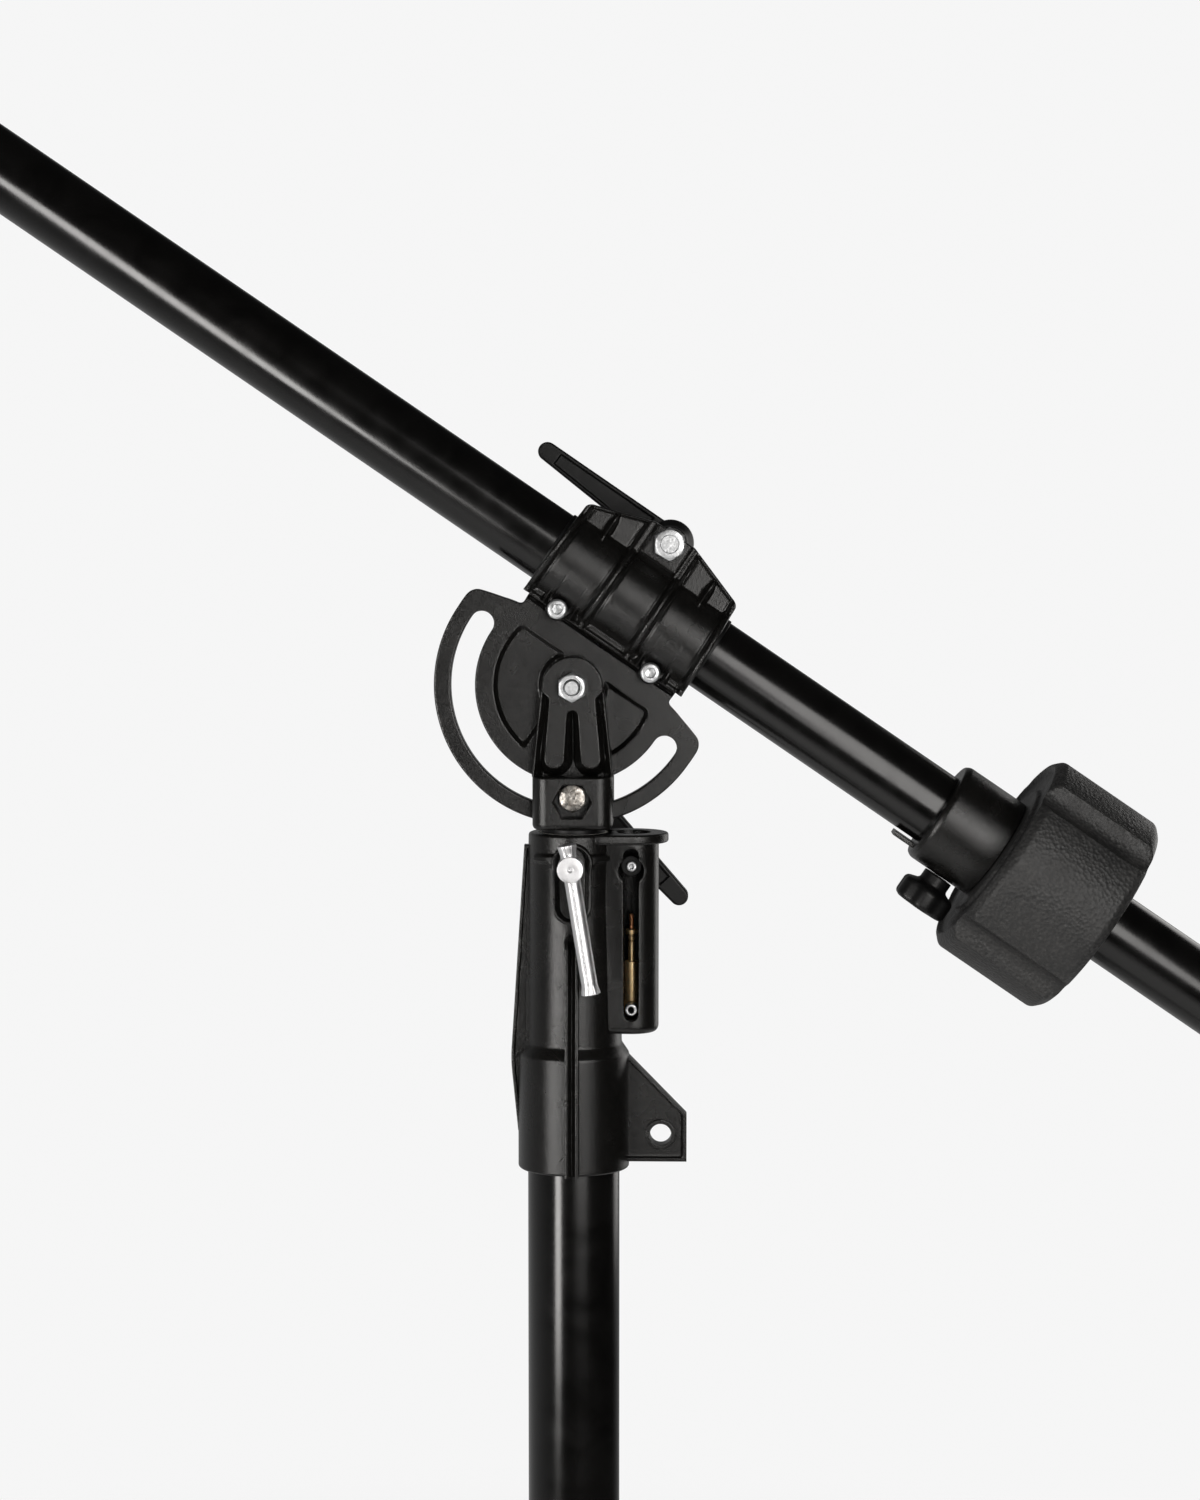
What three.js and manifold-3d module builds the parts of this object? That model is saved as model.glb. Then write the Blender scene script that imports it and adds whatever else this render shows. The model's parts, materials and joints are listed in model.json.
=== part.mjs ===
// A boom stand: a wheeled tripod base, a telescoping column and a tilting boom held in a clamp.
// Millimetres, +Z up, +X towards the counterweight, the tilt pivot's axis along Y.
import * as THREE from 'three';
import { mergeVertices } from 'three/addons/utils/BufferGeometryUtils.js';
import Module from 'manifold-3d';

const wasm = await Module();
wasm.setup();

// Shared clearances and facet counts
const gap = 0.3;
const overrun = 2;
const fineFacets = 28;
const roundFacets = 16;
const smallFacets = 12;
const tinyFacets = 8;
const curveSteps = 2;
const arcSteps = 3;
const longArcSteps = 10;

// Boom tubes
const boomTiltDegrees = 34.3;
const boomDiameter = 48.3;
const boomWall = 2.6;
const boomAxisHeight = 66.5;
const boomFrontLength = 880;
const boomRearLength = 640;
const innerTubeSlack = 0.4;
const innerTubeWall = 2;
const innerTubeLength = 700;
const innerTubeShowing = 70;

// Front lock collar of the boom
const collarRadius = 31;
const collarRearLength = 34;
const collarFrontLength = 36;
const collarWaist = 3;
const collarKnobSetback = 18;

// Round knobs
const knobRadius = 19;
const knobLength = 24;
const knobNeckRadius = 10;
const knobNeckLength = 7;
const knobStemRadius = 4;
const knobRounding = 4;
const knobLobeCount = 6;

// Boom tip
const tipPlugLength = 40;
const tipFlangeRadius = 24;
const tipFlangeLength = 8;
const tipNoseRadius = 17;
const tipNoseLength = 34;
const spigotRadius = 8;
const spigotLength = 45;
const spigotSeatDepth = 28;
const spigotGrooveDepth = 1.6;
const spigotGrooveLength = 12;
const spigotGrooveSetback = 10;

// Rear cap of the boom
const capPlugLength = 25;
const capFlangeRadius = 26;
const capFlangeLength = 9;
const capRounding = 3;

// Counterweight and its carriage
const weightCollarSetback = 400;
const weightCollarLength = 46;
const weightCollarRadius = 34.85;
const weightSleeveRadius = 30;
const weightRadius = 72;
const weightLength = 80;
const weightChamfer = 5;
const weightGripRadius = 11;
const weightGripOffset = 3.7;
const weightGripCount = 4;
const weightTongueLength = 15;
const weightTongueThickness = 3;
const weightTongueWidth = 20;
const weightTongueGap = 2;
const weightKnobSetback = 26;

// Boom clamp
const clampHalfLength = 61.5;
const clampBottom = 34;
const clampTop = 117.5;
const clampShoulderHeight = 104;
const clampShoulderHalfLength = 58;
const clampApexHalfLength = 16;
const clampApexRounding = 10;
const clampCornerRounding = 3;
const clampShellRadius = 30;
const clampFlangeDepth = 14;
const clampSplit = 1;
const clampRibRadius = 34;
const clampRibDepth = 18;
const clampRibThickness = 3.4;
const clampRibPlaceShares = [-0.974, -0.293, 0.293, 0.974];
const clampRimWidth = 2;
const clampRimDepth = 15.5;
const clampBladePlace = 37.5;
const clampBladeBottom = 86;
const clampBladeTop = 108;
const clampBladeHalfWidth = 2.8;
const clampBladeDepth = 20.5;
const clampBarbPlaces = [26, 46.5];
const clampBarbTop = 50;
const clampBarbHalfWidth = 2;
const clampBossHalfWidth = 13.5;
const clampBossBottom = 96.5;
const clampBossDepth = 16.5;
const clampBossWall = 2;
const clampBossWallDepth = 20;
const linerWall = 0.8;

// Clamp fasteners
const flangeScrewPlace = 36.2;
const flangeScrewHeight = 35.8;
const flangeScrewRadius = 3.9;
const flangeScrewHeadRadius = 6.5;
const flangeScrewHeadLength = 8;
const flangeScrewSocketFlats = 6;
const flangeScrewSocketDepth = 4.5;
const flangeEarRadius = 7.8;
const flangeNutFlats = 13;
const flangeNutLength = 6.5;
const threadEndLength = 2.5;
const clampBoltHeight = 110.9;
const clampBoltRadius = 6;
const clampBoltHeadFlats = 19;
const clampBoltHeadLength = 7.5;
const headChamferLength = 1.2;

// Clamping levers
const leverHubRadius = 15.5;
const leverHubNeckRadius = 11;
const leverLength = 100.8;
const leverTipRadius = 6.2;
const leverRootHalfWidth = 10;
const leverThickness = 11;
const leverRecessDepth = 2.4;
const leverRimWidth = 2.6;
const leverSeatDepth = 12;
const clampLeverHubLength = 30;
const clampLeverAngleDegrees = 177.7;
const tiltLeverHubLength = 44;
const tiltLeverAngleDegrees = -47.2;

// Tilt plate
const plateThickness = 10;
const plateRadius = 90.5;
const plateTop = 40.6;
const plateNeckHalfWidth = 57;
const plateNeckFoot = 25;
const plateShoulderHeight = 15.4;
const plateShoulderRounding = 12;
const plateFootRounding = 4;
const slotRadius = 71.7;
const slotWidth = 15.8;
const pocketRadius = 51.9;
const pocketTop = 14.3;
const pocketRibHalfWidth = 3;
const pocketBossRadius = 20;
const pocketRounding = 5;
const pocketDepth = 2.5;

// Pivot
const pivotBoltRadius = 5;
const pivotNutFlats = 17;
const pivotNutLength = 8.4;
const pivotStudLength = 3;
const pivotHeadLength = 6.4;
const frictionDiscRadius = 17;
const frictionDiscThickness = 1;

// Yoke
const yokeHeadRadius = 19.5;
const yokeProngFront = 20;
const yokeRimDepth = 18.5;
const yokeReliefDepth = 14.5;
const yokeFootHalfWidth = 26.4;
const yokeFootHeight = -58.5;
const yokeNeckHalfWidth = 20.5;
const yokeNeckHeight = -3;
const yokeRimWidth = 1.8;
const yokePadNeckHalfWidth = 14.6;
const yokePadNeckHeight = -6;
const yokeLegBottom = -53;
const yokeLegInner = 7.6;
const yokeLegOuter = 18.6;
const yokeGrooveTop = -15.6;
const yokeGrooveTopHalfWidth = 3.6;
const yokeBlockHalfWidth = 26;
const yokeBlockTop = -58.1;
const yokeBlockBottom = -92.3;
const yokeBlockRounding = 10;
const yokeBlockChamfer = 4;
const yokeForkFloor = -91.3;
const yokeRecessFlats = 22;
const yokeRecessDepth = 12;
const yokePlugLength = 62;
const swivelWasherThickness = 1.5;

// Tilt lock bolt
const tiltBoltRadius = 5;
const tiltBoltHeadFlats = 17;
const tiltBoltHeadLength = 6.4;
const tiltWasherRadius = 10;
const tiltWasherThickness = 2;
const slotBushWallClearance = 0.4;

// Column head casting
const pivotHeight = 1180;
const headTop = -95.5;
const barrelTopRadius = 29.25;
const barrelBottomRadius = 31.5;
const flareTop = -231.7;
const flareBottom = -242;
const sleeveRadius = 36.3;
const sleeveBottom = -316;
const bushWall = 1.5;
const bushLength = 128;
const ribHalfWidth = 5;
const ribFaceHalfWidth = 2.4;
const ribTop = -150;
const ribStart = -168;
const ribProud = 4.5;
const finTop = -104;
const finTopReach = 32;
const finStep = -245;
const finStepReach = 41;
const finBottom = -292;
const finHalfThickness = 4.5;
const lugReach = 74;
const lugShoulder = -281;
const lugBottom = -312;
const lugHalfThickness = 6;
const lugRimWidth = 3;
const lugWebDepth = 2;
const lugWebDrop = 7.2;
const lugEyeRadius = 7;
const lugEyePlace = 57;
const lugEyeHeight = -294;
const racetrackHalfWidth = 12.5;
const racetrackTop = -102.5;
const racetrackBottom = -151.5;
const racetrackRim = 2;
const racetrackFloor = 26;
const racetrackFace = 31;
const wingHalfWidth = 22;
const wingHeight = -110;
const wingHalfHeight = 3.2;
const wingDepth = 1.8;

// Side tube on the column head
const sideTubePlace = 37.9;
const sideTubeHalfDepth = 22;
const sideTubeRadius = 17;
const sideTubeInner = 20.5;
const sideTubeBottom = -225.7;
const sideTubeFloor = -218.5;
const sideTubeBore = 12.5;
const sideRingRadius = 24;
const sideRingThickness = 5.5;
const sideRingRounding = 2;
const sideSlotHalfWidth = 4.85;
const sideSlotTop = -104.5;
const sideSlotBottom = -216.7;
const keyholeHeight = -119;
const keyholeRadius = 8.2;

// Tension rod in the side tube
const anchorPinRadius = 4.05;
const anchorPinBore = 2.1;
const anchorPinHeight = -210.5;
const anchorPinFront = 15;
const rodSleeveRadius = 4.8;
const rodSleeveTop = -180;
const rodBallRadius = 6.6;
const rodRadius = 2.25;
const rodTop = -159.2;
const rodCollarRadius = 4;
const rodCollarThickness = 3.5;
const rodSeatDepth = 9;
const wireRadius = 1.55;
const wireTop = -149;
const wireSeatDepth = 2;
const guideBoltHeight = -117.5;
const guideBoltHeadRadius = 3.4;
const guideBoltFront = 8;
const guideBoltHeadLength = 3;
const guideWasherRadius = 7;
const guideWasherThickness = 2;
const guideBoltRadius = 2.5;

// Riser lock
const lockHeight = -113.9;
const lockHubRadius = 8.5;
const lockHubFront = 60;
const lockHubLength = 16;
const lockShankRadius = 6;
const lockDimpleRadius = 1.6;
const lockPadRadius = 5.4;
const lockBarRadius = 5.2;
const lockBarLength = 97;
const lockBarTiltDegrees = 9.2;
const lockBarFlareRadius = 6.2;
const lockBarFlareLength = 6.5;
const lockBarDrop = 33;

// Column tubes
const riserDiameter = 41;
const riserWall = 2.5;
const riserLength = 820;
const columnDiameter = 60;
const columnWall = 3;
const columnBottom = 106;

// Base
const hubRadius = 48;
const hubBottom = 98;
const hubTop = 190;
const hubFloor = 7;
const hubShoulderRise = 10;
const hubSocketWall = 5;
const hubSocketReach = 92;
const hubDrainRadius = 8;
const legCount = 3;
const legWidth = 46;
const legHeight = 30;
const legWall = 2.5;
const legInnerReach = 40;
const legOuterReach = 545;
const legBottom = 106;
const legRounding = 5;
const legEndLength = 44;
const legBossRadius = 20;
const firstLegDegrees = 90;

// Casters
const wheelRadius = 37.5;
const wheelHalfWidth = 11;
const wheelTreadRounding = 4;
const wheelRimRadius = 27;
const wheelRimInset = 2.5;
const wheelHubRadius = 10;
const axleRadius = 4;
const axleHeadRadius = 6.5;
const axleHeadLength = 3.5;
const casterTrail = 28;
const cheekThickness = 3;
const cheekHalfGap = 13;
const cheekFootRadius = 9;
const crownRadius = 19;
const crownBottom = 80;
const crownTop = 84;
const raceRadius = 16;
const casterStemRadius = 5.5;
const casterStemLength = 24;
const pedalPinRadius = 2.5;
const pedalHubRadius = 4;
const pedalReachAlong = 27;
const pedalReachUp = 36;
const pedalLength = 30;
const pedalThickness = 4;
const pedalHalfWidth = 12;
const pedalRise = 9;
const cheekEarRadius = 6.5;

// Sizes that follow from the ones above
const boomRadius = boomDiameter / 2;
const boomBore = boomRadius - boomWall;
const innerTubeRadius = boomBore - innerTubeSlack;
const innerTubeBore = innerTubeRadius - innerTubeWall;
const linerInner = boomRadius + gap;
const linerOuter = linerInner + linerWall;
const clampBore = linerOuter + gap;
const halfPlate = plateThickness / 2;
const prongInner = halfPlate + gap + frictionDiscThickness + gap;
const riserRadius = riserDiameter / 2;
const riserTop = yokeBlockBottom - gap - swivelWasherThickness - gap;
const bushInner = riserRadius + gap;
const bushOuter = bushInner + bushWall;
const barrelBore = bushOuter + gap;
const columnRadius = columnDiameter / 2;
const sleeveBore = columnRadius + gap;
const columnTop = pivotHeight + flareBottom - gap;
const legTop = legBottom + legHeight;
const bossTopOfCaster = legBottom - gap;

// Materials
const paint = (color, roughness, metalness) =>
  new THREE.MeshStandardMaterial({ color, roughness, metalness });
const blackCasting = paint(0x1b1a19, 0.62, 0.1);
const blackTube = paint(0x151515, 0.38, 0.15);
const blackPlastic = paint(0x18191a, 0.55, 0);
const zincSteel = paint(0xb9bdc0, 0.32, 1);
const aluminium = paint(0xc8c9ca, 0.3, 1);
const brass = paint(0xa87f45, 0.35, 1);
const copperWire = paint(0x7a4b2c, 0.5, 0.8);
const castIron = paint(0x262626, 0.7, 0.2);
const greyRubber = paint(0x4a4c4e, 0.8, 0);
const nylon = paint(0xd8d6cf, 0.6, 0);

// Solids: a welded closed mesh, its booleans and its way back to a three.js geometry
function signedVolume(geometry) {
  const place = geometry.attributes.position;
  const index = geometry.index;
  const a = new THREE.Vector3();
  const b = new THREE.Vector3();
  const c = new THREE.Vector3();
  let volume = 0;
  for (let i = 0; i < index.count; i += 3) {
    a.fromBufferAttribute(place, index.getX(i));
    b.fromBufferAttribute(place, index.getX(i + 1));
    c.fromBufferAttribute(place, index.getX(i + 2));
    volume += a.dot(b.cross(c));
  }
  return volume;
}

function welded(geometry) {
  const bare = geometry.clone();
  bare.deleteAttribute('normal');
  bare.deleteAttribute('uv');
  const merged = mergeVertices(bare);
  const triangles = [];
  const corners = merged.index.array;
  for (let i = 0; i < corners.length; i += 3) {
    const [a, b, c] = [corners[i], corners[i + 1], corners[i + 2]];
    if (a !== b && b !== c && c !== a) triangles.push(a, b, c);
  }
  merged.setIndex(triangles);
  if (signedVolume(merged) < 0) merged.setIndex(triangles.reverse());
  return merged;
}

function toSolid(geometry) {
  const mesh = welded(geometry);
  return new wasm.Manifold(new wasm.Mesh({
    numProp: 3,
    vertProperties: new Float32Array(mesh.attributes.position.array),
    triVerts: new Uint32Array(mesh.index.array),
  }));
}

function toGeometry(solid) {
  const mesh = solid.getMesh();
  const geometry = new THREE.BufferGeometry();
  geometry.setAttribute('position', new THREE.BufferAttribute(mesh.vertProperties, 3));
  geometry.setIndex(new THREE.BufferAttribute(mesh.triVerts, 1));
  return geometry;
}

const join = (first, ...others) =>
  toGeometry(others.reduce((solid, other) => solid.add(toSolid(other)), toSolid(first)));
const cut = (first, ...others) =>
  toGeometry(others.reduce((solid, other) => solid.subtract(toSolid(other)), toSolid(first)));
const common = (first, ...others) =>
  toGeometry(others.reduce((solid, other) => solid.intersect(toSolid(other)), toSolid(first)));

// Basic shapes: bars along Z, turned pieces, blocks and flat outlines given a thickness
function rod(radius, bottom, top, facets = roundFacets) {
  const geometry = new THREE.CylinderGeometry(radius, radius, top - bottom, facets);
  geometry.rotateX(Math.PI / 2);
  geometry.translate(0, 0, (top + bottom) / 2);
  return geometry;
}

function turned(profile, facets = roundFacets) {
  const points = profile.map(([radius, height]) => new THREE.Vector2(radius, height));
  const geometry = new THREE.LatheGeometry(points, facets);
  geometry.rotateX(Math.PI / 2);
  return geometry;
}

function pipe(outer, inner, bottom, top, facets = roundFacets) {
  return turned([[inner, bottom], [outer, bottom], [outer, top], [inner, top], [inner, bottom]], facets);
}

function block(left, right, front, back, bottom, top) {
  const geometry = new THREE.BoxGeometry(right - left, back - front, top - bottom);
  geometry.translate((left + right) / 2, (front + back) / 2, (bottom + top) / 2);
  return geometry;
}

function hexBar(flats, bottom, top, turnDegrees = 0) {
  const geometry = rod(flats / Math.sqrt(3), bottom, top, 6);
  geometry.rotateZ(THREE.MathUtils.degToRad(turnDegrees));
  return geometry;
}

function hexHead(flats, bottom, top, turnDegrees = 0) {
  const corner = flats / Math.sqrt(3);
  const cone = turned([
    [0, bottom], [corner, bottom], [corner, top - headChamferLength],
    [flats / 2 - headChamferLength / 2, top], [0, top],
  ], smallFacets);
  return common(cone, hexBar(flats, bottom, top, turnDegrees));
}

const alongX = (geometry) => geometry.rotateY(Math.PI / 2);
const alongY = (geometry) => geometry.rotateX(-Math.PI / 2);
const towardsFront = (geometry) => geometry.rotateX(Math.PI / 2);
const moved = (geometry, x, y, z) => geometry.translate(x, y, z);
const mirroredInX = (geometry) => welded(geometry.clone().scale(-1, 1, 1));
const mirroredInY = (geometry) => welded(geometry.clone().scale(1, -1, 1));

function outline(corners, Kind = THREE.Shape) {
  const path = new Kind();
  const at = (index) => corners[(index + corners.length) % corners.length];
  const step = ([x, y], [towardsX, towardsY], distance) => {
    const run = Math.hypot(towardsX - x, towardsY - y);
    const share = Math.min(distance / run, 0.5);
    return [x + (towardsX - x) * share, y + (towardsY - y) * share];
  };
  corners.forEach(([x, y, rounding = 0], index) => {
    const entry = step([x, y], at(index - 1), rounding);
    const leave = step([x, y], at(index + 1), rounding);
    if (index === 0) path.moveTo(...entry);
    else path.lineTo(...entry);
    if (rounding > 0) path.quadraticCurveTo(x, y, ...leave);
  });
  path.closePath();
  return path;
}

const mirroredCorners = (corners) =>
  [...corners, ...corners.map(([x, y, rounding]) => [-x, y, rounding]).reverse()];

function prism(shape, bottom, top, steps = curveSteps) {
  const options = { depth: top - bottom, bevelEnabled: false, curveSegments: steps };
  return moved(new THREE.ExtrudeGeometry(shape, options), 0, 0, bottom);
}

// A shape drawn in X and Z, from one depth to another along Y
function slab(shape, front, back, steps = curveSteps) {
  return moved(prism(shape, 0, back - front, steps).rotateX(Math.PI / 2), 0, back, 0);
}

// A shape drawn in Y and Z, from one place to another along X
function crosswise(shape, left, right, steps = curveSteps) {
  return moved(prism(shape, 0, right - left, steps).rotateX(Math.PI / 2).rotateZ(Math.PI / 2), left, 0, 0);
}

function rodAlongY(radius, front, back, height) {
  return moved(alongY(rod(radius, front, back, smallFacets)), 0, 0, height);
}

function part(name, geometry, material, parent) {
  const mesh = new THREE.Mesh(geometry, material);
  mesh.name = name;
  parent.add(mesh);
  return mesh;
}

// A bar or a turned piece on the boom's own axis
const onBoom = (geometry) => moved(alongX(geometry), 0, 0, boomAxisHeight);

// Boom tubes and what is fixed to them
function boomTube() {
  return onBoom(pipe(boomRadius, boomBore, -boomFrontLength, boomRearLength, fineFacets));
}

const innerTubeFront = -(boomFrontLength + innerTubeShowing);

function innerTube() {
  const rear = innerTubeFront + innerTubeLength;
  return onBoom(pipe(innerTubeRadius, innerTubeBore, innerTubeFront, rear, fineFacets));
}

function knob(stemLength) {
  const profile = [
    [0, 0], [knobStemRadius, 0], [knobStemRadius, stemLength], [knobNeckRadius, stemLength],
    [knobNeckRadius, stemLength + knobNeckLength], [knobRadius, stemLength + knobNeckLength + knobRounding],
    [knobRadius, stemLength + knobLength - knobRounding],
    [knobRadius - knobRounding, stemLength + knobLength],
    [0, stemLength + knobLength],
  ];
  const body = turned(profile);
  const scallops = [];
  for (let i = 0; i < knobLobeCount; i += 1) {
    const angle = (i / knobLobeCount) * Math.PI * 2;
    const reach = knobRadius + knobRounding / 2;
    const scallop = rod(
      knobRounding, stemLength + knobNeckLength, stemLength + knobLength + overrun, tinyFacets,
    );
    scallops.push(moved(scallop, Math.cos(angle) * reach, Math.sin(angle) * reach, 0));
  }
  return cut(body, ...scallops);
}

const collarKnobPlace = -(boomFrontLength + collarKnobSetback);

function boomCollar() {
  const mouth = -boomFrontLength;
  const rear = mouth + collarRearLength;
  const front = mouth - collarFrontLength;
  const outerBore = boomRadius + gap;
  const innerBore = innerTubeRadius + gap;
  const ring = onBoom(turned([
    [innerBore, front], [collarRadius - collarWaist, front], [collarRadius, front + collarWaist],
    [collarRadius, mouth], [collarRadius - collarWaist, rear], [outerBore, rear],
    [outerBore, mouth - gap], [innerBore, mouth - gap], [innerBore, front],
  ], fineFacets));
  const boss = moved(
    rod(knobNeckRadius, -collarRadius - collarWaist, -innerBore), collarKnobPlace, 0, boomAxisHeight,
  );
  const hole = moved(
    rod(knobStemRadius + gap, -collarRadius - collarWaist - overrun, 0, smallFacets),
    collarKnobPlace, 0, boomAxisHeight,
  );
  const bore = onBoom(rod(innerBore, front, mouth, fineFacets));
  return cut(join(ring, boss), hole, bore);
}

// A knob that hangs under the boom and ends just short of what it presses on
function hangingKnob(place, pressedRadius, seatRadius) {
  const stemLength = seatRadius - pressedRadius;
  return moved(knob(stemLength).rotateX(Math.PI), place, 0, boomAxisHeight - pressedRadius - gap);
}

const tipFace = innerTubeFront - gap;

function tipFitting() {
  const plugRadius = innerTubeBore - gap;
  const flangeFront = tipFace - tipFlangeLength;
  const noseFront = flangeFront - tipNoseLength;
  const body = onBoom(turned([
    [0, noseFront], [tipNoseRadius, noseFront], [tipNoseRadius, flangeFront],
    [tipFlangeRadius, flangeFront],
    [tipFlangeRadius, tipFace], [plugRadius, tipFace], [plugRadius, tipFace + tipPlugLength],
    [0, tipFace + tipPlugLength],
  ]));
  const seat = onBoom(rod(spigotRadius + gap, noseFront - overrun, noseFront + spigotSeatDepth));
  const hole = moved(
    rod(knobStemRadius + gap, -tipNoseRadius - overrun, 0, smallFacets),
    flangeFront - tipNoseLength / 2, 0, boomAxisHeight,
  );
  return cut(body, seat, hole);
}

const tipNoseFront = tipFace - tipFlangeLength - tipNoseLength;
const tipKnobPlace = tipFace - tipFlangeLength - tipNoseLength / 2;

function tipSpigot() {
  const tail = tipNoseFront + spigotSeatDepth - gap;
  const face = tipNoseFront - spigotLength;
  const waist = spigotRadius - spigotGrooveDepth;
  const grooveStart = face + spigotGrooveSetback;
  return onBoom(turned([
    [0, face], [spigotRadius, face], [spigotRadius, grooveStart],
    [waist, grooveStart + spigotGrooveDepth], [waist, grooveStart + spigotGrooveLength - spigotGrooveDepth],
    [spigotRadius, grooveStart + spigotGrooveLength], [spigotRadius, tail], [0, tail],
  ], roundFacets));
}

function boomEndCap() {
  const face = boomRearLength + gap;
  const plugRadius = boomBore - gap;
  return onBoom(turned([
    [0, face - capPlugLength], [plugRadius, face - capPlugLength], [plugRadius, face],
    [capFlangeRadius, face],
    [capFlangeRadius, face + capFlangeLength - capRounding],
    [capFlangeRadius - capRounding, face + capFlangeLength], [0, face + capFlangeLength],
  ]));
}

// Counterweight carriage
const weightCollarStart = boomRearLength - weightCollarSetback;
const weightCollarEnd = weightCollarStart + weightCollarLength;
const weightKnobPlace = weightCollarStart + weightKnobSetback;

function weightCollar() {
  const bore = boomRadius + gap;
  const sleeveEnd = weightCollarEnd + gap + weightLength;
  const body = onBoom(turned([
    [bore, weightCollarStart], [weightCollarRadius, weightCollarStart],
    [weightCollarRadius, weightCollarEnd],
    [weightSleeveRadius, weightCollarEnd], [weightSleeveRadius, sleeveEnd], [bore, sleeveEnd],
    [bore, weightCollarStart],
  ], fineFacets));
  const tongueTop = boomAxisHeight - boomRadius - weightTongueGap;
  const tongue = block(
    weightCollarStart - weightTongueLength, weightCollarStart + overrun,
    -weightTongueWidth / 2, weightTongueWidth / 2, tongueTop - weightTongueThickness, tongueTop,
  );
  const hole = moved(
    rod(knobStemRadius + gap, -weightCollarRadius - overrun, 0, smallFacets),
    weightKnobPlace, 0, boomAxisHeight,
  );
  const room = onBoom(
    rod(bore, weightCollarStart - weightTongueLength - overrun, sleeveEnd + overrun, fineFacets),
  );
  return cut(join(body, tongue), hole, room);
}

function counterweight() {
  const near = weightCollarEnd + gap;
  const far = near + weightLength;
  const bore = weightSleeveRadius + gap;
  const body = onBoom(turned([
    [bore, near], [weightRadius - weightChamfer, near], [weightRadius, near + weightChamfer],
    [weightRadius, far - weightChamfer], [weightRadius - weightChamfer, far], [bore, far], [bore, near],
  ], fineFacets));
  const grips = [];
  for (let i = 0; i < weightGripCount; i += 1) {
    const angle = ((i + 0.5) / weightGripCount) * Math.PI * 2;
    const reach = weightRadius + weightGripOffset;
    const grip = moved(
      rod(weightGripRadius, near - overrun, far + overrun, smallFacets),
      Math.cos(angle) * reach, Math.sin(angle) * reach, 0,
    );
    grips.push(onBoom(grip));
  }
  return cut(body, ...grips);
}

// Boom clamp: two halves over a thin liner
function clampLiner() {
  return onBoom(pipe(linerOuter, linerInner, -clampHalfLength, clampHalfLength, fineFacets));
}

const clampCorners = (inset) => mirroredCorners([
  [clampHalfLength - inset, clampBottom + inset, clampCornerRounding],
  [clampShoulderHalfLength - inset, clampShoulderHeight - inset / 2, clampCornerRounding],
  [clampApexHalfLength, clampTop - inset, clampApexRounding],
]);

function pointedBlade(place, bottom, top, halfWidth) {
  const middle = (bottom + top) / 2;
  const shape = new THREE.Shape();
  shape.moveTo(place, bottom);
  shape.quadraticCurveTo(place + halfWidth * 2, middle, place, top);
  shape.quadraticCurveTo(place - halfWidth * 2, middle, place, bottom);
  return slab(shape, -clampBladeDepth, 0, arcSteps);
}

function barb(place) {
  return slab(outline([
    [place - clampBarbHalfWidth, clampBottom], [place + clampBarbHalfWidth, clampBottom],
    [place, clampBarbTop],
  ]), -clampBladeDepth, 0);
}

function clampRib(share) {
  const place = clampHalfLength * share;
  const left = place - clampRibThickness / 2;
  const right = place + clampRibThickness / 2;
  return join(
    onBoom(rod(clampRibRadius, left, right, fineFacets)),
    block(left, right, -clampRibDepth, 0, clampBottom, clampTop),
  );
}

function boltBoss() {
  const wallFront = -clampBossWallDepth;
  const inner = clampBossHalfWidth;
  const outer = inner + clampBossWall;
  return [
    block(-inner, inner, -clampBossDepth, 0, clampBossBottom, clampTop),
    block(inner, outer, wallFront, 0, clampBossBottom, clampTop),
    block(-outer, -inner, wallFront, 0, clampBossBottom, clampTop),
  ];
}

function clampHalf() {
  const raised = join(
    onBoom(rod(clampShellRadius, -clampHalfLength, clampHalfLength, fineFacets)),
    block(-clampHalfLength, clampHalfLength, -clampFlangeDepth, 0, clampBottom, clampTop),
    ...clampRibPlaceShares.map(clampRib),
    ...boltBoss(),
  );
  const features = [];
  for (const side of [-1, 1]) {
    features.push(
      pointedBlade(side * clampBladePlace, clampBladeBottom, clampBladeTop, clampBladeHalfWidth),
    );
    for (const place of clampBarbPlaces) features.push(barb(side * place));
  }
  const rim = outline(clampCorners(0));
  rim.holes.push(outline(clampCorners(clampRimWidth), THREE.Path));
  const trimmed = common(
    join(raised, ...features, slab(rim, -clampRimDepth, 0)),
    slab(outline(clampCorners(0)), -clampRibRadius - overrun, 0),
  );
  const ears = [-1, 1].map((side) => moved(
    alongY(rod(flangeEarRadius, -clampFlangeDepth, 0)), side * flangeScrewPlace, 0, flangeScrewHeight,
  ));
  const holes = [-1, 1].flatMap((side) => [
    moved(
      alongY(rod(flangeScrewRadius + gap, -clampRibRadius, overrun, smallFacets)),
      side * flangeScrewPlace, 0, flangeScrewHeight,
    ),
    moved(
      alongY(rod(flangeEarRadius - gap, -clampRibRadius, -clampFlangeDepth)),
      side * flangeScrewPlace, 0, flangeScrewHeight,
    ),
  ]);
  const boltHole = moved(
    alongY(rod(clampBoltRadius + gap, -clampRibRadius, overrun)), 0, 0, clampBoltHeight,
  );
  return cut(
    join(trimmed, ...ears), ...holes, boltHole,
    onBoom(rod(clampBore, -clampHalfLength - overrun, clampHalfLength + overrun, fineFacets)),
    block(
      -clampHalfLength - overrun, clampHalfLength + overrun, -clampSplit, overrun,
      clampBottom - overrun, clampTop + overrun,
    ),
    block(
      -clampHalfLength - overrun, clampHalfLength + overrun, -halfPlate - gap, overrun,
      clampBottom - flangeEarRadius, plateTop + gap,
    ),
  );
}

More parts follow.
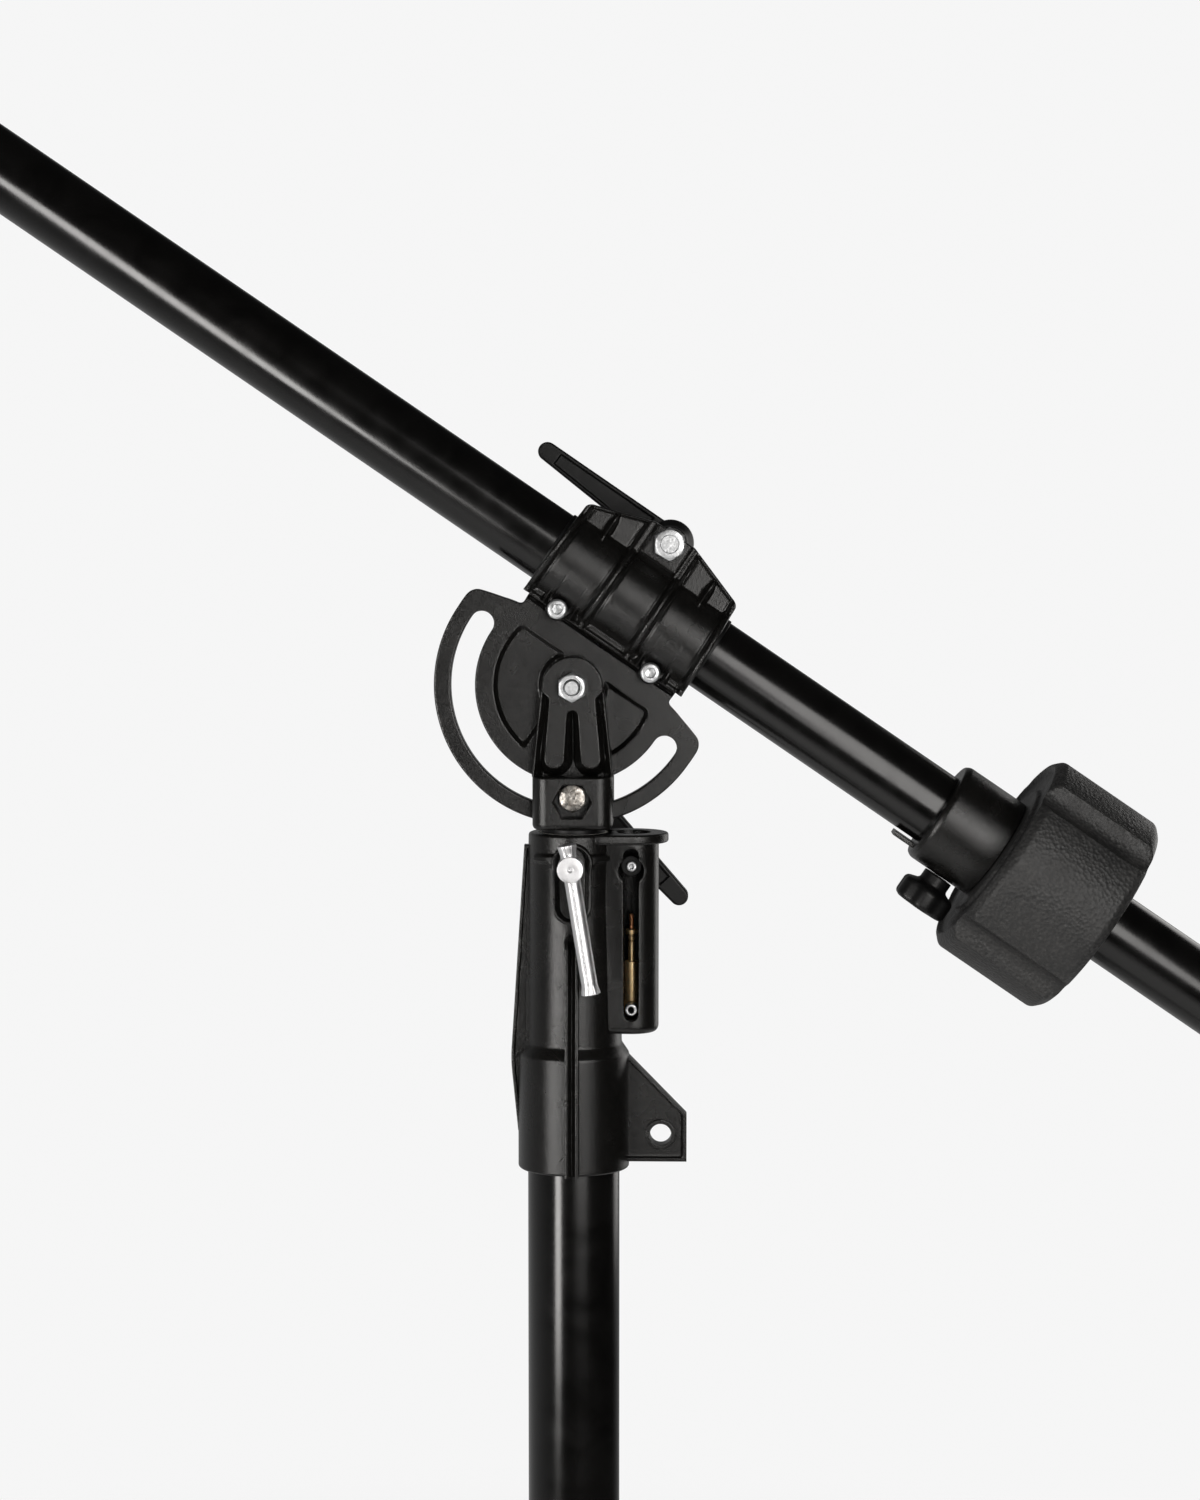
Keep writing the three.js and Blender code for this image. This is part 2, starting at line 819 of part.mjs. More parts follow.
function flangeScrew(side) {
  const seat = clampFlangeDepth + gap;
  const head = rod(flangeScrewHeadRadius, seat, seat + flangeScrewHeadLength, smallFacets);
  const end = -(seat + flangeNutLength + threadEndLength);
  const shank = rod(flangeScrewRadius, end, seat + overrun, smallFacets);
  const socket = hexBar(
    flangeScrewSocketFlats, seat + flangeScrewHeadLength - flangeScrewSocketDepth,
    seat + flangeScrewHeadLength + overrun,
  );
  return moved(
    towardsFront(cut(join(head, shank), socket)), side * flangeScrewPlace, 0, flangeScrewHeight,
  );
}

function flangeNut(side) {
  const seat = clampFlangeDepth + gap;
  const nut = cut(
    hexBar(flangeNutFlats, seat, seat + flangeNutLength),
    rod(flangeScrewRadius + gap, seat - overrun, seat + flangeNutLength + overrun, smallFacets),
  );
  return moved(alongY(nut), side * flangeScrewPlace, 0, flangeScrewHeight);
}

const clampLeverSeat = clampBossDepth + gap;

function clampBolt() {
  const seat = clampBossDepth + gap;
  const head = hexHead(clampBoltHeadFlats, seat, seat + clampBoltHeadLength, 90 - boomTiltDegrees);
  const end = -(clampLeverSeat + leverSeatDepth);
  const shank = rod(clampBoltRadius, end, seat + overrun, roundFacets);
  return moved(towardsFront(join(head, shank)), 0, 0, clampBoltHeight);
}

// A clamping lever: hub along Y, arm at its far end, drawn pointing along +X
function leverOutline(inset) {
  const shape = new THREE.Shape();
  const tip = leverTipRadius - inset;
  const root = leverRootHalfWidth - inset;
  const start = inset > 0 ? leverHubRadius + inset : 0;
  shape.moveTo(start, -root);
  shape.lineTo(leverLength, -tip);
  shape.absarc(leverLength, 0, tip, -Math.PI / 2, Math.PI / 2, false);
  shape.lineTo(start, root);
  shape.closePath();
  return shape;
}

function clampingLever(hubLength, boltRadius, angleDegrees) {
  const armStart = hubLength - leverThickness;
  const hub = turned([
    [0, 0], [leverHubNeckRadius, 0], [leverHubRadius, armStart], [leverHubRadius, hubLength],
    [0, hubLength],
  ]);
  const arm = slab(leverOutline(0), armStart, hubLength);
  const recess = slab(leverOutline(leverRimWidth), armStart - overrun, armStart + leverRecessDepth);
  const seat = rod(boltRadius + gap, -overrun, leverSeatDepth + gap);
  const lever = cut(join(alongY(hub), arm), alongY(seat), recess);
  return lever.rotateY(THREE.MathUtils.degToRad(-angleDegrees));
}

// Tilt plate
function plateOutline() {
  const shape = new THREE.Shape();
  shape.moveTo(-plateNeckHalfWidth, plateTop);
  shape.lineTo(plateNeckHalfWidth, plateTop);
  shape.lineTo(plateNeckHalfWidth, plateNeckFoot + plateFootRounding);
  shape.quadraticCurveTo(
    plateNeckHalfWidth, plateNeckFoot, plateNeckHalfWidth + plateFootRounding, plateNeckFoot,
  );
  const shoulderStart = plateRadius - plateShoulderRounding;
  const shoulderTop = plateShoulderHeight + plateFootRounding;
  shape.lineTo(shoulderStart, shoulderTop);
  shape.quadraticCurveTo(plateRadius, plateShoulderHeight, plateRadius, 0);
  shape.absarc(0, 0, plateRadius, 0, -Math.PI, true);
  shape.quadraticCurveTo(-plateRadius, plateShoulderHeight, -shoulderStart, shoulderTop);
  shape.lineTo(-plateNeckHalfWidth - plateFootRounding, plateNeckFoot);
  shape.quadraticCurveTo(
    -plateNeckHalfWidth, plateNeckFoot, -plateNeckHalfWidth, plateNeckFoot + plateFootRounding,
  );
  shape.closePath();
  return shape;
}

function slotShape() {
  const half = slotWidth / 2;
  const shape = new THREE.Shape();
  shape.absarc(0, 0, slotRadius + half, 0, -Math.PI, true);
  shape.absarc(-slotRadius, 0, half, Math.PI, 0, true);
  shape.absarc(0, 0, slotRadius - half, -Math.PI, 0, false);
  shape.absarc(slotRadius, 0, half, Math.PI, 0, true);
  return shape;
}

// A recess between the pivot boss and the slot, its corners rounded by arcs that touch its sides
function pocketShape() {
  const r = pocketRounding;
  const outerReach = pocketRadius - r;
  const bossReach = pocketBossRadius + r;
  const shelf = pocketTop - r;
  const rib = pocketRibHalfWidth + r;
  const outerTop = [Math.sqrt(outerReach ** 2 - shelf ** 2), shelf];
  const bossTop = [Math.sqrt(bossReach ** 2 - shelf ** 2), shelf];
  const bossFoot = [rib, -Math.sqrt(bossReach ** 2 - rib ** 2)];
  const outerFoot = [rib, -Math.sqrt(outerReach ** 2 - rib ** 2)];
  const angle = ([x, y]) => Math.atan2(y, x);
  const shape = new THREE.Shape();
  shape.absarc(0, 0, pocketRadius, angle(outerFoot), angle(outerTop), false);
  shape.absarc(...outerTop, r, angle(outerTop), Math.PI / 2, false);
  shape.absarc(...bossTop, r, Math.PI / 2, Math.PI + angle(bossTop), false);
  shape.absarc(0, 0, pocketBossRadius, angle(bossTop), angle(bossFoot), true);
  shape.absarc(...bossFoot, r, Math.PI + angle(bossFoot), Math.PI, false);
  shape.absarc(...outerFoot, r, Math.PI, Math.PI * 2 + angle(outerFoot), false);
  return shape;
}

function tiltPlate() {
  const front = -halfPlate - overrun;
  const back = halfPlate + overrun;
  const screwHoles = [-1, 1].map((side) => moved(
    rodAlongY(flangeScrewRadius + gap, front, back, flangeScrewHeight), side * flangeScrewPlace, 0, 0,
  ));
  const right = slab(pocketShape(), front, -halfPlate + pocketDepth, arcSteps);
  const left = mirroredInX(right);
  return cut(
    slab(plateOutline(), -halfPlate, halfPlate, longArcSteps),
    slab(slotShape(), front, back, longArcSteps),
    rodAlongY(pivotBoltRadius + gap, front, back, 0),
    ...screwHoles, right, left, mirroredInY(right), mirroredInY(left),
  );
}

// Pivot fasteners
const yokeFaceSeat = yokeProngFront + gap;

function pivotBolt() {
  const head = hexHead(pivotNutFlats, yokeFaceSeat, yokeFaceSeat + pivotHeadLength, 90);
  const end = -(yokeFaceSeat + pivotNutLength + pivotStudLength);
  return alongY(join(head, rod(pivotBoltRadius, end, yokeFaceSeat + overrun, smallFacets)));
}

function pivotNut() {
  const nut = cut(
    hexHead(pivotNutFlats, yokeFaceSeat, yokeFaceSeat + pivotNutLength, 90),
    rod(pivotBoltRadius + gap, 0, yokeFaceSeat + pivotNutLength + overrun, smallFacets),
  );
  return towardsFront(nut);
}

function frictionDisc() {
  const near = halfPlate + gap;
  return pipe(frictionDiscRadius, pivotBoltRadius + gap, near, near + frictionDiscThickness);
}

// Yoke
function prongOutline(inset) {
  const shape = new THREE.Shape();
  const head = yokeHeadRadius - inset;
  const foot = yokeFootHalfWidth - inset;
  shape.moveTo(-foot, yokeFootHeight);
  shape.lineTo(-(yokeNeckHalfWidth - inset), yokeNeckHeight);
  shape.lineTo(-head, 0);
  shape.absarc(0, 0, head, Math.PI, 0, true);
  shape.lineTo(yokeNeckHalfWidth - inset, yokeNeckHeight);
  shape.lineTo(foot, yokeFootHeight);
  shape.closePath();
  return shape;
}

// The raised pad round the pivot and its two legs
function prongPad() {
  const rounding = (yokeLegOuter - yokeLegInner) / 2;
  const shape = new THREE.Shape();
  shape.moveTo(-yokeHeadRadius, 0);
  shape.absarc(0, 0, yokeHeadRadius, Math.PI, 0, true);
  shape.lineTo(yokePadNeckHalfWidth, yokePadNeckHeight);
  shape.lineTo(yokeLegOuter, yokeLegBottom + rounding);
  shape.absarc(yokeLegOuter - rounding, yokeLegBottom + rounding, rounding, 0, -Math.PI, true);
  shape.lineTo(yokeGrooveTopHalfWidth, yokeGrooveTop - yokeGrooveTopHalfWidth);
  shape.absarc(0, yokeGrooveTop - yokeGrooveTopHalfWidth, yokeGrooveTopHalfWidth, 0, Math.PI, false);
  shape.lineTo(-yokeLegInner, yokeLegBottom + rounding);
  shape.absarc(-(yokeLegOuter - rounding), yokeLegBottom + rounding, rounding, 0, -Math.PI, true);
  shape.lineTo(-yokePadNeckHalfWidth, yokePadNeckHeight);
  shape.closePath();
  return shape;
}

function yokeProng() {
  const ahead = -yokeProngFront - overrun;
  const body = slab(prongOutline(0), -yokeProngFront, -prongInner, arcSteps * 2);
  const relief = cut(
    slab(prongOutline(yokeRimWidth), ahead, -yokeReliefDepth, arcSteps * 2),
    slab(prongPad(), ahead - overrun, 0, arcSteps),
    block(-yokeBlockHalfWidth, yokeBlockHalfWidth, ahead - overrun, 0, yokeNeckHeight, yokeHeadRadius),
  );
  const rimStep = cut(
    slab(prongOutline(-overrun), ahead, -yokeRimDepth),
    slab(prongPad(), ahead - overrun, 0, arcSteps),
  );
  return cut(body, relief, rimStep);
}

function yoke() {
  const h = yokeBlockHalfWidth;
  const plan = outline([
    [h, -h, yokeBlockRounding], [h, h, yokeBlockRounding], [-h, h, yokeBlockRounding],
    [-h, -h, yokeBlockRounding],
  ]);
  const face = outline([
    [h, yokeBlockTop], [-h, yokeBlockTop], [-h, yokeBlockBottom, yokeBlockChamfer],
    [h, yokeBlockBottom, yokeBlockChamfer],
  ]);
  const body = common(prism(plan, yokeBlockBottom, yokeBlockTop), slab(face, -h, h));
  const lockHole = rodAlongY(tiltBoltRadius + gap, -h - overrun, h + overrun, -slotRadius);
  const recess = moved(
    towardsFront(hexBar(yokeRecessFlats, h - yokeRecessDepth, h + overrun, 90)), 0, 0, -slotRadius,
  );
  const plugRadius = riserRadius - riserWall - gap;
  const plug = rod(plugRadius, yokeBlockBottom - yokePlugLength, yokeForkFloor);
  const prong = yokeProng();
  const solid = join(body, prong, mirroredInY(prong));
  const fork = block(
    -h - overrun, h + overrun, -prongInner, prongInner, yokeForkFloor, yokeHeadRadius + overrun,
  );
  const pivotHole = rodAlongY(pivotBoltRadius + gap, -h, h, 0);
  return join(cut(solid, fork, pivotHole, recess, lockHole), plug);
}

// Tilt lock
const tiltHeadSeat = yokeBlockHalfWidth - yokeRecessDepth + gap;
const tiltWasherSeat = yokeBlockHalfWidth + gap;
const tiltLeverSeat = tiltWasherSeat + tiltWasherThickness + gap;

function tiltLockBolt() {
  const head = hexHead(tiltBoltHeadFlats, tiltHeadSeat, tiltHeadSeat + tiltBoltHeadLength, 90);
  const shank = rod(tiltBoltRadius, -(tiltLeverSeat + leverSeatDepth), tiltHeadSeat + overrun, smallFacets);
  return moved(towardsFront(join(head, shank)), 0, 0, -slotRadius);
}

function tiltLockWasher() {
  const ring = pipe(
    tiltWasherRadius, tiltBoltRadius + gap, tiltWasherSeat, tiltWasherSeat + tiltWasherThickness,
  );
  return moved(alongY(ring), 0, 0, -slotRadius);
}

function slotBush() {
  const outer = slotWidth / 2 - slotBushWallClearance;
  return moved(alongY(pipe(outer, tiltBoltRadius + gap, -halfPlate, halfPlate)), 0, 0, -slotRadius);
}

// Column head casting, drawn with the pivot at zero height
function headSleeve() {
  return turned([
    [0, sleeveBottom], [sleeveRadius, sleeveBottom], [sleeveRadius, flareBottom],
    [barrelBottomRadius, flareTop], [barrelTopRadius, headTop], [0, headTop],
  ], fineFacets);
}

function frontRib() {
  const topDepth = barrelTopRadius - ribProud;
  const shape = outline([
    [-topDepth, ribTop], [-barrelBottomRadius - ribProud / 2, ribStart],
    [-sleeveRadius - ribProud, flareBottom],
    [-sleeveRadius - ribProud, sleeveBottom], [-topDepth, sleeveBottom],
  ]);
  const wide = crosswise(shape, -ribHalfWidth, ribHalfWidth);
  const front = sleeveRadius + ribProud;
  const wedge = prism(outline([
    [-ribFaceHalfWidth, -front], [ribFaceHalfWidth, -front], [ribHalfWidth, -front + ribHalfWidth],
    [ribHalfWidth, 0], [-ribHalfWidth, 0], [-ribHalfWidth, -front + ribHalfWidth],
  ]), sleeveBottom, ribTop);
  return common(wide, wedge);
}

function leftFin() {
  const shape = outline([
    [0, finTop + ribHalfWidth], [-finTopReach, finTop], [-finStepReach, finStep, ribHalfWidth],
    [-sleeveRadius, finBottom], [0, finBottom],
  ]);
  return slab(shape, -finHalfThickness, finHalfThickness);
}

function lug() {
  const shape = outline([
    [0, flareTop], [sleeveRadius, flareBottom], [lugReach, lugShoulder, lugRimWidth],
    [lugReach, lugBottom, lugRimWidth], [0, lugBottom],
  ]);
  const inset = lugRimWidth;
  const web = outline([
    [sleeveRadius + inset, flareBottom - lugWebDrop], [lugReach - inset, lugShoulder - inset / 2],
    [lugReach - inset, lugBottom + inset], [sleeveRadius + inset, lugBottom + inset],
  ]);
  const body = slab(shape, -lugHalfThickness, lugHalfThickness);
  const front = slab(web, -lugHalfThickness - overrun, -lugHalfThickness + lugWebDepth);
  const eyeBoss = moved(
    alongY(rod(lugEyeRadius + lugRimWidth, -lugHalfThickness, lugHalfThickness)),
    lugEyePlace, 0, lugEyeHeight,
  );
  const eye = moved(
    alongY(rod(lugEyeRadius, -lugHalfThickness - overrun, lugHalfThickness + overrun)),
    lugEyePlace, 0, lugEyeHeight,
  );
  return { solid: join(cut(body, front, mirroredInY(front)), eyeBoss), eye };
}

function racetrack(inset) {
  const half = racetrackHalfWidth - inset;
  const shape = new THREE.Shape();
  shape.absarc(0, racetrackTop - racetrackHalfWidth, half, 0, Math.PI, false);
  shape.absarc(0, racetrackBottom + racetrackHalfWidth, half, Math.PI, Math.PI * 2, false);
  return shape;
}

function sideTube() {
  const plan = outline([
    [sideTubeInner, -sideTubeHalfDepth],
    [sideTubePlace + sideTubeRadius, -sideTubeHalfDepth, sideTubeRadius],
    [sideTubePlace + sideTubeRadius, sideTubeHalfDepth, sideTubeRadius], [sideTubeInner, sideTubeHalfDepth],
  ]);
  const ringBottom = headTop - sideRingThickness;
  const ring = moved(turned([
    [0, ringBottom], [sideRingRadius - sideRingRounding, ringBottom],
    [sideRingRadius, ringBottom + sideRingRounding],
    [sideRingRadius, headTop - sideRingRounding], [sideRingRadius - sideRingRounding, headTop],
    [0, headTop],
  ], fineFacets), sideTubePlace, 0, 0);
  return join(prism(plan, sideTubeBottom, headTop - sideRingRounding, arcSteps), ring);
}

function sideSlot() {
  const shape = new THREE.Shape();
  const half = sideSlotHalfWidth;
  shape.absarc(sideTubePlace, sideSlotTop - half, half, 0, Math.PI, false);
  shape.absarc(sideTubePlace, sideSlotBottom + half, half, Math.PI, Math.PI * 2, false);
  return join(
    slab(shape, -sideTubeHalfDepth - overrun, 0, arcSteps),
    moved(alongY(rod(keyholeRadius, -sideTubeHalfDepth - overrun, 0)), sideTubePlace, 0, keyholeHeight),
  );
}

function wingRecess() {
  const shape = outline([
    [wingHalfWidth, wingHeight - wingHalfHeight, wingHalfHeight],
    [wingHalfWidth, wingHeight + wingHalfHeight, wingHalfHeight],
    [-wingHalfWidth, wingHeight + wingHalfHeight, wingHalfHeight],
    [-wingHalfWidth, wingHeight - wingHalfHeight, wingHalfHeight],
  ]);
  return cut(
    slab(shape, -sleeveRadius, 0),
    rod(barrelTopRadius - wingDepth, flareTop, headTop + overrun, fineFacets),
  );
}

function columnHead() {
  const lugPieces = lug();
  const rim = slab(racetrack(-racetrackRim), -racetrackFace, 0, arcSteps);
  const body = join(headSleeve(), frontRib(), leftFin(), lugPieces.solid, sideTube(), rim);
  const sideBore = moved(rod(sideTubeBore, sideTubeFloor, headTop + overrun), sideTubePlace, 0, 0);
  const pinHole = moved(
    alongY(rod(anchorPinRadius + gap, 0, sideTubeHalfDepth + overrun, smallFacets)),
    sideTubePlace, 0, anchorPinHeight,
  );
  const boltHole = moved(
    alongY(rod(guideBoltRadius + gap, 0, sideTubeHalfDepth + overrun, smallFacets)),
    sideTubePlace, 0, guideBoltHeight,
  );
  return cut(
    body,
    wingRecess(),
    slab(racetrack(0), -racetrackFace - overrun, -racetrackFloor, arcSteps),
    rodAlongY(lockShankRadius + gap, -racetrackFace - overrun, 0, lockHeight),
    rod(barrelBore, flareBottom - overrun, headTop + overrun, fineFacets),
    rod(sleeveBore, sleeveBottom - overrun, flareBottom, fineFacets),
    sideBore, sideSlot(), pinHole, boltHole, lugPieces.eye,
  );
}

// Tension rod and its fixings in the side tube
const inSideTube = (geometry) => moved(geometry, sideTubePlace, 0, 0);

function anchorPin() {
  const ring = pipe(anchorPinRadius, anchorPinBore, -anchorPinFront, sideTubeHalfDepth, smallFacets);
  return moved(inSideTube(alongY(ring)), 0, 0, anchorPinHeight);
}

function rodSleeve() {
  const neck = rod(rodSleeveRadius, anchorPinHeight, rodSleeveTop, smallFacets);
  const ball = moved(
    new THREE.SphereGeometry(rodBallRadius, smallFacets, tinyFacets), 0, 0, anchorPinHeight,
  );
  const bore = rod(rodRadius + gap, rodSleeveTop - rodSeatDepth - gap, rodSleeveTop + overrun, smallFacets);
  const eye = rodAlongY(
    anchorPinRadius + gap, -rodBallRadius - overrun, rodBallRadius + overrun, anchorPinHeight,
  );
  return inSideTube(cut(join(ball, neck), bore, eye));
}

function tensionRod() {
  const seat = rod(wireRadius + gap, rodTop - wireSeatDepth, rodTop + overrun, smallFacets);
  const bar = rod(rodRadius, rodSleeveTop - rodSeatDepth, rodTop, smallFacets);
  const flange = rod(rodCollarRadius, rodTop - rodCollarThickness, rodTop, smallFacets);
  return inSideTube(cut(join(bar, flange), seat));
}

function tensionWire() {
  return inSideTube(rod(wireRadius, rodTop - wireSeatDepth + gap, wireTop, tinyFacets));
}

function guideBolt() {
  const headBack = -guideBoltFront + guideBoltHeadLength;
  const profile = [
    [0, -guideBoltFront], [guideBoltHeadRadius, -guideBoltFront], [guideBoltHeadRadius, headBack],
    [guideWasherRadius, headBack], [guideWasherRadius, headBack + guideWasherThickness],
    [guideBoltRadius, headBack + guideWasherThickness], [guideBoltRadius, sideTubeHalfDepth],
    [0, sideTubeHalfDepth],
  ];
  return moved(inSideTube(alongY(turned(profile, smallFacets))), 0, 0, guideBoltHeight);
}

// Riser lock: screw, pad and sliding bar
const lockBarDepth = -lockHubFront + lockHubLength / 2;

function barDirection(geometry) {
  return geometry.rotateY(THREE.MathUtils.degToRad(-lockBarTiltDegrees));
}

function lockScrew() {
  const back = -(bushOuter + gap + gap);
  const screw = alongY(turned([
    [0, -lockHubFront], [lockHubRadius, -lockHubFront], [lockHubRadius, -lockHubFront + lockHubLength],
    [lockShankRadius, -lockHubFront + lockHubLength], [lockShankRadius, back], [0, back],
  ]));
  const cross = moved(
    barDirection(rod(lockBarRadius + gap, -lockHubRadius - overrun, lockHubRadius + overrun, smallFacets)),
    0, lockBarDepth, 0,
  );
  const dimple = alongY(
    rod(lockDimpleRadius, -lockHubFront - overrun, -lockHubFront + lockDimpleRadius, tinyFacets),
  );
  return moved(cut(screw, cross, dimple), 0, 0, lockHeight);
}

function lockPad() {
  const front = -(bushOuter + gap);
  return cut(
    moved(alongY(rod(lockPadRadius, front, -riserRadius + overrun, smallFacets)), 0, 0, lockHeight),
    rod(bushInner, lockHeight - lockPadRadius - overrun, lockHeight + lockPadRadius + overrun, fineFacets),
  );
}

function lockBar() {
  const half = lockBarLength / 2;
  const flareStart = half - lockBarFlareLength;
  const bar = turned([
    [0, -half], [lockBarFlareRadius, -half], [lockBarRadius, -flareStart], [lockBarRadius, flareStart],
    [lockBarFlareRadius, half], [0, half],
  ], smallFacets);
  return moved(barDirection(moved(bar, 0, 0, -lockBarDrop)), 0, lockBarDepth, lockHeight);
}

function riserBush() {
  const bottom = headTop - gap - bushLength;
  return cut(
    pipe(bushOuter, bushInner, bottom, headTop, fineFacets),
    rodAlongY(lockPadRadius + gap, -barrelTopRadius, 0, lockHeight),
  );
}

function riserTube() {
  return pipe(riserRadius, riserRadius - riserWall, riserTop - riserLength, riserTop, fineFacets);
}

function swivelWasher() {
  const top = yokeBlockBottom - gap;
  return pipe(riserRadius, riserRadius - riserWall, top - swivelWasherThickness, top, fineFacets);
}

// Base: hub, legs and casters, drawn from the floor up
const legSocketHalfWidth = legWidth / 2 + gap;

function hubSocket() {
  const w = hubSocketWall;
  return block(
    0, hubSocketReach, -legSocketHalfWidth - w, legSocketHalfWidth + w, hubBottom, legTop + gap + w,
  );
}

function baseHub() {
  let solid = turned([
    [0, hubBottom], [hubRadius, hubBottom], [hubRadius, legTop + hubShoulderRise],
    [columnRadius + hubSocketWall, hubTop], [0, hubTop],
  ], fineFacets);
  const rooms = [];
  for (let i = 0; i < legCount; i += 1) {
    const angle = legAngle(i);
    solid = join(solid, hubSocket().rotateZ(angle));
    rooms.push(block(
      legInnerReach - gap, hubSocketReach + overrun, -legSocketHalfWidth, legSocketHalfWidth,
      legBottom - gap, legTop + gap,
    ).rotateZ(angle));
  }
  return cut(
    solid, ...rooms,
    rod(columnRadius + gap, columnBottom - gap, hubTop + overrun, fineFacets),
    rod(hubDrainRadius, hubBottom - overrun, hubBottom + hubFloor + hubSocketWall, smallFacets),
  );
}

const legAngle = (index) => THREE.MathUtils.degToRad(firstLegDegrees + (index * 360) / legCount);

function leg() {
  const half = legWidth / 2;
  const section = outline([
    [-half, legBottom, legRounding], [half, legBottom, legRounding], [half, legTop, legRounding],
    [-half, legTop, legRounding],
  ]);
  const inner = half - legWall;
  const hollow = outline([
    [-inner, legBottom + legWall, legRounding], [inner, legBottom + legWall, legRounding],
    [inner, legTop - legWall, legRounding], [-inner, legTop - legWall, legRounding],
  ]);
  const bar = crosswise(section, legInnerReach, legOuterReach);
  const end = moved(rod(half, legBottom, legTop), legOuterReach, 0, 0);
  const room = crosswise(hollow, legInnerReach - overrun, legOuterReach - legEndLength);
  const stemRoom = moved(
    rod(casterStemRadius + gap, legBottom - overrun, bossTopOfCaster + casterStemLength + gap, smallFacets),
    legOuterReach, 0, 0,
  );
  return cut(join(cut(bar, room), end), stemRoom);
}

// A caster in its own frame: swivel axis at x = 0, floor at z = 0, wheel trailing along +X
function casterWheel() {
  const w = wheelHalfWidth;
  const tread = wheelRadius - wheelTreadRounding;
  const profile = [
    [axleRadius + gap, -w], [wheelHubRadius, -w], [wheelHubRadius + wheelRimInset, -w + wheelRimInset],
    [wheelRimRadius, -w + wheelRimInset], [tread, -w], [wheelRadius, -w + wheelTreadRounding],
    [wheelRadius, w - wheelTreadRounding], [tread, w], [wheelRimRadius, w - wheelRimInset],
    [wheelHubRadius + wheelRimInset, w - wheelRimInset], [wheelHubRadius, w], [axleRadius + gap, w],
    [axleRadius + gap, -w],
  ];
  return moved(alongY(turned(profile)), casterTrail, 0, wheelRadius);
}

const pedalPlace = [casterTrail + pedalReachAlong, wheelRadius + pedalReachUp];

function casterCheek(side) {
  const near = side * cheekHalfGap;
  const far = side * (cheekHalfGap + cheekThickness);
  const front = Math.min(near, far);
  const back = Math.max(near, far);
  const [pedalX, pedalZ] = pedalPlace;
  const web = slab(outline([
    [casterTrail - cheekFootRadius, wheelRadius], [casterTrail + cheekFootRadius, wheelRadius],
    [pedalX + cheekEarRadius, pedalZ - cheekEarRadius / 2], [pedalX, pedalZ + cheekEarRadius],
    [crownRadius, crownTop], [-crownRadius, crownTop], [-crownRadius / 2, crownBottom - crownRadius],
  ]), front, back);
  const foot = moved(alongY(rod(cheekFootRadius, front, back, smallFacets)), casterTrail, 0, wheelRadius);
  const ear = moved(alongY(rod(cheekEarRadius, front, back, smallFacets)), pedalX, 0, pedalZ);
  return join(web, foot, ear);
}

function casterFork() {
  const crown = slab(outline([
    [-crownRadius, crownBottom], [crownRadius, crownBottom], [crownRadius, crownTop],
    [-crownRadius, crownTop],
  ]), -cheekHalfGap - cheekThickness, cheekHalfGap + cheekThickness);
  const race = rod(raceRadius, crownTop - overrun, bossTopOfCaster);
  const stem = rod(casterStemRadius, crownTop, bossTopOfCaster + casterStemLength, smallFacets);
  const reach = cheekHalfGap + cheekThickness + overrun;
  const [pedalX, pedalZ] = pedalPlace;
  return cut(
    join(crown, race, stem, casterCheek(-1), casterCheek(1)),
    moved(alongY(rod(axleRadius + gap, -reach, reach, smallFacets)), casterTrail, 0, wheelRadius),
    moved(alongY(rod(pedalPinRadius + gap, -reach, reach, smallFacets)), pedalX, 0, pedalZ),
  );
}

function casterAxle() {
  const seat = cheekHalfGap + cheekThickness + gap;
  return moved(alongY(turned([
    [0, -seat - axleHeadLength], [axleHeadRadius, -seat - axleHeadLength], [axleHeadRadius, -seat],
    [axleRadius, -seat], [axleRadius, seat], [axleHeadRadius, seat],
    [axleHeadRadius, seat + axleHeadLength],
    [0, seat + axleHeadLength],
  ], smallFacets)), casterTrail, 0, wheelRadius);
}

function casterBrake() {
  const [x, z] = pedalPlace;
  const hub = alongY(rod(pedalHubRadius, -cheekHalfGap + gap, cheekHalfGap - gap, smallFacets));
  const reach = cheekHalfGap + cheekThickness;
  const pin = alongY(rod(pedalPinRadius, -reach, reach, smallFacets));
  const plate = slab(outline([
    [0, -pedalThickness / 2], [pedalLength, pedalRise - pedalThickness], [pedalLength, pedalRise],
    [0, pedalHubRadius],
  ]), -pedalHalfWidth, pedalHalfWidth);
  return moved(join(hub, plate, pin), x, 0, z);
}

// Assembly
const model = new THREE.Group();
const head = new THREE.Group();
head.position.z = pivotHeight;
model.add(head);

const boom = new THREE.Group();
boom.rotation.y = THREE.MathUtils.degToRad(boomTiltDegrees);
head.add(boom);

part('boom_tube', boomTube(), blackTube, boom);
part('boom_inner_tube', innerTube(), aluminium, boom);
part('boom_collar', boomCollar(), blackCasting, boom);
part(
  'boom_collar_knob', hangingKnob(collarKnobPlace, innerTubeRadius, collarRadius + collarWaist + gap),
  blackPlastic, boom,
);
part('tip_fitting', tipFitting(), blackCasting, boom);
part('tip_spigot', tipSpigot(), zincSteel, boom);
part('tip_knob', hangingKnob(tipKnobPlace, spigotRadius, tipNoseRadius + gap), blackPlastic, boom);
part('boom_end_cap', boomEndCap(), blackPlastic, boom);
part('weight_collar', weightCollar(), blackCasting, boom);
part('weight_knob', hangingKnob(weightKnobPlace, boomRadius, weightCollarRadius + gap), blackPlastic, boom);
part('counterweight', counterweight(), castIron, boom);

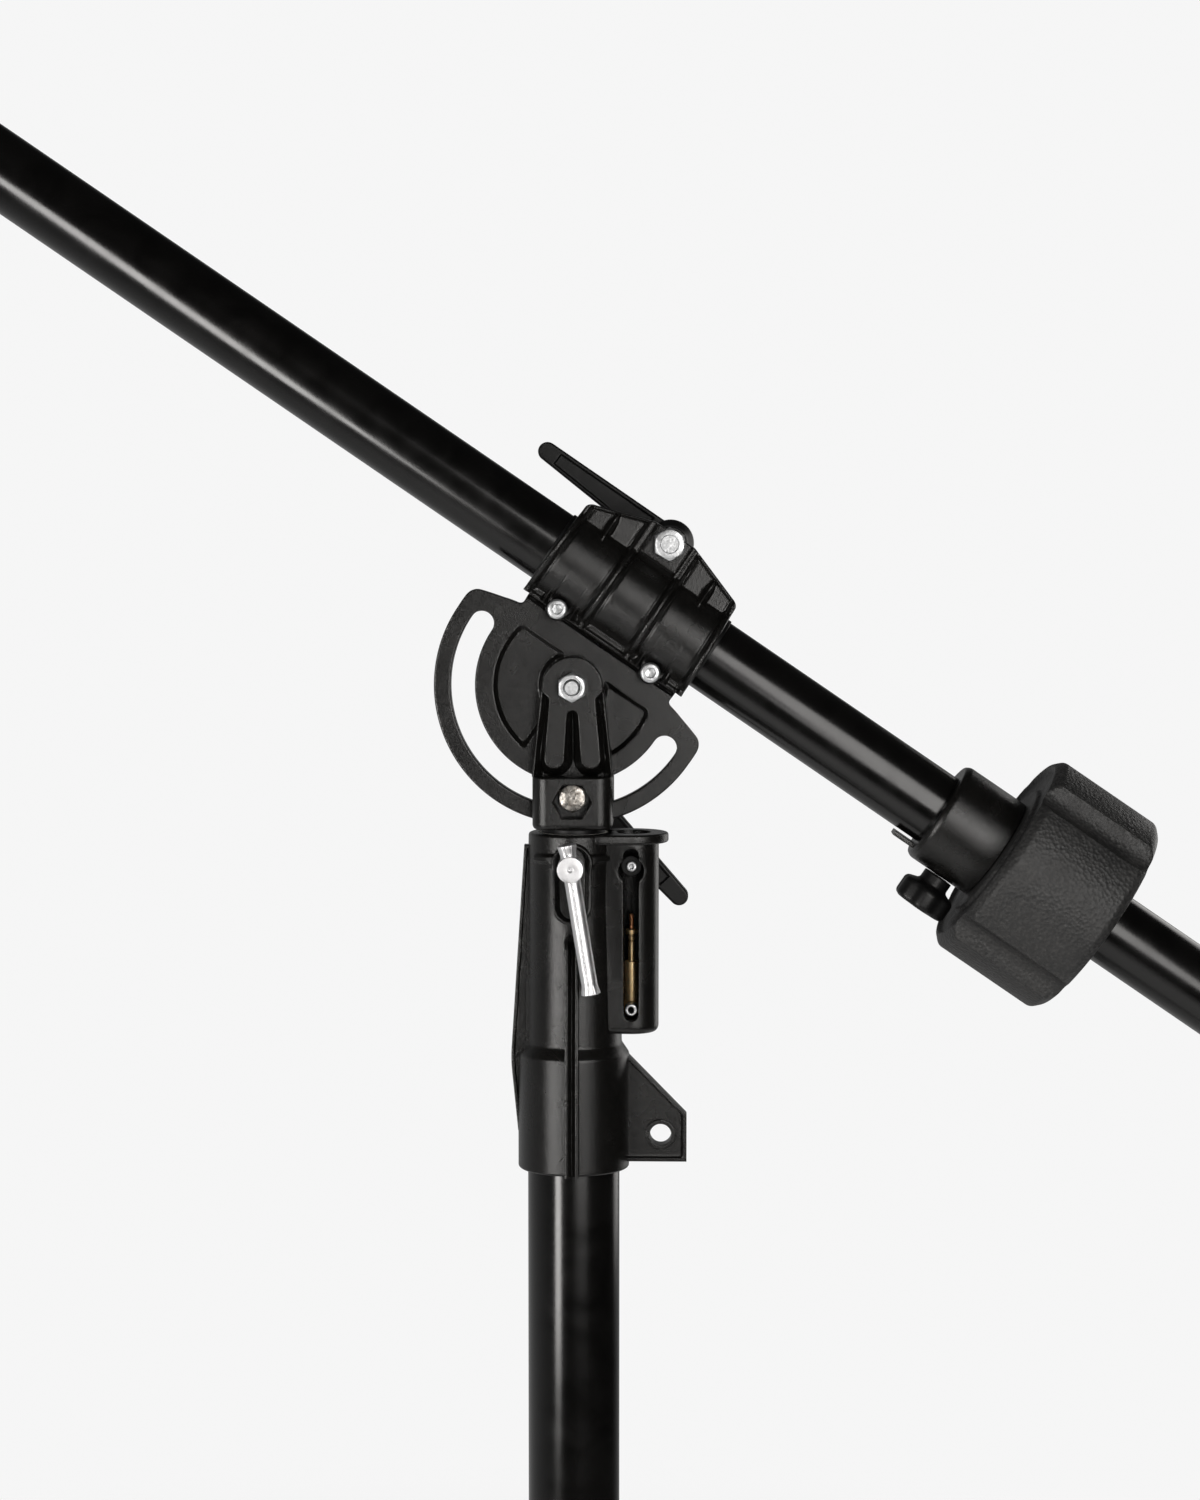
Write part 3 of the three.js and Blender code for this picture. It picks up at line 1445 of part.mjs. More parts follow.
part('clamp_liner', clampLiner(), nylon, boom);
part('clamp_front', clampHalf(), blackCasting, boom);
part('clamp_rear', mirroredInY(clampHalf()), blackCasting, boom);
for (const [side, place] of [[-1, 'left'], [1, 'right']]) {
  part(`flange_screw_${place}`, flangeScrew(side), zincSteel, boom);
  part(`flange_nut_${place}`, flangeNut(side), zincSteel, boom);
}
part('clamp_bolt', clampBolt(), zincSteel, boom);
const clampLever = clampingLever(clampLeverHubLength, clampBoltRadius, clampLeverAngleDegrees);
part('clamp_lever', moved(clampLever, 0, clampLeverSeat, clampBoltHeight), blackPlastic, boom);
part('tilt_plate', tiltPlate(), blackCasting, boom);
part('friction_disc_front', towardsFront(frictionDisc()), nylon, boom);
part('friction_disc_rear', alongY(frictionDisc()), nylon, boom);

part('yoke', yoke(), blackCasting, head);
part('pivot_bolt', pivotBolt(), zincSteel, head);
part('pivot_nut', pivotNut(), zincSteel, head);
part('slot_bush', slotBush(), nylon, head);
part('tilt_lock_bolt', tiltLockBolt(), zincSteel, head);
part('tilt_lock_washer', tiltLockWasher(), zincSteel, head);
const tiltLever = clampingLever(tiltLeverHubLength, tiltBoltRadius, tiltLeverAngleDegrees);
part('tilt_lock_lever', moved(tiltLever, 0, tiltLeverSeat, -slotRadius), blackPlastic, head);
part('swivel_washer', swivelWasher(), nylon, head);

part('riser_tube', riserTube(), aluminium, head);
part('riser_bush', riserBush(), nylon, head);
part('column_head', columnHead(), blackCasting, head);
part('lock_screw', lockScrew(), aluminium, head);
part('lock_pad', lockPad(), brass, head);
part('lock_bar', lockBar(), aluminium, head);
part('anchor_pin', anchorPin(), zincSteel, head);
part('rod_sleeve', rodSleeve(), brass, head);
part('tension_rod', tensionRod(), brass, head);
part('tension_wire', tensionWire(), copperWire, head);
part('guide_bolt', guideBolt(), zincSteel, head);

part(
  'column_tube', pipe(columnRadius, columnRadius - columnWall, columnBottom, columnTop, fineFacets),
  blackTube, model,
);
part('base_hub', baseHub(), blackCasting, model);
for (let i = 0; i < legCount; i += 1) {
  const number = i + 1;
  const spoke = new THREE.Group();
  spoke.rotation.z = legAngle(i);
  model.add(spoke);
  part(`leg_${number}`, leg(), blackTube, spoke);
  const caster = new THREE.Group();
  caster.position.x = legOuterReach;
  spoke.add(caster);
  part(`caster_fork_${number}`, casterFork(), zincSteel, caster);
  part(`caster_wheel_${number}`, casterWheel(), greyRubber, caster);
  part(`caster_axle_${number}`, casterAxle(), zincSteel, caster);
  part(`caster_brake_${number}`, casterBrake(), blackPlastic, caster);
}

// The origin is the middle of the model's footprint, on the floor
model.updateMatrixWorld(true);
const box = new THREE.Box3().setFromObject(model, true);
const middle = box.getCenter(new THREE.Vector3());
model.position.set(-middle.x, -middle.y, -box.min.z);

export default model;
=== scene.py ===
"""A boom stand: finishes and finely shaped pieces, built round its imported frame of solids.

Local shapes are in millimetres on a set of Axes, which turns them to metres in the shared frame.
"""

from __future__ import annotations

import json
import logging
import math
from dataclasses import dataclass
from enum import Enum
from typing import Callable, Sequence

import bmesh
import bpy
import numpy as np
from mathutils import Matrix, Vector


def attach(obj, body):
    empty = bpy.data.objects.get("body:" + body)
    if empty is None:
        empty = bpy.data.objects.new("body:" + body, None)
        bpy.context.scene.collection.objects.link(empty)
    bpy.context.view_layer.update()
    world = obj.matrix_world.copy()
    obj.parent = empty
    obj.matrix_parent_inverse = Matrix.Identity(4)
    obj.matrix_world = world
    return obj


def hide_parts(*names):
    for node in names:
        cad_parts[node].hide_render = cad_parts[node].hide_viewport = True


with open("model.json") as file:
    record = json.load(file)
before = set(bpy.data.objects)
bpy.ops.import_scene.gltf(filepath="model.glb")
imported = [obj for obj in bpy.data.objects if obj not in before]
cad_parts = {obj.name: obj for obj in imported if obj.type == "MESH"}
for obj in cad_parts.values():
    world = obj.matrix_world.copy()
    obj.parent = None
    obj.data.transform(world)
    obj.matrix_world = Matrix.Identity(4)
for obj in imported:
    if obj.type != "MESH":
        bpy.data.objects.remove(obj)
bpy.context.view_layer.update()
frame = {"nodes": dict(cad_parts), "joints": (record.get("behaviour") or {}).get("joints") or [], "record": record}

log = logging.getLogger("boom_stand")
logging.basicConfig(level=logging.INFO, format="%(message)s")

# Measures

MM = 0.001
TURN = 2 * math.pi
FINE_STEPS = 96
ROUND_STEPS = 64
SMALL_STEPS = 48
SHARP_DEGREES = 38.0
MERGE_METRES = 2e-6
CLEARANCE = 0.3
TINY = 1e-9
FAR = 99.0

# Short names of types

Array = np.ndarray
Piece = bpy.types.Object
Tree = bpy.types.NodeTree
Node = bpy.types.Node
Point = tuple[float, float]
Corner = tuple[float, float, float]
Color = tuple[float, float, float]
Shape = Callable[[Array, Array, Array], Array]


class Body(Enum):
    """The moving bodies that pieces ride on."""

    BASE = "base"
    RISER = "riser"
    YOKE = "yoke"
    TILT_LEVER = "tilt_lever"
    CLAMP = "clamp"
    CLAMP_LEVER = "clamp_lever"
    LINER = "liner"
    BOOM = "boom"
    COLLAR_KNOB = "collar_knob"
    INNER_BOOM = "inner_boom"
    TIP_KNOB = "tip_knob"
    WEIGHT = "weight"
    WEIGHT_KNOB = "weight_knob"
    RISER_LOCK = "riser_lock"
    LOCK_BAR = "lock_bar"


# Places

@dataclass(frozen=True)
class Axes:
    """An origin in metres and three directions at right angles, on which shapes are drawn in millimetres."""

    origin: Array
    x: Array
    y: Array
    z: Array

    def world(self, points: Array) -> Array:
        """Turns points to the shared frame.

        Args:
            points: an array whose last axis holds x, y and z in millimetres.

        Returns:
            The same array in metres: origin + x times the first number, and so on.
        """
        return self.origin + (points @ np.stack([self.x, self.y, self.z])) * MM

    def moved(self, x: float = 0.0, y: float = 0.0, z: float = 0.0) -> "Axes":
        """These axes with their origin moved by x, y and z millimetres."""
        return Axes(self.world(np.array([x, y, z], float)), self.x, self.y, self.z)

    def turned(self, degrees: float) -> "Axes":
        """These axes turned about their own y.

        Args:
            degrees: the angle, from x towards z.

        Returns:
            The turned axes, at the same origin.
        """
        angle = math.radians(degrees)
        across = self.x * math.cos(angle) + self.z * math.sin(angle)
        up = self.z * math.cos(angle) - self.x * math.sin(angle)
        return Axes(self.origin, across, self.y, up)

    def standing(self, axis: Array, across: Array) -> "Axes":
        """Axes at the same origin whose z is the given axis and whose x is across it."""
        return Axes(self.origin, across, np.cross(axis, across), axis)


def joint_named(name: str) -> dict:
    """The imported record's joint of that name."""
    return next(joint for joint in frame["joints"] if joint["name"] == name)


PIVOT = np.array(joint_named("boom_tilt")["pos_m"], float)
ALONG = np.array(joint_named("boom_slide")["axis"], float)
DEPTH = np.array([0.0, 1.0, 0.0])
UPRIGHT = np.array([0.0, 0.0, 1.0])
HEAD = Axes(PIVOT, np.array([1.0, 0.0, 0.0]), DEPTH, UPRIGHT)
BOOM = Axes(PIVOT, ALONG, DEPTH, np.cross(ALONG, DEPTH))
BOOM_HEIGHT = 66.5
TUBE = BOOM.moved(z=BOOM_HEIGHT).standing(BOOM.x, BOOM.z)
COLUMN = HEAD.standing(HEAD.z, HEAD.x)
FLOOR = Axes(np.array([PIVOT[0], PIVOT[1], 0.0]), HEAD.x, HEAD.y, HEAD.z)


def facing(axes: Axes, front: bool = True) -> Axes:
    """Axes whose z points at the viewer, along -Y, or away from them."""
    return axes.standing(-axes.y if front else axes.y, axes.x)


# Surface arithmetic

def ramp(value: Array, low: float, high: float) -> Array:
    """A smooth step from 0 at low to 1 at high: 3 t squared minus 2 t cubed."""
    share = np.clip((value - low) / (high - low), 0.0, 1.0)
    return share * share * (3 - 2 * share)


def soft_max(first: Array, second: Array, width: float) -> Array:
    """The larger of two heights, with a fillet of about that width where they meet."""
    share = np.clip(0.5 + 0.5 * (first - second) / width, 0.0, 1.0)
    return second + (first - second) * share + width * share * (1 - share) * 0.5


def blurred(heights: Array, sigma: float) -> Array:
    """Rounds the edges of a height field by a Gaussian weight over its neighbours.

    Args:
        heights: rows and columns of heights.
        sigma: the width of the weight, in cells.

    Returns:
        The smoothed heights, with the border repeated outwards.
    """
    reach = int(math.ceil(sigma * 3))
    offsets = np.arange(-reach, reach + 1)
    weights = np.exp(-0.5 * (offsets / sigma) ** 2)
    weights /= weights.sum()
    for axis in (0, 1):
        size = heights.shape[axis]
        heights = sum(
            weight * np.take(heights, np.clip(np.arange(size) + offset, 0, size - 1), axis=axis)
            for weight, offset in zip(weights, offsets)
        )
    return heights


def edge_round(distance: Array, radius: float) -> Array:
    """How far a rounded edge drops at a distance from the rim: r minus the height of a quarter circle."""
    inside = radius - np.clip(distance, 0.0, radius)
    return radius - np.sqrt(np.maximum(radius ** 2 - inside ** 2, 0.0))


def paced(count: int, length: float, radius: float) -> Array:
    """Shares from 0 to 1 with extra steps within a radius of both ends.

    Args:
        count: how many even steps there are.
        length: the length that the shares span, in millimetres.
        radius: the width of the finely stepped ends, in millimetres.

    Returns:
        The sorted shares.
    """
    ends = (1 - np.cos(np.linspace(0, math.pi / 2, 7))) * radius / length
    return np.unique(np.concatenate([np.linspace(0, 1, count), ends, 1 - ends]))


def filleted(corners: Sequence[Corner], steps: int = 6) -> Array:
    """An open line with rounded corners.

    Args:
        corners: x, y and the rounding at each corner.
        steps: points on each rounding.

    Returns:
        Points in order: each corner is a quadratic curve between a point before it and one after it.
    """
    table = np.array(corners, float)
    point, rounding = table[:, :2], table[:, 2:]

    def towards(other: Array) -> Array:
        """A point on the way from each corner to another: as far as its rounding, or half way."""
        run = np.linalg.norm(other - point, axis=1, keepdims=True)
        return point + (other - point) * np.minimum(rounding / np.maximum(run, TINY), 0.5)

    entry = towards(np.vstack([point[:1], point[:-1]]))
    leave = towards(np.vstack([point[1:], point[-1:]]))
    share = np.linspace(0, 1, steps)[None, :, None]
    rest = 1 - share
    curve = rest ** 2 * entry[:, None] + 2 * share * rest * point[:, None] + share ** 2 * leave[:, None]
    return curve.reshape(-1, 2)


def hexagon(flats: float, angles: Array, turn: float = 0.0) -> Array:
    """The radius of a hexagon at each angle.

    Args:
        flats: the width across its flats.
        angles: the angles in radians.
        turn: the angle of its first flat.

    Returns:
        Half its flats over the cosine of the angle from the nearest flat.
    """
    sector = math.radians(60)
    folded = np.mod(angles - turn + sector / 2, sector) - sector / 2
    return flats / 2 / np.cos(folded)


# Meshes

def placed(name: str, data: bpy.types.ID) -> Piece:
    """Puts data into the scene.

    Args:
        name: the new object's name.
        data: its mesh, camera or lamp.

    Returns:
        The object.
    """
    made = bpy.data.objects.new(name, data)
    bpy.context.scene.collection.objects.link(made)
    return made


def shade(mesh: bpy.types.Mesh, sharp: float) -> None:
    """Shades a mesh smooth, except along edges that turn by more than so many degrees."""
    mesh.polygons.foreach_set("use_smooth", np.ones(len(mesh.polygons), bool))
    mesh.set_sharp_from_angle(angle=math.radians(sharp))


def mesh_piece(name: str, points: Array, faces: Array, sharp: float = SHARP_DEGREES) -> Piece:
    """Makes one closed mesh from points and four-cornered faces.

    Args:
        name: the piece's name.
        points: world points in metres, one row each.
        faces: four point numbers in each row.
        sharp: edges that turn by more degrees than this are shaded sharp.

    Returns:
        The new object, at the origin, with its doubles merged and its faces pointing out.
    """
    mesh = bpy.data.meshes.new(name)
    mesh.vertices.add(len(points))
    mesh.vertices.foreach_set("co", points.astype(np.float32).ravel())
    mesh.loops.add(faces.size)
    mesh.loops.foreach_set("vertex_index", faces.astype(np.int32).ravel())
    mesh.polygons.add(len(faces))
    mesh.polygons.foreach_set("loop_start", np.arange(0, faces.size, 4, dtype=np.int32))
    mesh.update(calc_edges=True)
    mesh.validate()
    work = bmesh.new()
    work.from_mesh(mesh)
    bmesh.ops.remove_doubles(work, verts=work.verts, dist=MERGE_METRES)
    bmesh.ops.recalc_face_normals(work, faces=work.faces)
    work.to_mesh(mesh)
    work.free()
    shade(mesh, sharp)
    return placed(name, mesh)


def grid_faces(rows: int, columns: int, wrap_rows: bool, wrap_columns: bool) -> Array:
    """The faces of a grid of points that are numbered row by row.

    Args:
        rows: how many rows the grid has.
        columns: how many columns it has.
        wrap_rows: whether the last row joins the first.
        wrap_columns: whether the last column joins the first.

    Returns:
        Four point numbers in each row.
    """
    i = np.arange(rows if wrap_rows else rows - 1)[:, None]
    j = np.arange(columns if wrap_columns else columns - 1)[None, :]
    below, right = (i + 1) % rows, (j + 1) % columns
    corners = [i * columns + j, i * columns + right, below * columns + right, below * columns + j]
    return np.stack([np.broadcast_to(c, (i.size, j.size)) for c in corners], axis=-1).reshape(-1, 4)


def skin(
    name: str, grid: Array, axes: Axes, wrap_rows: bool = False, sharp: float = SHARP_DEGREES,
) -> Piece:
    """A surface over a grid of points, closed across its columns.

    Args:
        name: the piece's name.
        grid: rows and columns of x, y and z in millimetres.
        axes: the axes that it is drawn on.
        wrap_rows: whether its last row joins the first too.
        sharp: the shading angle.

    Returns:
        The object.
    """
    rows, columns, _ = grid.shape
    faces = grid_faces(rows, columns, wrap_rows, True)
    return mesh_piece(name, axes.world(grid.reshape(-1, 3)), faces, sharp)


def turned(
    name: str, profile: Array, axes: Axes, steps: int = ROUND_STEPS, sharp: float = SHARP_DEGREES,
    shape: Shape | None = None,
) -> Piece:
    """A turned piece: each profile point's radius is carried round the axes' z.

    Args:
        name: the piece's name.
        profile: radius and height in each row, from the axis to the axis or back to its first point.
        axes: where the piece stands.
        steps: points round the circle.
        sharp: the shading angle.
        shape: changes the radius, given radius, height and angle arrays.

    Returns:
        The object: x = r cos a, y = r sin a, z = height.
    """
    angle = np.linspace(0, TURN, steps, endpoint=False)[None, :]
    radius = np.broadcast_to(profile[:, :1], (len(profile), steps))
    height = np.broadcast_to(profile[:, 1:2], (len(profile), steps))
    if shape is not None:
        radius = shape(radius, height, np.broadcast_to(angle, radius.shape))
    grid = np.stack([radius * np.cos(angle), radius * np.sin(angle), height], axis=-1)
    return skin(name, grid, axes, sharp=sharp)


def ring_rows(
    name: str, rows: Sequence[tuple[Array | float, float]], axes: Axes, steps: int = ROUND_STEPS,
    sharp: float = 30.0,
) -> Piece:
    """A piece made of rings one above another.

    Args:
        name: the piece's name.
        rows: each ring's radius, one number or one for every angle, and its height.
        axes: where the piece stands.
        steps: points round each ring.
        sharp: the shading angle.

    Returns:
        The object.
    """
    angle = np.linspace(0, TURN, steps, endpoint=False)
    radius = np.stack([np.broadcast_to(np.asarray(r, float), angle.shape) for r, _ in rows])
    height = np.stack([np.full(angle.shape, z) for _, z in rows])
    grid = np.stack([radius * np.cos(angle), radius * np.sin(angle), height], axis=-1)
    return skin(name, grid, axes, sharp=sharp)


def relief(
    name: str, plan: Array, front: Array, back: Array, axes: Axes, side: float = -1.0,
    sharp: float = SHARP_DEGREES,
) -> Piece:
    """A closed plate whose front and back are height fields over one outline.

    Args:
        name: the piece's name.
        plan: x and z of each grid point; the grid's border is the outline.
        front: how far the front stands from y = 0 at each point.
        back: how far the back stands from y = 0 at each point.
        axes: the axes that it is drawn on.
        side: -1 for a piece in front of y = 0, 1 for one behind it.
        sharp: the shading angle.

    Returns:
        The object: two sheets over the same plan, joined by walls round the border.
    """
    rows, columns = front.shape
    sheets = [np.stack([plan[..., 0], side * depth, plan[..., 1]], axis=-1) for depth in (front, back)]
    points = np.concatenate([sheet.reshape(-1, 3) for sheet in sheets])
    face = grid_faces(rows, columns, False, False)
    count = rows * columns
    index = np.arange(count).reshape(rows, columns)
    border = np.concatenate([index[0, :-1], index[:-1, -1], index[-1, :0:-1], index[:0:-1, 0]])
    after = np.roll(border, -1)
    walls = np.stack([border, after, after + count, border + count], axis=-1)
    faces = np.concatenate([face, face[:, ::-1] + count, walls])
    return mesh_piece(name, axes.world(points), faces, sharp)


def drilled(piece: Piece, axes: Axes, radius: float, reach: float) -> Piece:
    """Drills a round hole through a piece.

    Args:
        piece: what is drilled.
        axes: the hole runs along their z.
        radius: the hole's radius.
        reach: how far it runs to both sides of their origin.

    Returns:
        The same piece.
    """
    profile = np.array([[0, -reach], [radius, -reach], [radius, reach], [0, reach]], float)
    drill = turned("drill", profile, axes, steps=SMALL_STEPS)
    modifier = piece.modifiers.new("hole", "BOOLEAN")
    modifier.operation = "DIFFERENCE"
    modifier.object = drill
    graph = bpy.context.evaluated_depsgraph_get()
    mesh = bpy.data.meshes.new_from_object(piece.evaluated_get(graph))
    piece.modifiers.clear()
    piece.data = mesh
    bpy.data.objects.remove(drill)
    shade(mesh, 30.0)
    return piece


# Finishes

def new_node(tree: Tree, kind: str, values: dict | None = None, **settings: object) -> Node:
    """Adds a shader node.

    Args:
        tree: the tree that it joins.
        kind: its type, without the first word.
        values: what its inputs hold, by name or number.
        settings: its own properties.

    Returns:
        The node.
    """
    node = tree.nodes.new(f"ShaderNode{kind}")
    for key, value in settings.items():
        setattr(node, key, value)
    for key, value in (values or {}).items():
        node.inputs[key].default_value = value
    return node


def link(tree: Tree, *wires: tuple[Node, str | int, Node, str | int]) -> None:
    """Links sockets: each wire gives a node and its output, then a node and its input."""
    for source, output, target, entry in wires:
        tree.links.new(source.outputs[output], target.inputs[entry])


def new_group(name: str, inputs: dict[str, float | None], *outputs: str) -> tuple[Tree, Node, Node]:
    """Starts a node group.

    Args:
        name: the group's name.
        inputs: each input's value at rest, or None for a vector.
        outputs: the names of its outputs.

    Returns:
        The group, its input node and its output node.
    """
    group = bpy.data.node_groups.new(name, "ShaderNodeTree")
    for key, value in inputs.items():
        kind = "NodeSocketVector" if value is None else "NodeSocketFloat"
        made = group.interface.new_socket(key, in_out="INPUT", socket_type=kind)
        if value is not None:
            made.default_value = value
    for key in outputs:
        group.interface.new_socket(key, in_out="OUTPUT", socket_type="NodeSocketFloat")
    return group, group.nodes.new("NodeGroupInput"), group.nodes.new("NodeGroupOutput")


def grain_group() -> Tree:
    """Fine grit on a faint orange peel.

    Returns:
        The group: a mottled height and a mask of light specks.
    """
    group, source, sink = new_group("grain", {"Vector": None, "Scale": 900.0}, "Height", "Specks")
    peel = new_node(group, "TexNoise", {"Detail": 2.0})
    grit = new_node(group, "TexVoronoi")
    high = new_node(group, "MapRange", {"From Min": 0.5, "From Max": 0.64})
    mix = new_node(group, "Math", {1: 0.3}, operation="MULTIPLY_ADD")
    link(
        group, (source, "Vector", peel, "Vector"), (source, "Scale", peel, "Scale"),
        (source, "Vector", grit, "Vector"), (source, "Scale", grit, "Scale"), (peel, "Fac", mix, 0),
        (grit, "Distance", mix, 2), (peel, "Fac", high, "Value"), (mix, 0, sink, "Height"),
        (high, 0, sink, "Specks"))
    return group


def edge_wear_and_highlight_group() -> Tree:
    """Edge wear and a painted highlight: convex edges are painted lighter.

    Returns:
        The group: a mask that is 1 where a surface is convex, broken up by a slow noise.
    """
    group, source, sink = new_group("edge_wear_and_highlight_mask", {"Vector": None, "Threshold": 0.53}, "WearAndHighlight")
    form = new_node(group, "NewGeometry")
    patches = new_node(group, "TexNoise", {"Scale": 90.0})
    reach = new_node(group, "Math", {1: 0.07}, operation="ADD")
    edge = new_node(group, "MapRange")
    broken = new_node(group, "Math", operation="MULTIPLY")
    link(
        group, (source, "Vector", patches, "Vector"), (form, "Pointiness", edge, "Value"),
        (source, "Threshold", edge, "From Min"), (source, "Threshold", reach, 0),
        (reach, 0, edge, "From Max"),
        (edge, 0, broken, 0), (patches, "Fac", broken, 1), (broken, 0, sink, "WearAndHighlight"))
    return group


def smudge_group() -> Tree:
    """Handling marks.

    Returns:
        The group: a slow, streaky mask between 0 and 1.
    """
    group, source, sink = new_group("smudges", {"Vector": None, "Scale": 40.0}, "Smudge")
    cloud = new_node(group, "TexNoise", {"Detail": 5.0, "Distortion": 0.6})
    span = new_node(group, "MapRange", {"From Min": 0.35, "From Max": 0.65})
    link(
        group, (source, "Vector", cloud, "Vector"), (source, "Scale", cloud, "Scale"),
        (cloud, "Fac", span, "Value"), (span, 0, sink, "Smudge"))
    return group


GRAIN = grain_group()
EDGE_WEAR_AND_HIGHLIGHT = edge_wear_and_highlight_group()
SMUDGES = smudge_group()


@dataclass(frozen=True)
class Finish:
    """One surface finish: its two colours, its gloss, its grain, and how its edges wear and are painted lighter as
    a painted highlight.
    """

    slot: str
    color: Color
    second_color: Color
    roughness: float
    roughness_spread: float
    metallic: float = 0.0
    grain_scale: float = 900.0
    grain_strength: float = 0.2
    grain_depth: float = 0.0002
    smudge_scale: float = 40.0
    speck_share: float = 0.5
    # Convex edges are painted lighter by these two: edge wear and a painted highlight.
    edge_wear_and_highlight: float = 0.0
    edge_wear_and_highlight_color: Color = (0.09, 0.085, 0.08)
    specular: float = 0.5
    variant: str = ""

    def material(self) -> bpy.types.Material:
        """The finish's material, built on first use.

        Returns:
            The material: grain feeds the bump, smudges feed the gloss, and both feed the colour.
        """
        name = f"{self.slot}{self.variant}_finish"
        found = bpy.data.materials.get(name)
        if found is not None:
            return found
        made = bpy.data.materials.new(name)
        made.use_nodes = True
        tree = made.node_tree
        shader = tree.nodes["Principled BSDF"]
        shader.inputs["Metallic"].default_value = self.metallic
        shader.inputs["Specular IOR Level"].default_value = self.specular
        place = new_node(tree, "TexCoord")
        grain = self.grouped(tree, GRAIN, place, Scale=self.grain_scale)
        smudges = self.grouped(tree, SMUDGES, place, Scale=self.smudge_scale)
        bump = new_node(tree, "Bump", {"Strength": self.grain_strength, "Distance": self.grain_depth})
        blend = new_node(tree, "Math", {1: self.speck_share}, operation="MULTIPLY_ADD")
        half = new_node(tree, "Math", {1: 1 - self.speck_share}, operation="MULTIPLY")
        tint = self.mix(tree, self.color, self.second_color)
        link(
            tree, (grain, "Height", bump, "Height"), (bump, "Normal", shader, "Normal"),
            (smudges, "Smudge", half, 0), (grain, "Specks", blend, 0), (half, 0, blend, 2),
            (blend, 0, tint, 0))
        # Convex edges are painted lighter: edge wear and a painted highlight along rounded edges.
        if self.edge_wear_and_highlight > 0:
            edges_worn_and_lit = self.grouped(tree, EDGE_WEAR_AND_HIGHLIGHT, place)
            amount = new_node(tree, "Math", {1: self.edge_wear_and_highlight}, operation="MULTIPLY")
            top = self.mix(tree, self.color, self.edge_wear_and_highlight_color)
            link(tree, (edges_worn_and_lit, "WearAndHighlight", amount, 0), (amount, 0, top, 0), (tint, 2, top, 6))
            tint = top
        low, high = self.roughness - self.roughness_spread, self.roughness + self.roughness_spread
        gloss = new_node(tree, "MapRange", {"To Min": low, "To Max": high})
        link(
            tree, (tint, 2, shader, "Base Color"), (smudges, "Smudge", gloss, "Value"),
            (gloss, 0, shader, "Roughness"))
        return made

    @staticmethod
    def grouped(tree: Tree, group: Tree, place: Node, **values: float) -> Node:
        """Places a shared group in a material.

        Args:
            tree: the material's tree.
            group: the shared group.
            place: the coordinates that feed it.
            values: its own values, by input name.

        Returns:
            The group's node.
        """
        node = new_node(tree, "Group", node_tree=group)
        for key, value in values.items():
            node.inputs[key].default_value = value
        link(tree, (place, "Object", node, "Vector"))
        return node

    @staticmethod
    def mix(tree: Tree, first: Color, second: Color) -> Node:
        """A colour mix with its mask on input 0 and its colour on output 2."""
        return new_node(tree, "Mix", {6: (*first, 1.0), 7: (*second, 1.0)}, data_type="RGBA")


# Its lighter second colour, laid on the grain's specks, is a random grain tone and partly a painted glint of the
# orange peel.
CASTING = Finish(
    "casting_black", (0.0015, 0.0014, 0.0013), (0.011, 0.0102, 0.009), 0.26, 0.02, grain_scale=1500.0,
    # Its convex edges are painted lighter: a painted highlight along its rounded edges.
    grain_strength=1.0, grain_depth=0.0001, speck_share=0.85, edge_wear_and_highlight=0.5, edge_wear_and_highlight_color=(0.07, 0.068, 0.065),
)
TUBE_BLACK = Finish(
    "tube_black", (0.0016, 0.0015, 0.0014), (0.003, 0.0028, 0.0026), 0.2, 0.03, grain_scale=500.0,
    grain_strength=0.04, grain_depth=0.0002, speck_share=0.1,
)
PLASTIC = Finish(
    "plastic_black", (0.003, 0.003, 0.003), (0.006, 0.006, 0.006), 0.42, 0.05, grain_scale=1300.0,
    grain_strength=0.2, grain_depth=0.0001, specular=0.32,
)
ZINC = Finish(
    "zinc_steel", (0.76, 0.77, 0.78), (0.44, 0.45, 0.46), 0.42, 0.12, metallic=1.0, grain_scale=450.0,
    grain_strength=0.4, grain_depth=0.0002, smudge_scale=300.0, speck_share=0.3,
)
BOLT_STEEL = Finish(
    "zinc_steel", (0.55, 0.52, 0.48), (0.1, 0.085, 0.07), 0.36, 0.12, metallic=1.0, grain_scale=420.0,
    grain_strength=0.6, grain_depth=0.0003, smudge_scale=260.0, speck_share=0.5, variant="_worn",
)
ALUMINIUM = Finish(
    "aluminium", (0.9, 0.9, 0.91), (0.74, 0.74, 0.75), 0.42, 0.08, metallic=1.0, grain_scale=700.0,
    grain_strength=0.12, smudge_scale=120.0, speck_share=0.3,
)
BRASS = Finish(
    "brass", (1.0, 0.78, 0.46), (0.95, 0.66, 0.34), 0.4, 0.06, metallic=1.0, grain_scale=500.0,
    grain_strength=0.15, smudge_scale=220.0, speck_share=0.3,
)
COPPER = Finish(
    "wire_copper", (0.9, 0.42, 0.22), (0.5, 0.2, 0.09), 0.42, 0.1, metallic=1.0, grain_scale=900.0,
    grain_strength=0.3, smudge_scale=500.0,
)
IRON = Finish(
    "cast_iron", (0.013, 0.013, 0.013), (0.03, 0.029, 0.028), 0.52, 0.06, grain_scale=420.0,
    # Its convex edges are painted lighter: edge wear and a painted highlight.
    grain_strength=0.7, grain_depth=0.0006, speck_share=0.6, edge_wear_and_highlight=0.4,
)
RUBBER = Finish(
    "rubber_grey", (0.05, 0.051, 0.053), (0.075, 0.075, 0.077), 0.7, 0.08, grain_scale=700.0,
    grain_strength=0.3, smudge_scale=60.0,
)
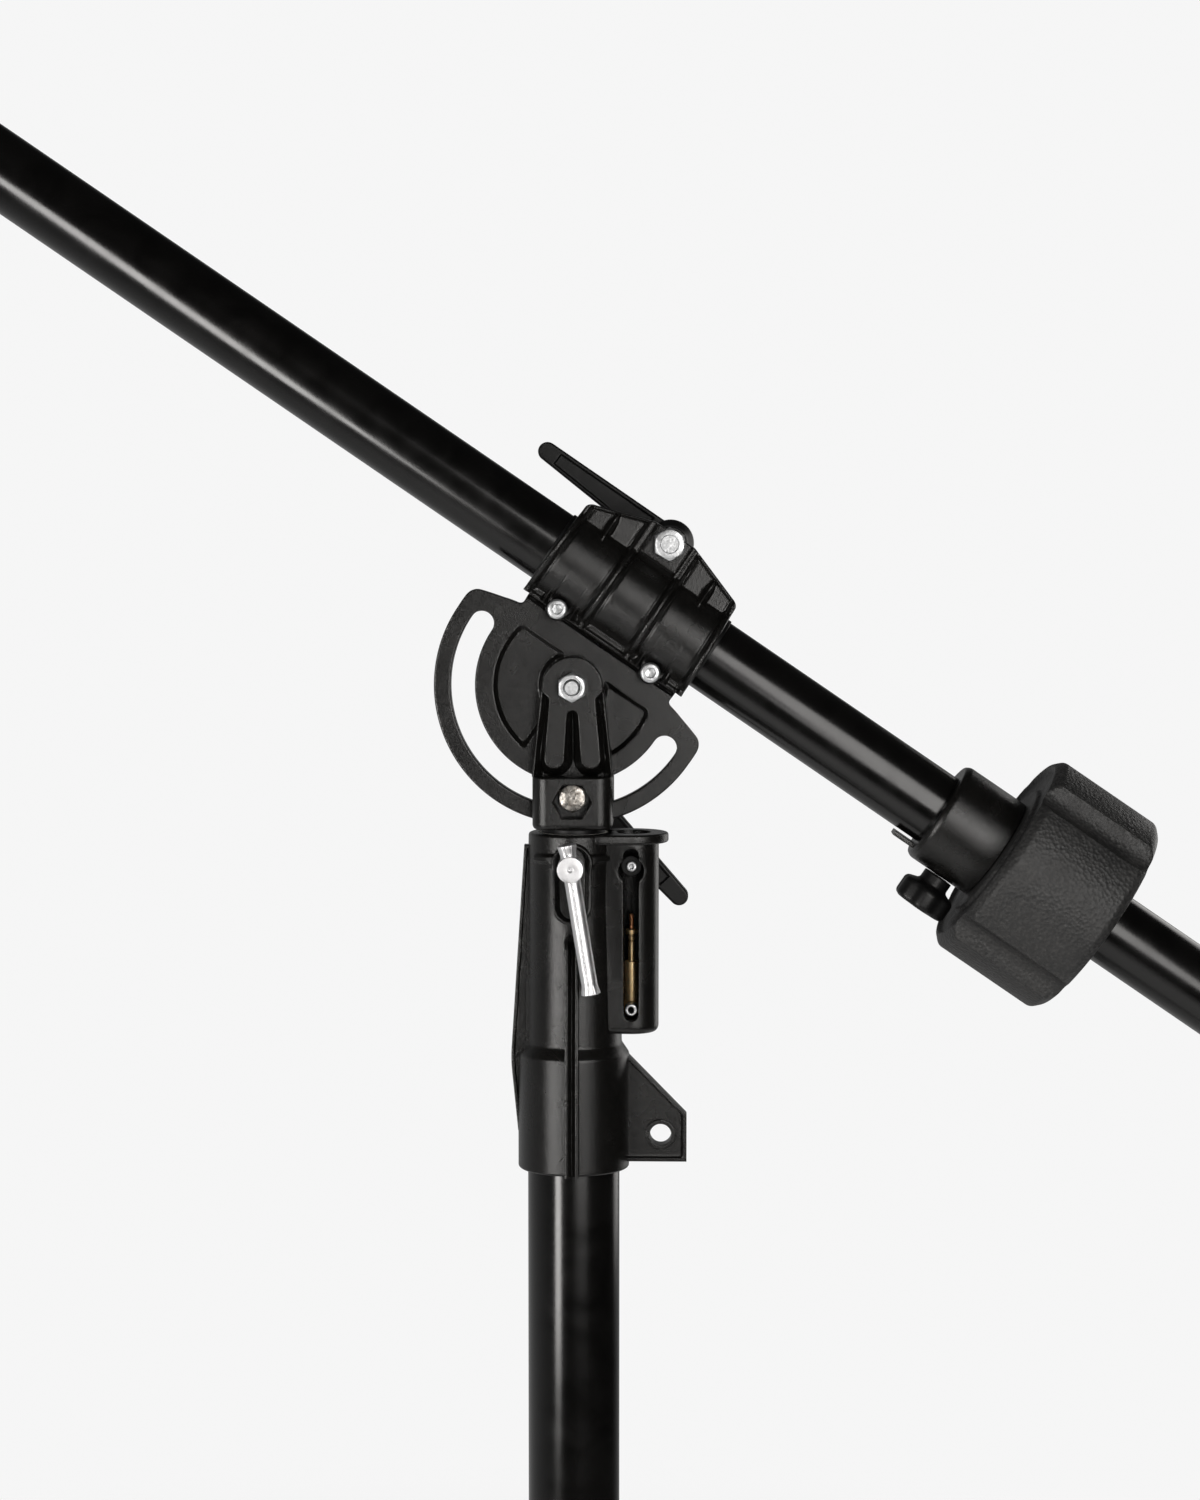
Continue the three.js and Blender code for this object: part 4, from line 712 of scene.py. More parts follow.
NYLON = Finish(
    "nylon", (0.56, 0.55, 0.51), (0.47, 0.46, 0.42), 0.5, 0.06, grain_scale=900.0, grain_strength=0.15,
)
FINISH_OF_SLOT = {
    finish.slot: finish
    for finish in (CASTING, TUBE_BLACK, PLASTIC, ZINC, ALUMINIUM, BRASS, COPPER, IRON, RUBBER, NYLON)
}


def dress(piece: Piece, body: Body | str, finish: Finish, *stands_for: str) -> Piece:
    """Gives a piece its finish and its body, and hides the nodes that it stands for.

    Args:
        piece: the finished object.
        body: the body that it rides on.
        finish: its finish.
        stands_for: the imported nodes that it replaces.

    Returns:
        The piece.
    """
    ridden = body.value if isinstance(body, Body) else body
    piece.data.materials.clear()
    piece.data.materials.append(finish.material())
    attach(piece, ridden)
    for node in stands_for:
        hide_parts(node)
    log.info("%s rides on %s in %s", piece.name, ridden, finish.slot)
    return piece


# The boom and what it carries

@dataclass
class BoomTubes:
    """The boom tube, its telescoping inner tube and the liner in the clamp."""

    outer_radius: float = 24.15
    bore: float = 21.55
    front: float = -880.0
    rear: float = 640.0
    inner_radius: float = 21.15
    inner_bore: float = 19.15
    inner_front: float = -950.0
    inner_length: float = 700.0
    liner_radius: float = 25.25
    liner_bore: float = 24.45
    liner_half: float = 61.5
    lip: float = 0.6

    def tube(self, name: str, outer: float, bore: float, start: float, end: float) -> Piece:
        """One tube on the boom's axis.

        Args:
            name: the piece's name.
            outer: its outside radius.
            bore: its inside radius.
            start: where it starts along the boom.
            end: where it ends.

        Returns:
            The tube, its ends a little rounded.
        """
        profile = filleted([
            (bore, start, 0), (outer, start, self.lip), (outer, end, self.lip), (bore, end, 0),
            (bore, start, 0),
        ])
        return turned(name, profile, TUBE, FINE_STEPS)

    def build(self) -> None:
        """Builds the three tubes."""
        outer = self.tube("boom_tube_skin", self.outer_radius, self.bore, self.front, self.rear)
        dress(outer, Body.BOOM, TUBE_BLACK, "boom_tube")
        inner = self.tube(
            "inner_tube_skin", self.inner_radius, self.inner_bore, self.inner_front,
            self.inner_front + self.inner_length)
        dress(inner, Body.INNER_BOOM, ALUMINIUM, "boom_inner_tube")
        liner = self.tube(
            "clamp_liner_skin", self.liner_radius, self.liner_bore, -self.liner_half, self.liner_half)
        dress(liner, Body.LINER, PLASTIC, "clamp_liner")


@dataclass
class Knob:
    """A lobed plastic knob on a stem, hanging under the boom."""

    name: str
    node: str
    body: Body
    place: float
    pressed_radius: float
    seat_radius: float
    radius: float = 19.0
    length: float = 24.0
    neck_radius: float = 10.0
    neck_length: float = 7.0
    stem_radius: float = 4.0
    lobe_depth: float = 2.0
    lobes: int = 6
    stem_shown: float = 0.25

    def lobed(self, radius: Array, height: Array, angle: Array) -> Array:
        """Draws the grip in between its lobes: the radius falls by the lobe depth times a raised cosine."""
        dip = (0.5 + 0.5 * np.cos(self.lobes * angle)) ** 2 * self.lobe_depth
        return radius - dip * ramp(radius, self.neck_radius, self.radius)

    def build(self) -> None:
        """Builds the knob."""
        stem = self.seat_radius - self.pressed_radius
        top = stem + self.length
        foot = stem - self.stem_shown
        profile = filleted([
            (0, foot, 0), (self.stem_radius, foot, 0), (self.stem_radius, stem, 0),
            (self.neck_radius, stem, 0.6), (self.neck_radius, stem + self.neck_length, 2),
            (self.radius, stem + self.neck_length + 3, 3), (self.radius, top, 4),
            (self.radius * 0.55, top, 1), (self.radius * 0.5, top - 0.8, 1), (0, top - 0.8, 0),
        ], steps=8)
        hang = BOOM.moved(x=self.place, z=BOOM_HEIGHT - self.pressed_radius - CLEARANCE)
        piece = turned(self.name, profile, hang.standing(-BOOM.z, BOOM.x), FINE_STEPS, shape=self.lobed)
        dress(piece, self.body, PLASTIC, self.node)


@dataclass
class BoomFront:
    """The lock collar at the boom's mouth, the tip fitting and its spigot."""

    mouth: float = -880.0
    collar_radius: float = 31.0
    waist: float = 3.0
    rear_length: float = 34.0
    front_length: float = 36.0
    outer_bore: float = 24.45
    inner_bore: float = 21.45
    boss_radius: float = 10.0
    boss_place: float = -898.0
    boss_bore: float = 4.3
    boss_lift: float = 1.2
    tip_face: float = -950.3
    plug_radius: float = 18.85
    plug_length: float = 40.0
    flange_radius: float = 24.0
    flange_length: float = 8.0
    nose_radius: float = 17.0
    nose_length: float = 34.0
    spigot_radius: float = 8.0
    spigot_length: float = 45.0
    spigot_seat: float = 28.0
    groove_depth: float = 1.6
    groove_length: float = 12.0
    groove_setback: float = 10.0

    def collar(self) -> Piece:
        """The collar.

        Returns:
            Two ridges round a waist, with a stepped bore.
        """
        front, rear = self.mouth - self.front_length, self.mouth + self.rear_length
        full, low = self.collar_radius, self.collar_radius - self.waist
        profile = filleted([
            (self.inner_bore, front, 0.5), (low, front, 1), (full, front + 4, 1.5), (full, front + 10, 1.5),
            (low + 0.6, front + 13, 1.5), (low + 0.6, self.mouth + 14, 1.5), (full, self.mouth + 17, 1.5),
            (full, rear - 4, 2), (low, rear, 1), (self.outer_bore, rear, 0.5),
            (self.outer_bore, self.mouth - CLEARANCE, 0), (self.inner_bore, self.mouth - CLEARANCE, 0),
            (self.inner_bore, front, 0),
        ])
        return turned("boom_collar_skin", profile, TUBE, FINE_STEPS)

    def boss(self) -> Piece:
        """The boss that the collar's knob screws into.

        Returns:
            A round boss with a bore.
        """
        foot, reach = self.inner_bore + self.boss_lift, self.collar_radius + self.waist
        profile = filleted([
            (self.boss_bore, foot, 0), (self.boss_radius + 1.5, foot, 0),
            (self.boss_radius, self.collar_radius, 1), (self.boss_radius, reach, 1),
            (self.boss_bore, reach, 0.3), (self.boss_bore, foot, 0),
        ])
        hang = BOOM.moved(x=self.boss_place, z=BOOM_HEIGHT).standing(-BOOM.z, BOOM.x)
        return turned("boom_collar_boss", profile, hang)

    def build(self) -> None:
        """Builds the collar, the tip fitting and the spigot."""
        dress(self.collar(), Body.BOOM, CASTING, "boom_collar")
        dress(self.boss(), Body.BOOM, CASTING)
        face = self.tip_face
        flange = face - self.flange_length
        nose = flange - self.nose_length
        profile = filleted([
            (0, face + self.plug_length, 0), (self.plug_radius, face + self.plug_length, 1),
            (self.plug_radius, face, 0), (self.flange_radius, face, 0.8), (self.flange_radius, flange, 1.5),
            (self.nose_radius + 0.5, flange, 1.5), (self.nose_radius, nose, 2),
            (self.spigot_radius + CLEARANCE, nose, 0.4),
            (self.spigot_radius + CLEARANCE, nose + self.spigot_seat, 0), (0, nose + self.spigot_seat, 0),
        ])
        dress(turned("tip_fitting_skin", profile, TUBE, FINE_STEPS), Body.INNER_BOOM, CASTING, "tip_fitting")
        tail = nose + self.spigot_seat - CLEARANCE
        end = nose - self.spigot_length
        groove = end + self.groove_setback
        waist = self.spigot_radius - self.groove_depth
        profile = filleted([
            (0, end, 0), (self.spigot_radius, end, 1.2), (self.spigot_radius, groove, 0.5),
            (waist, groove + self.groove_depth, 1),
            (waist, groove + self.groove_length - self.groove_depth, 1),
            (self.spigot_radius, groove + self.groove_length, 0.5), (self.spigot_radius, tail, 0.5),
            (0, tail, 0),
        ])
        dress(turned("tip_spigot_skin", profile, TUBE), Body.INNER_BOOM, ZINC, "tip_spigot")


@dataclass
class BoomRear:
    """The end cap, the counterweight and the carriage that it sits on."""

    rear: float = 640.3
    plug_radius: float = 21.25
    plug_length: float = 25.0
    cap_radius: float = 25.4
    cap_length: float = 8.4
    carriage_start: float = 240.0
    carriage_length: float = 46.0
    carriage_radius: float = 34.85
    sleeve_radius: float = 30.0
    bore: float = 24.45
    weight_radius: float = 72.0
    weight_length: float = 80.0
    weight_bore: float = 30.3
    chamfer: float = 5.0
    recess: float = 46.0
    recess_depth: float = 2.5
    grip_radius: float = 11.0
    grip_reach: float = 75.7
    grips: int = 4
    tongue_length: float = 15.0
    tongue_bottom: float = 37.35
    tongue_thickness: float = 3.0
    tongue_width: float = 20.0

    def gripped(self, radius: Array, height: Array, angle: Array) -> Array:
        """Cuts the finger grips.

        Args:
            radius: the profile's radius at each point.
            height: each point's height; not used.
            angle: each point's angle.

        Returns:
            The radius, near each grip where the ray meets the grip's circle.
        """
        sector = TURN / self.grips
        turn = np.mod(angle, sector) - sector / 2
        inside = np.maximum(self.grip_radius ** 2 - (self.grip_reach * np.sin(turn)) ** 2, 0.0)
        rim = self.grip_reach * np.cos(turn) - np.sqrt(inside)
        return np.where(inside > 0, np.minimum(radius, rim), radius)

    def build(self) -> None:
        """Builds the cap, the carriage with its tongue and the weight."""
        profile = filleted([
            (0, self.rear - self.plug_length, 0), (self.plug_radius, self.rear - self.plug_length, 1),
            (self.plug_radius, self.rear, 0), (self.cap_radius, self.rear, 0.8),
            (self.cap_radius, self.rear + self.cap_length, 3), (0, self.rear + self.cap_length, 0),
        ])
        dress(turned("boom_end_cap_skin", profile, TUBE, FINE_STEPS), Body.BOOM, PLASTIC, "boom_end_cap")
        start, end = self.carriage_start, self.carriage_start + self.carriage_length
        near = end + CLEARANCE
        far = near + self.weight_length
        profile = filleted([
            (self.bore, start, 0.6), (self.carriage_radius - 2, start, 1),
            (self.carriage_radius, start + 3, 2), (self.carriage_radius, end, 1),
            (self.sleeve_radius, end, 0.3), (self.sleeve_radius, far, 0.6), (self.bore, far, 0.6),
            (self.bore, start, 0),
        ])
        dress(turned("weight_collar_skin", profile, TUBE, FINE_STEPS), Body.WEIGHT, CASTING, "weight_collar")
        low, high = self.tongue_bottom, self.tongue_bottom + self.tongue_thickness
        tongue = np.array([
            (start - self.tongue_length, low), (start + 2, low), (start + 2, high),
            (start - self.tongue_length, high),
        ])
        half = self.tongue_width / 2
        piece = extruded("weight_tongue", tongue, -half, half, 0.6, BOOM)
        dress(piece, Body.WEIGHT, CASTING, "weight_collar")
        full, low = self.weight_radius, self.weight_radius - self.chamfer
        steps = np.linspace(near + self.chamfer, far - self.chamfer, 3)
        hub, first, last = self.recess, near + self.recess_depth, far - self.recess_depth
        profile = filleted([
            (self.weight_bore, near, 0.6), (hub, near, 1.2), (hub + 2, first, 1.2), (low - 4, first, 1.2),
            (low - 2, near, 1), (low, near, 2), (full, steps[0], 2), (full, steps[1], 0), (full, steps[2], 2),
            (low, far, 2), (low - 2, far, 1), (low - 4, last, 1.2), (hub + 2, last, 1.2), (hub, far, 1.2),
            (self.weight_bore, far, 0.6), (self.weight_bore, near, 0),
        ])
        weight = turned("counterweight_skin", profile, TUBE, 192, shape=self.gripped)
        dress(weight, Body.WEIGHT, IRON, "counterweight")


# The clamp

@dataclass
class ClampHalf:
    """One ribbed half of the boom clamp, a height field over its gabled outline."""

    name: str
    node: str
    side: float
    half_length: float = 61.5
    taper: float = 3.5
    bottom: float = 34.0
    shoulder: float = 104.0
    top: float = 117.5
    apex_half: float = 16.0
    shell_radius: float = 30.0
    flange_depth: float = 14.0
    bore: float = 25.55
    split: float = 1.0
    plate_room: float = 5.3
    plate_top: float = 40.9
    rib_radius: float = 34.0
    rib_depth: float = 18.0
    rib_half: float = 2.1
    rib_round: float = 1.6
    rib_wall: float = 2.4
    foot_width: float = 3.0
    foot_depth: float = 2.6
    draft: float = 0.06
    rib_shares: tuple[float, ...] = (-0.974, -0.293, 0.293, 0.974)
    rim_width: float = 2.0
    rim_depth: float = 15.5
    blade_place: float = 37.5
    blade_bottom: float = 84.0
    blade_top: float = 109.0
    blade_half: float = 3.0
    blade_depth: float = 21.0
    barb_places: tuple[float, ...] = (26.0, 46.5)
    barb_top: float = 50.0
    barb_half: float = 2.2
    boss_half: float = 13.5
    boss_wall: float = 2.5
    boss_bottom: float = 96.5
    boss_depth: float = 16.5
    boss_wall_depth: float = 20.0
    screw_place: float = 36.2
    screw_height: float = 35.8
    ear_radius: float = 7.8
    end_round: float = 3.0
    ridge_power: float = 0.75
    blur: float = 0.9
    edge: float = 1.1
    columns: int = 230
    rows: int = 150

    def plan(self) -> tuple[Array, Array, Array, Array, Array]:
        """The outline's grid.

        Returns:
            Each point's u and v, its column share from -1 to 1, and the heights of the outline's bottom and
            top there.
        """
        share = paced(self.columns, 2 * self.half_length, self.edge)[None, :] * 2 - 1
        place = share * self.half_length
        slope = (self.top - self.shoulder) / (self.half_length - self.taper - self.apex_half)
        top = self.top - slope * np.maximum(np.abs(place) - self.apex_half, 0)
        top = top - edge_round(self.half_length - np.abs(place), self.end_round)
        ear = np.sqrt(np.maximum(self.ear_radius ** 2 - (np.abs(place) - self.screw_place) ** 2, 0))
        low = np.minimum(self.bottom, np.where(ear > 0, self.screw_height - ear, self.bottom))
        rise = paced(self.rows, self.top - self.bottom, self.edge)[:, None]
        v = low + rise * (top - low)
        climb = np.clip((v - self.bottom) / (self.shoulder - self.bottom), 0, 1)
        half = self.half_length - self.taper * climb
        u = share * half
        return u, v, *(np.broadcast_to(part, u.shape) for part in (share, low, top))

    def ridge(self, across: Array, half: Array, base: Array, crest: float) -> Array:
        """A sharp-backed ridge.

        Args:
            across: each point's distance from the ridge's line.
            half: half the ridge's width there.
            base: the height that it stands on.
            crest: the height of its back.

        Returns:
            The height: it falls from the crest to the base by a power of the distance.
        """
        share = np.clip(1 - np.abs(across) / np.maximum(half, 1e-6), 0, 1)
        return base + np.maximum(crest - base, 0) * share ** self.ridge_power

    def depths(self) -> tuple[Array, Array, Array]:
        """The half's height fields.

        Returns:
            The plan, and how far the front and the back stand from the split at each of its points.
        """
        u, v, share, low, top = self.plan()
        rise = v - BOOM_HEIGHT
        flange_start = math.sqrt(self.shell_radius ** 2 - self.flange_depth ** 2)
        flange = self.flange_depth - self.draft * np.maximum(np.abs(rise) - flange_start, 0)
        depth = np.maximum(np.sqrt(np.maximum(self.shell_radius ** 2 - rise ** 2, 0)), flange)
        distance = np.minimum.reduce([(1 - np.abs(share)) * self.half_length, v - low, (top - v) * 0.95])
        depth = np.where(distance < self.rim_width, np.maximum(depth, self.rim_depth), depth)
        middle = (self.blade_bottom + self.blade_top) / 2
        reach = (self.blade_top - self.blade_bottom) / 2
        blade_half = self.blade_half * np.clip(1 - ((v - middle) / reach) ** 2, 0, 1)
        depth = self.ridge(np.abs(u) - self.blade_place, blade_half, depth, self.blade_depth)
        barb_half = self.barb_half * np.clip((self.barb_top - v) / (self.barb_top - self.bottom), 0, 1)
        for place in self.barb_places:
            depth = self.ridge(np.abs(u) - place, barb_half, depth, self.blade_depth)
        boss = (np.abs(u) < self.boss_half) & (v > self.boss_bottom)
        off = np.maximum(np.abs(u) - self.boss_half, self.boss_bottom - v)
        depth = depth - self.foot_depth * np.clip(1 - np.maximum(off, 0) / self.foot_width, 0, 1)
        depth = np.where(boss, self.boss_depth, depth)
        beside = np.abs(np.abs(u) - self.boss_half - self.boss_wall / 2)
        wall = (beside < self.boss_wall / 2) & (v > self.boss_bottom - 2)
        depth = np.where(wall, np.maximum(depth, self.boss_wall_depth), depth)
        seat = np.hypot(np.abs(u) - self.screw_place, v - self.screw_height)
        depth = np.where(seat < self.ear_radius - 0.3, self.flange_depth, depth)
        rib = np.maximum(np.sqrt(np.maximum(self.rib_radius ** 2 - rise ** 2, 0)), self.rib_depth)
        for place in self.rib_shares:
            away = np.abs(share - place) * self.half_length - self.rib_half
            clear = (seat > self.ear_radius) | (abs(place) < 0.5)
            foot = self.foot_depth * np.clip(1 - np.maximum(away, 0) / self.foot_width, 0, 1)
            crest = rib - edge_round(-away, self.rib_round) - self.rib_wall * np.maximum(away, 0)
            depth = np.where(clear, np.maximum(depth - foot, crest), depth)
        depth = blurred(depth, self.blur) - edge_round(distance, self.edge)
        back = np.sqrt(np.maximum(self.bore ** 2 - rise ** 2, 0))
        back = np.maximum(back, np.where(v < self.plate_top, self.plate_room, self.split))
        return np.stack([u, v], axis=-1), depth, back

    def build(self) -> None:
        """Builds the half."""
        plan, front, back = self.depths()
        piece = relief(self.name, plan, front, back, BOOM, self.side)
        dress(piece, Body.CLAMP, CASTING, self.node)


@dataclass
class HexFastener:
    """A hex head or nut with a chamfered top and what shows in its middle."""

    name: str
    node: str
    body: Body
    axes: Axes
    flats: float
    seat: float
    length: float
    shank_radius: float
    shank_end: float
    turn_degrees: float = 0.0
    dimple_radius: float = 4.0
    dimple_depth: float = 0.5
    is_nut: bool = False
    finish: Finish = ZINC

    def build(self) -> None:
        """Builds the head: rings whose radius is the smaller of the hexagon's and the chamfer cone's."""
        angle = np.linspace(0, TURN, SMALL_STEPS * 3, endpoint=False)
        hexed = hexagon(self.flats, angle, math.radians(self.turn_degrees))
        top = self.seat + self.length
        drops = np.linspace(0.0, 2.4, 9)
        face = self.flats / 2 * 0.93
        chamfer = [(np.minimum(hexed, face + drop * 1.75), top - drop) for drop in drops]
        foot = [(np.minimum(hexed, self.flats / 2 + 0.5), self.seat), (hexed - 0.15, self.seat + 0.4)]
        if self.is_nut:
            bore = self.shank_radius + CLEARANCE
            rows = [
                (bore, self.seat), *foot, *chamfer[::-1], (face * 0.82, top), (face * 0.8, top + 0.25),
                (face * 0.7, top + 0.25), (bore + 0.7, top - 0.1), (bore, top - 0.9), (bore, self.seat),
            ]
        else:
            rows = [
                (0.0, self.shank_end), (self.shank_radius - 0.8, self.shank_end),
                (self.shank_radius, self.shank_end + 0.8), (self.shank_radius, self.seat), *foot,
                *chamfer[::-1],
                (self.dimple_radius + 0.5, top), (self.dimple_radius, top - self.dimple_depth),
                (0.0, top - self.dimple_depth),
            ]
        piece = ring_rows(self.name, rows, self.axes, steps=SMALL_STEPS * 3)
        dress(piece, self.body, self.finish, self.node)


@dataclass
class SocketScrew:
    """A cap screw with a knurled head and a hexagonal socket."""

    name: str
    node: str
    axes: Axes
    seat: float = 14.3
    head_radius: float = 6.5
    head_length: float = 8.0
    socket_flats: float = 6.0
    socket_depth: float = 4.5
    shank_radius: float = 3.9
    shank_end: float = -23.3

    def build(self) -> None:
        """Builds the screw from its shank's end to the socket's floor."""
        angle = np.linspace(0, TURN, SMALL_STEPS * 3, endpoint=False)
        hexed = hexagon(self.socket_flats, angle)
        knurled = self.head_radius - 0.12 * (0.5 + 0.5 * np.cos(36 * angle))
        top = self.seat + self.head_length
        rows = [
            (0.0, self.shank_end), (self.shank_radius - 0.6, self.shank_end),
            (self.shank_radius, self.shank_end + 0.6), (self.shank_radius, self.seat),
            (self.head_radius - 0.5, self.seat), (knurled, self.seat + 0.5), (knurled, top - 1.6),
            (self.head_radius - 0.15, top - 1.4), (self.head_radius - 0.35, top - 0.7),
            (self.head_radius - 0.9, top - 0.2),
            (self.head_radius - 1.4, top), (hexed + 0.35, top), (hexed, top - 0.4),
            (hexed, top - self.socket_depth),
            (0.0, top - self.socket_depth - 0.6),
        ]
        piece = ring_rows(self.name, rows, self.axes, steps=SMALL_STEPS * 3)
        dress(piece, Body.CLAMP, ZINC, self.node)


@dataclass
class ClampingLever:
    """A plastic lever: a turned hub on the bolt and a channelled arm."""

    name: str
    node: str
    body: Body
    axes: Axes
    hub_length: float
    hub_radius: float = 15.5
    neck_radius: float = 11.0
    arm_length: float = 100.8
    tip_radius: float = 6.2
    root_half: float = 10.0
    thickness: float = 11.0
    recess_depth: float = 1.6
    rim: float = 2.2
    recess_start: float = 18.1
    recess_setback: float = 8.0
    edge: float = 1.6
    seat_depth: float = 12.3
    seat_radius: float = 6.3

    def arm(self) -> Piece:
        """The arm.

        Returns:
            A tapering plate with a round tip, and a channel sunk in the face that looks at the clamp.
        """
        reach = self.arm_length + self.tip_radius
        steps = 1 - (1 - paced(150, reach, 3.0)) ** 1.25
        along = np.unique(np.concatenate([steps, np.linspace(0, 1, 120)]))[:, None] * reach
        taper = self.root_half + (self.tip_radius - self.root_half) * np.clip(along / self.arm_length, 0, 1)
        beyond = np.maximum(along - self.arm_length, 0)
        half = np.where(beyond > 0, np.sqrt(np.maximum(self.tip_radius ** 2 - beyond ** 2, 0)), taper)
        share = paced(52, 2 * self.root_half, self.edge)[None, :] * 2 - 1
        x = np.broadcast_to(along, (along.size, share.size))
        z = share * half
        distance = np.minimum((1 - np.abs(share)) * half, reach - x)
        channel = np.minimum(half - self.rim - np.abs(z), x - self.recess_start)
        channel = np.minimum(channel, self.arm_length - self.recess_setback - x)
        sunk = self.recess_depth * ramp(channel, -0.2, 1.2)
        near = self.hub_length - self.thickness + edge_round(distance, self.edge) + sunk
        far = self.hub_length - edge_round(distance, self.edge)
        return relief(f"{self.name}_arm", np.stack([x, z], axis=-1), far, near, self.axes, side=1.0)

    def build(self) -> None:
        """Builds the arm and the hub."""
        armed = self.hub_length - self.thickness
        profile = filleted([
            (0, self.seat_depth, 0), (self.seat_radius, self.seat_depth, 0), (self.seat_radius, 0, 0.3),
            (self.neck_radius, 0, 1), (self.neck_radius + 0.4, armed * 0.55, 2),
            (self.hub_radius, armed - 0.5, 2), (self.hub_radius, self.hub_length, 1.6),
            (self.hub_radius - 4, self.hub_length, 1), (self.hub_radius - 5, self.hub_length - 1, 1),
            (0, self.hub_length - 1, 0),
        ])
        hub = turned(f"{self.name}_hub", profile, facing(self.axes, front=False), FINE_STEPS)
        dress(hub, self.body, PLASTIC, self.node)
        dress(self.arm(), self.body, PLASTIC, self.node)


@dataclass
class BoomClamp:
    """Both halves of the clamp, its screws, its bolt and its lever."""

    screw_place: float = 36.2
    screw_height: float = 35.8
    bolt_height: float = 110.9
    bolt_seat: float = 16.8
    lever_degrees: float = 177.7
    nut_flats: float = 13.0
    nut_length: float = 6.5
    nut_seat: float = 14.3

    def build(self) -> None:
        """Builds every piece of the clamp."""
        ClampHalf("clamp_front_casting", "clamp_front", -1.0).build()
        ClampHalf("clamp_rear_casting", "clamp_rear", 1.0).build()
        for sign, word in ((-1.0, "left"), (1.0, "right")):
            seat = BOOM.moved(x=sign * self.screw_place, z=self.screw_height)
            SocketScrew(f"cap_screw_{word}", f"flange_screw_{word}", facing(seat)).build()
            HexFastener(
                f"flange_nut_{word}_skin", f"flange_nut_{word}", Body.CLAMP, facing(seat, front=False),
                flats=self.nut_flats, seat=self.nut_seat, length=self.nut_length, shank_radius=3.9,
                shank_end=0.0, is_nut=True).build()
        bolt = BOOM.moved(z=self.bolt_height)
        HexFastener(
            "clamp_bolt_skin", "clamp_bolt", Body.CLAMP, facing(bolt), flats=19.0, seat=self.bolt_seat,
            length=7.5, shank_radius=6.0, shank_end=-28.8, turn_degrees=34.3, dimple_radius=5.6,
            dimple_depth=0.45).build()
        lever = bolt.moved(y=self.bolt_seat).turned(self.lever_degrees)
        ClampingLever("clamp_lever", "clamp_lever", Body.CLAMP_LEVER, lever, hub_length=30.0).build()


# The tilt plate and the yoke

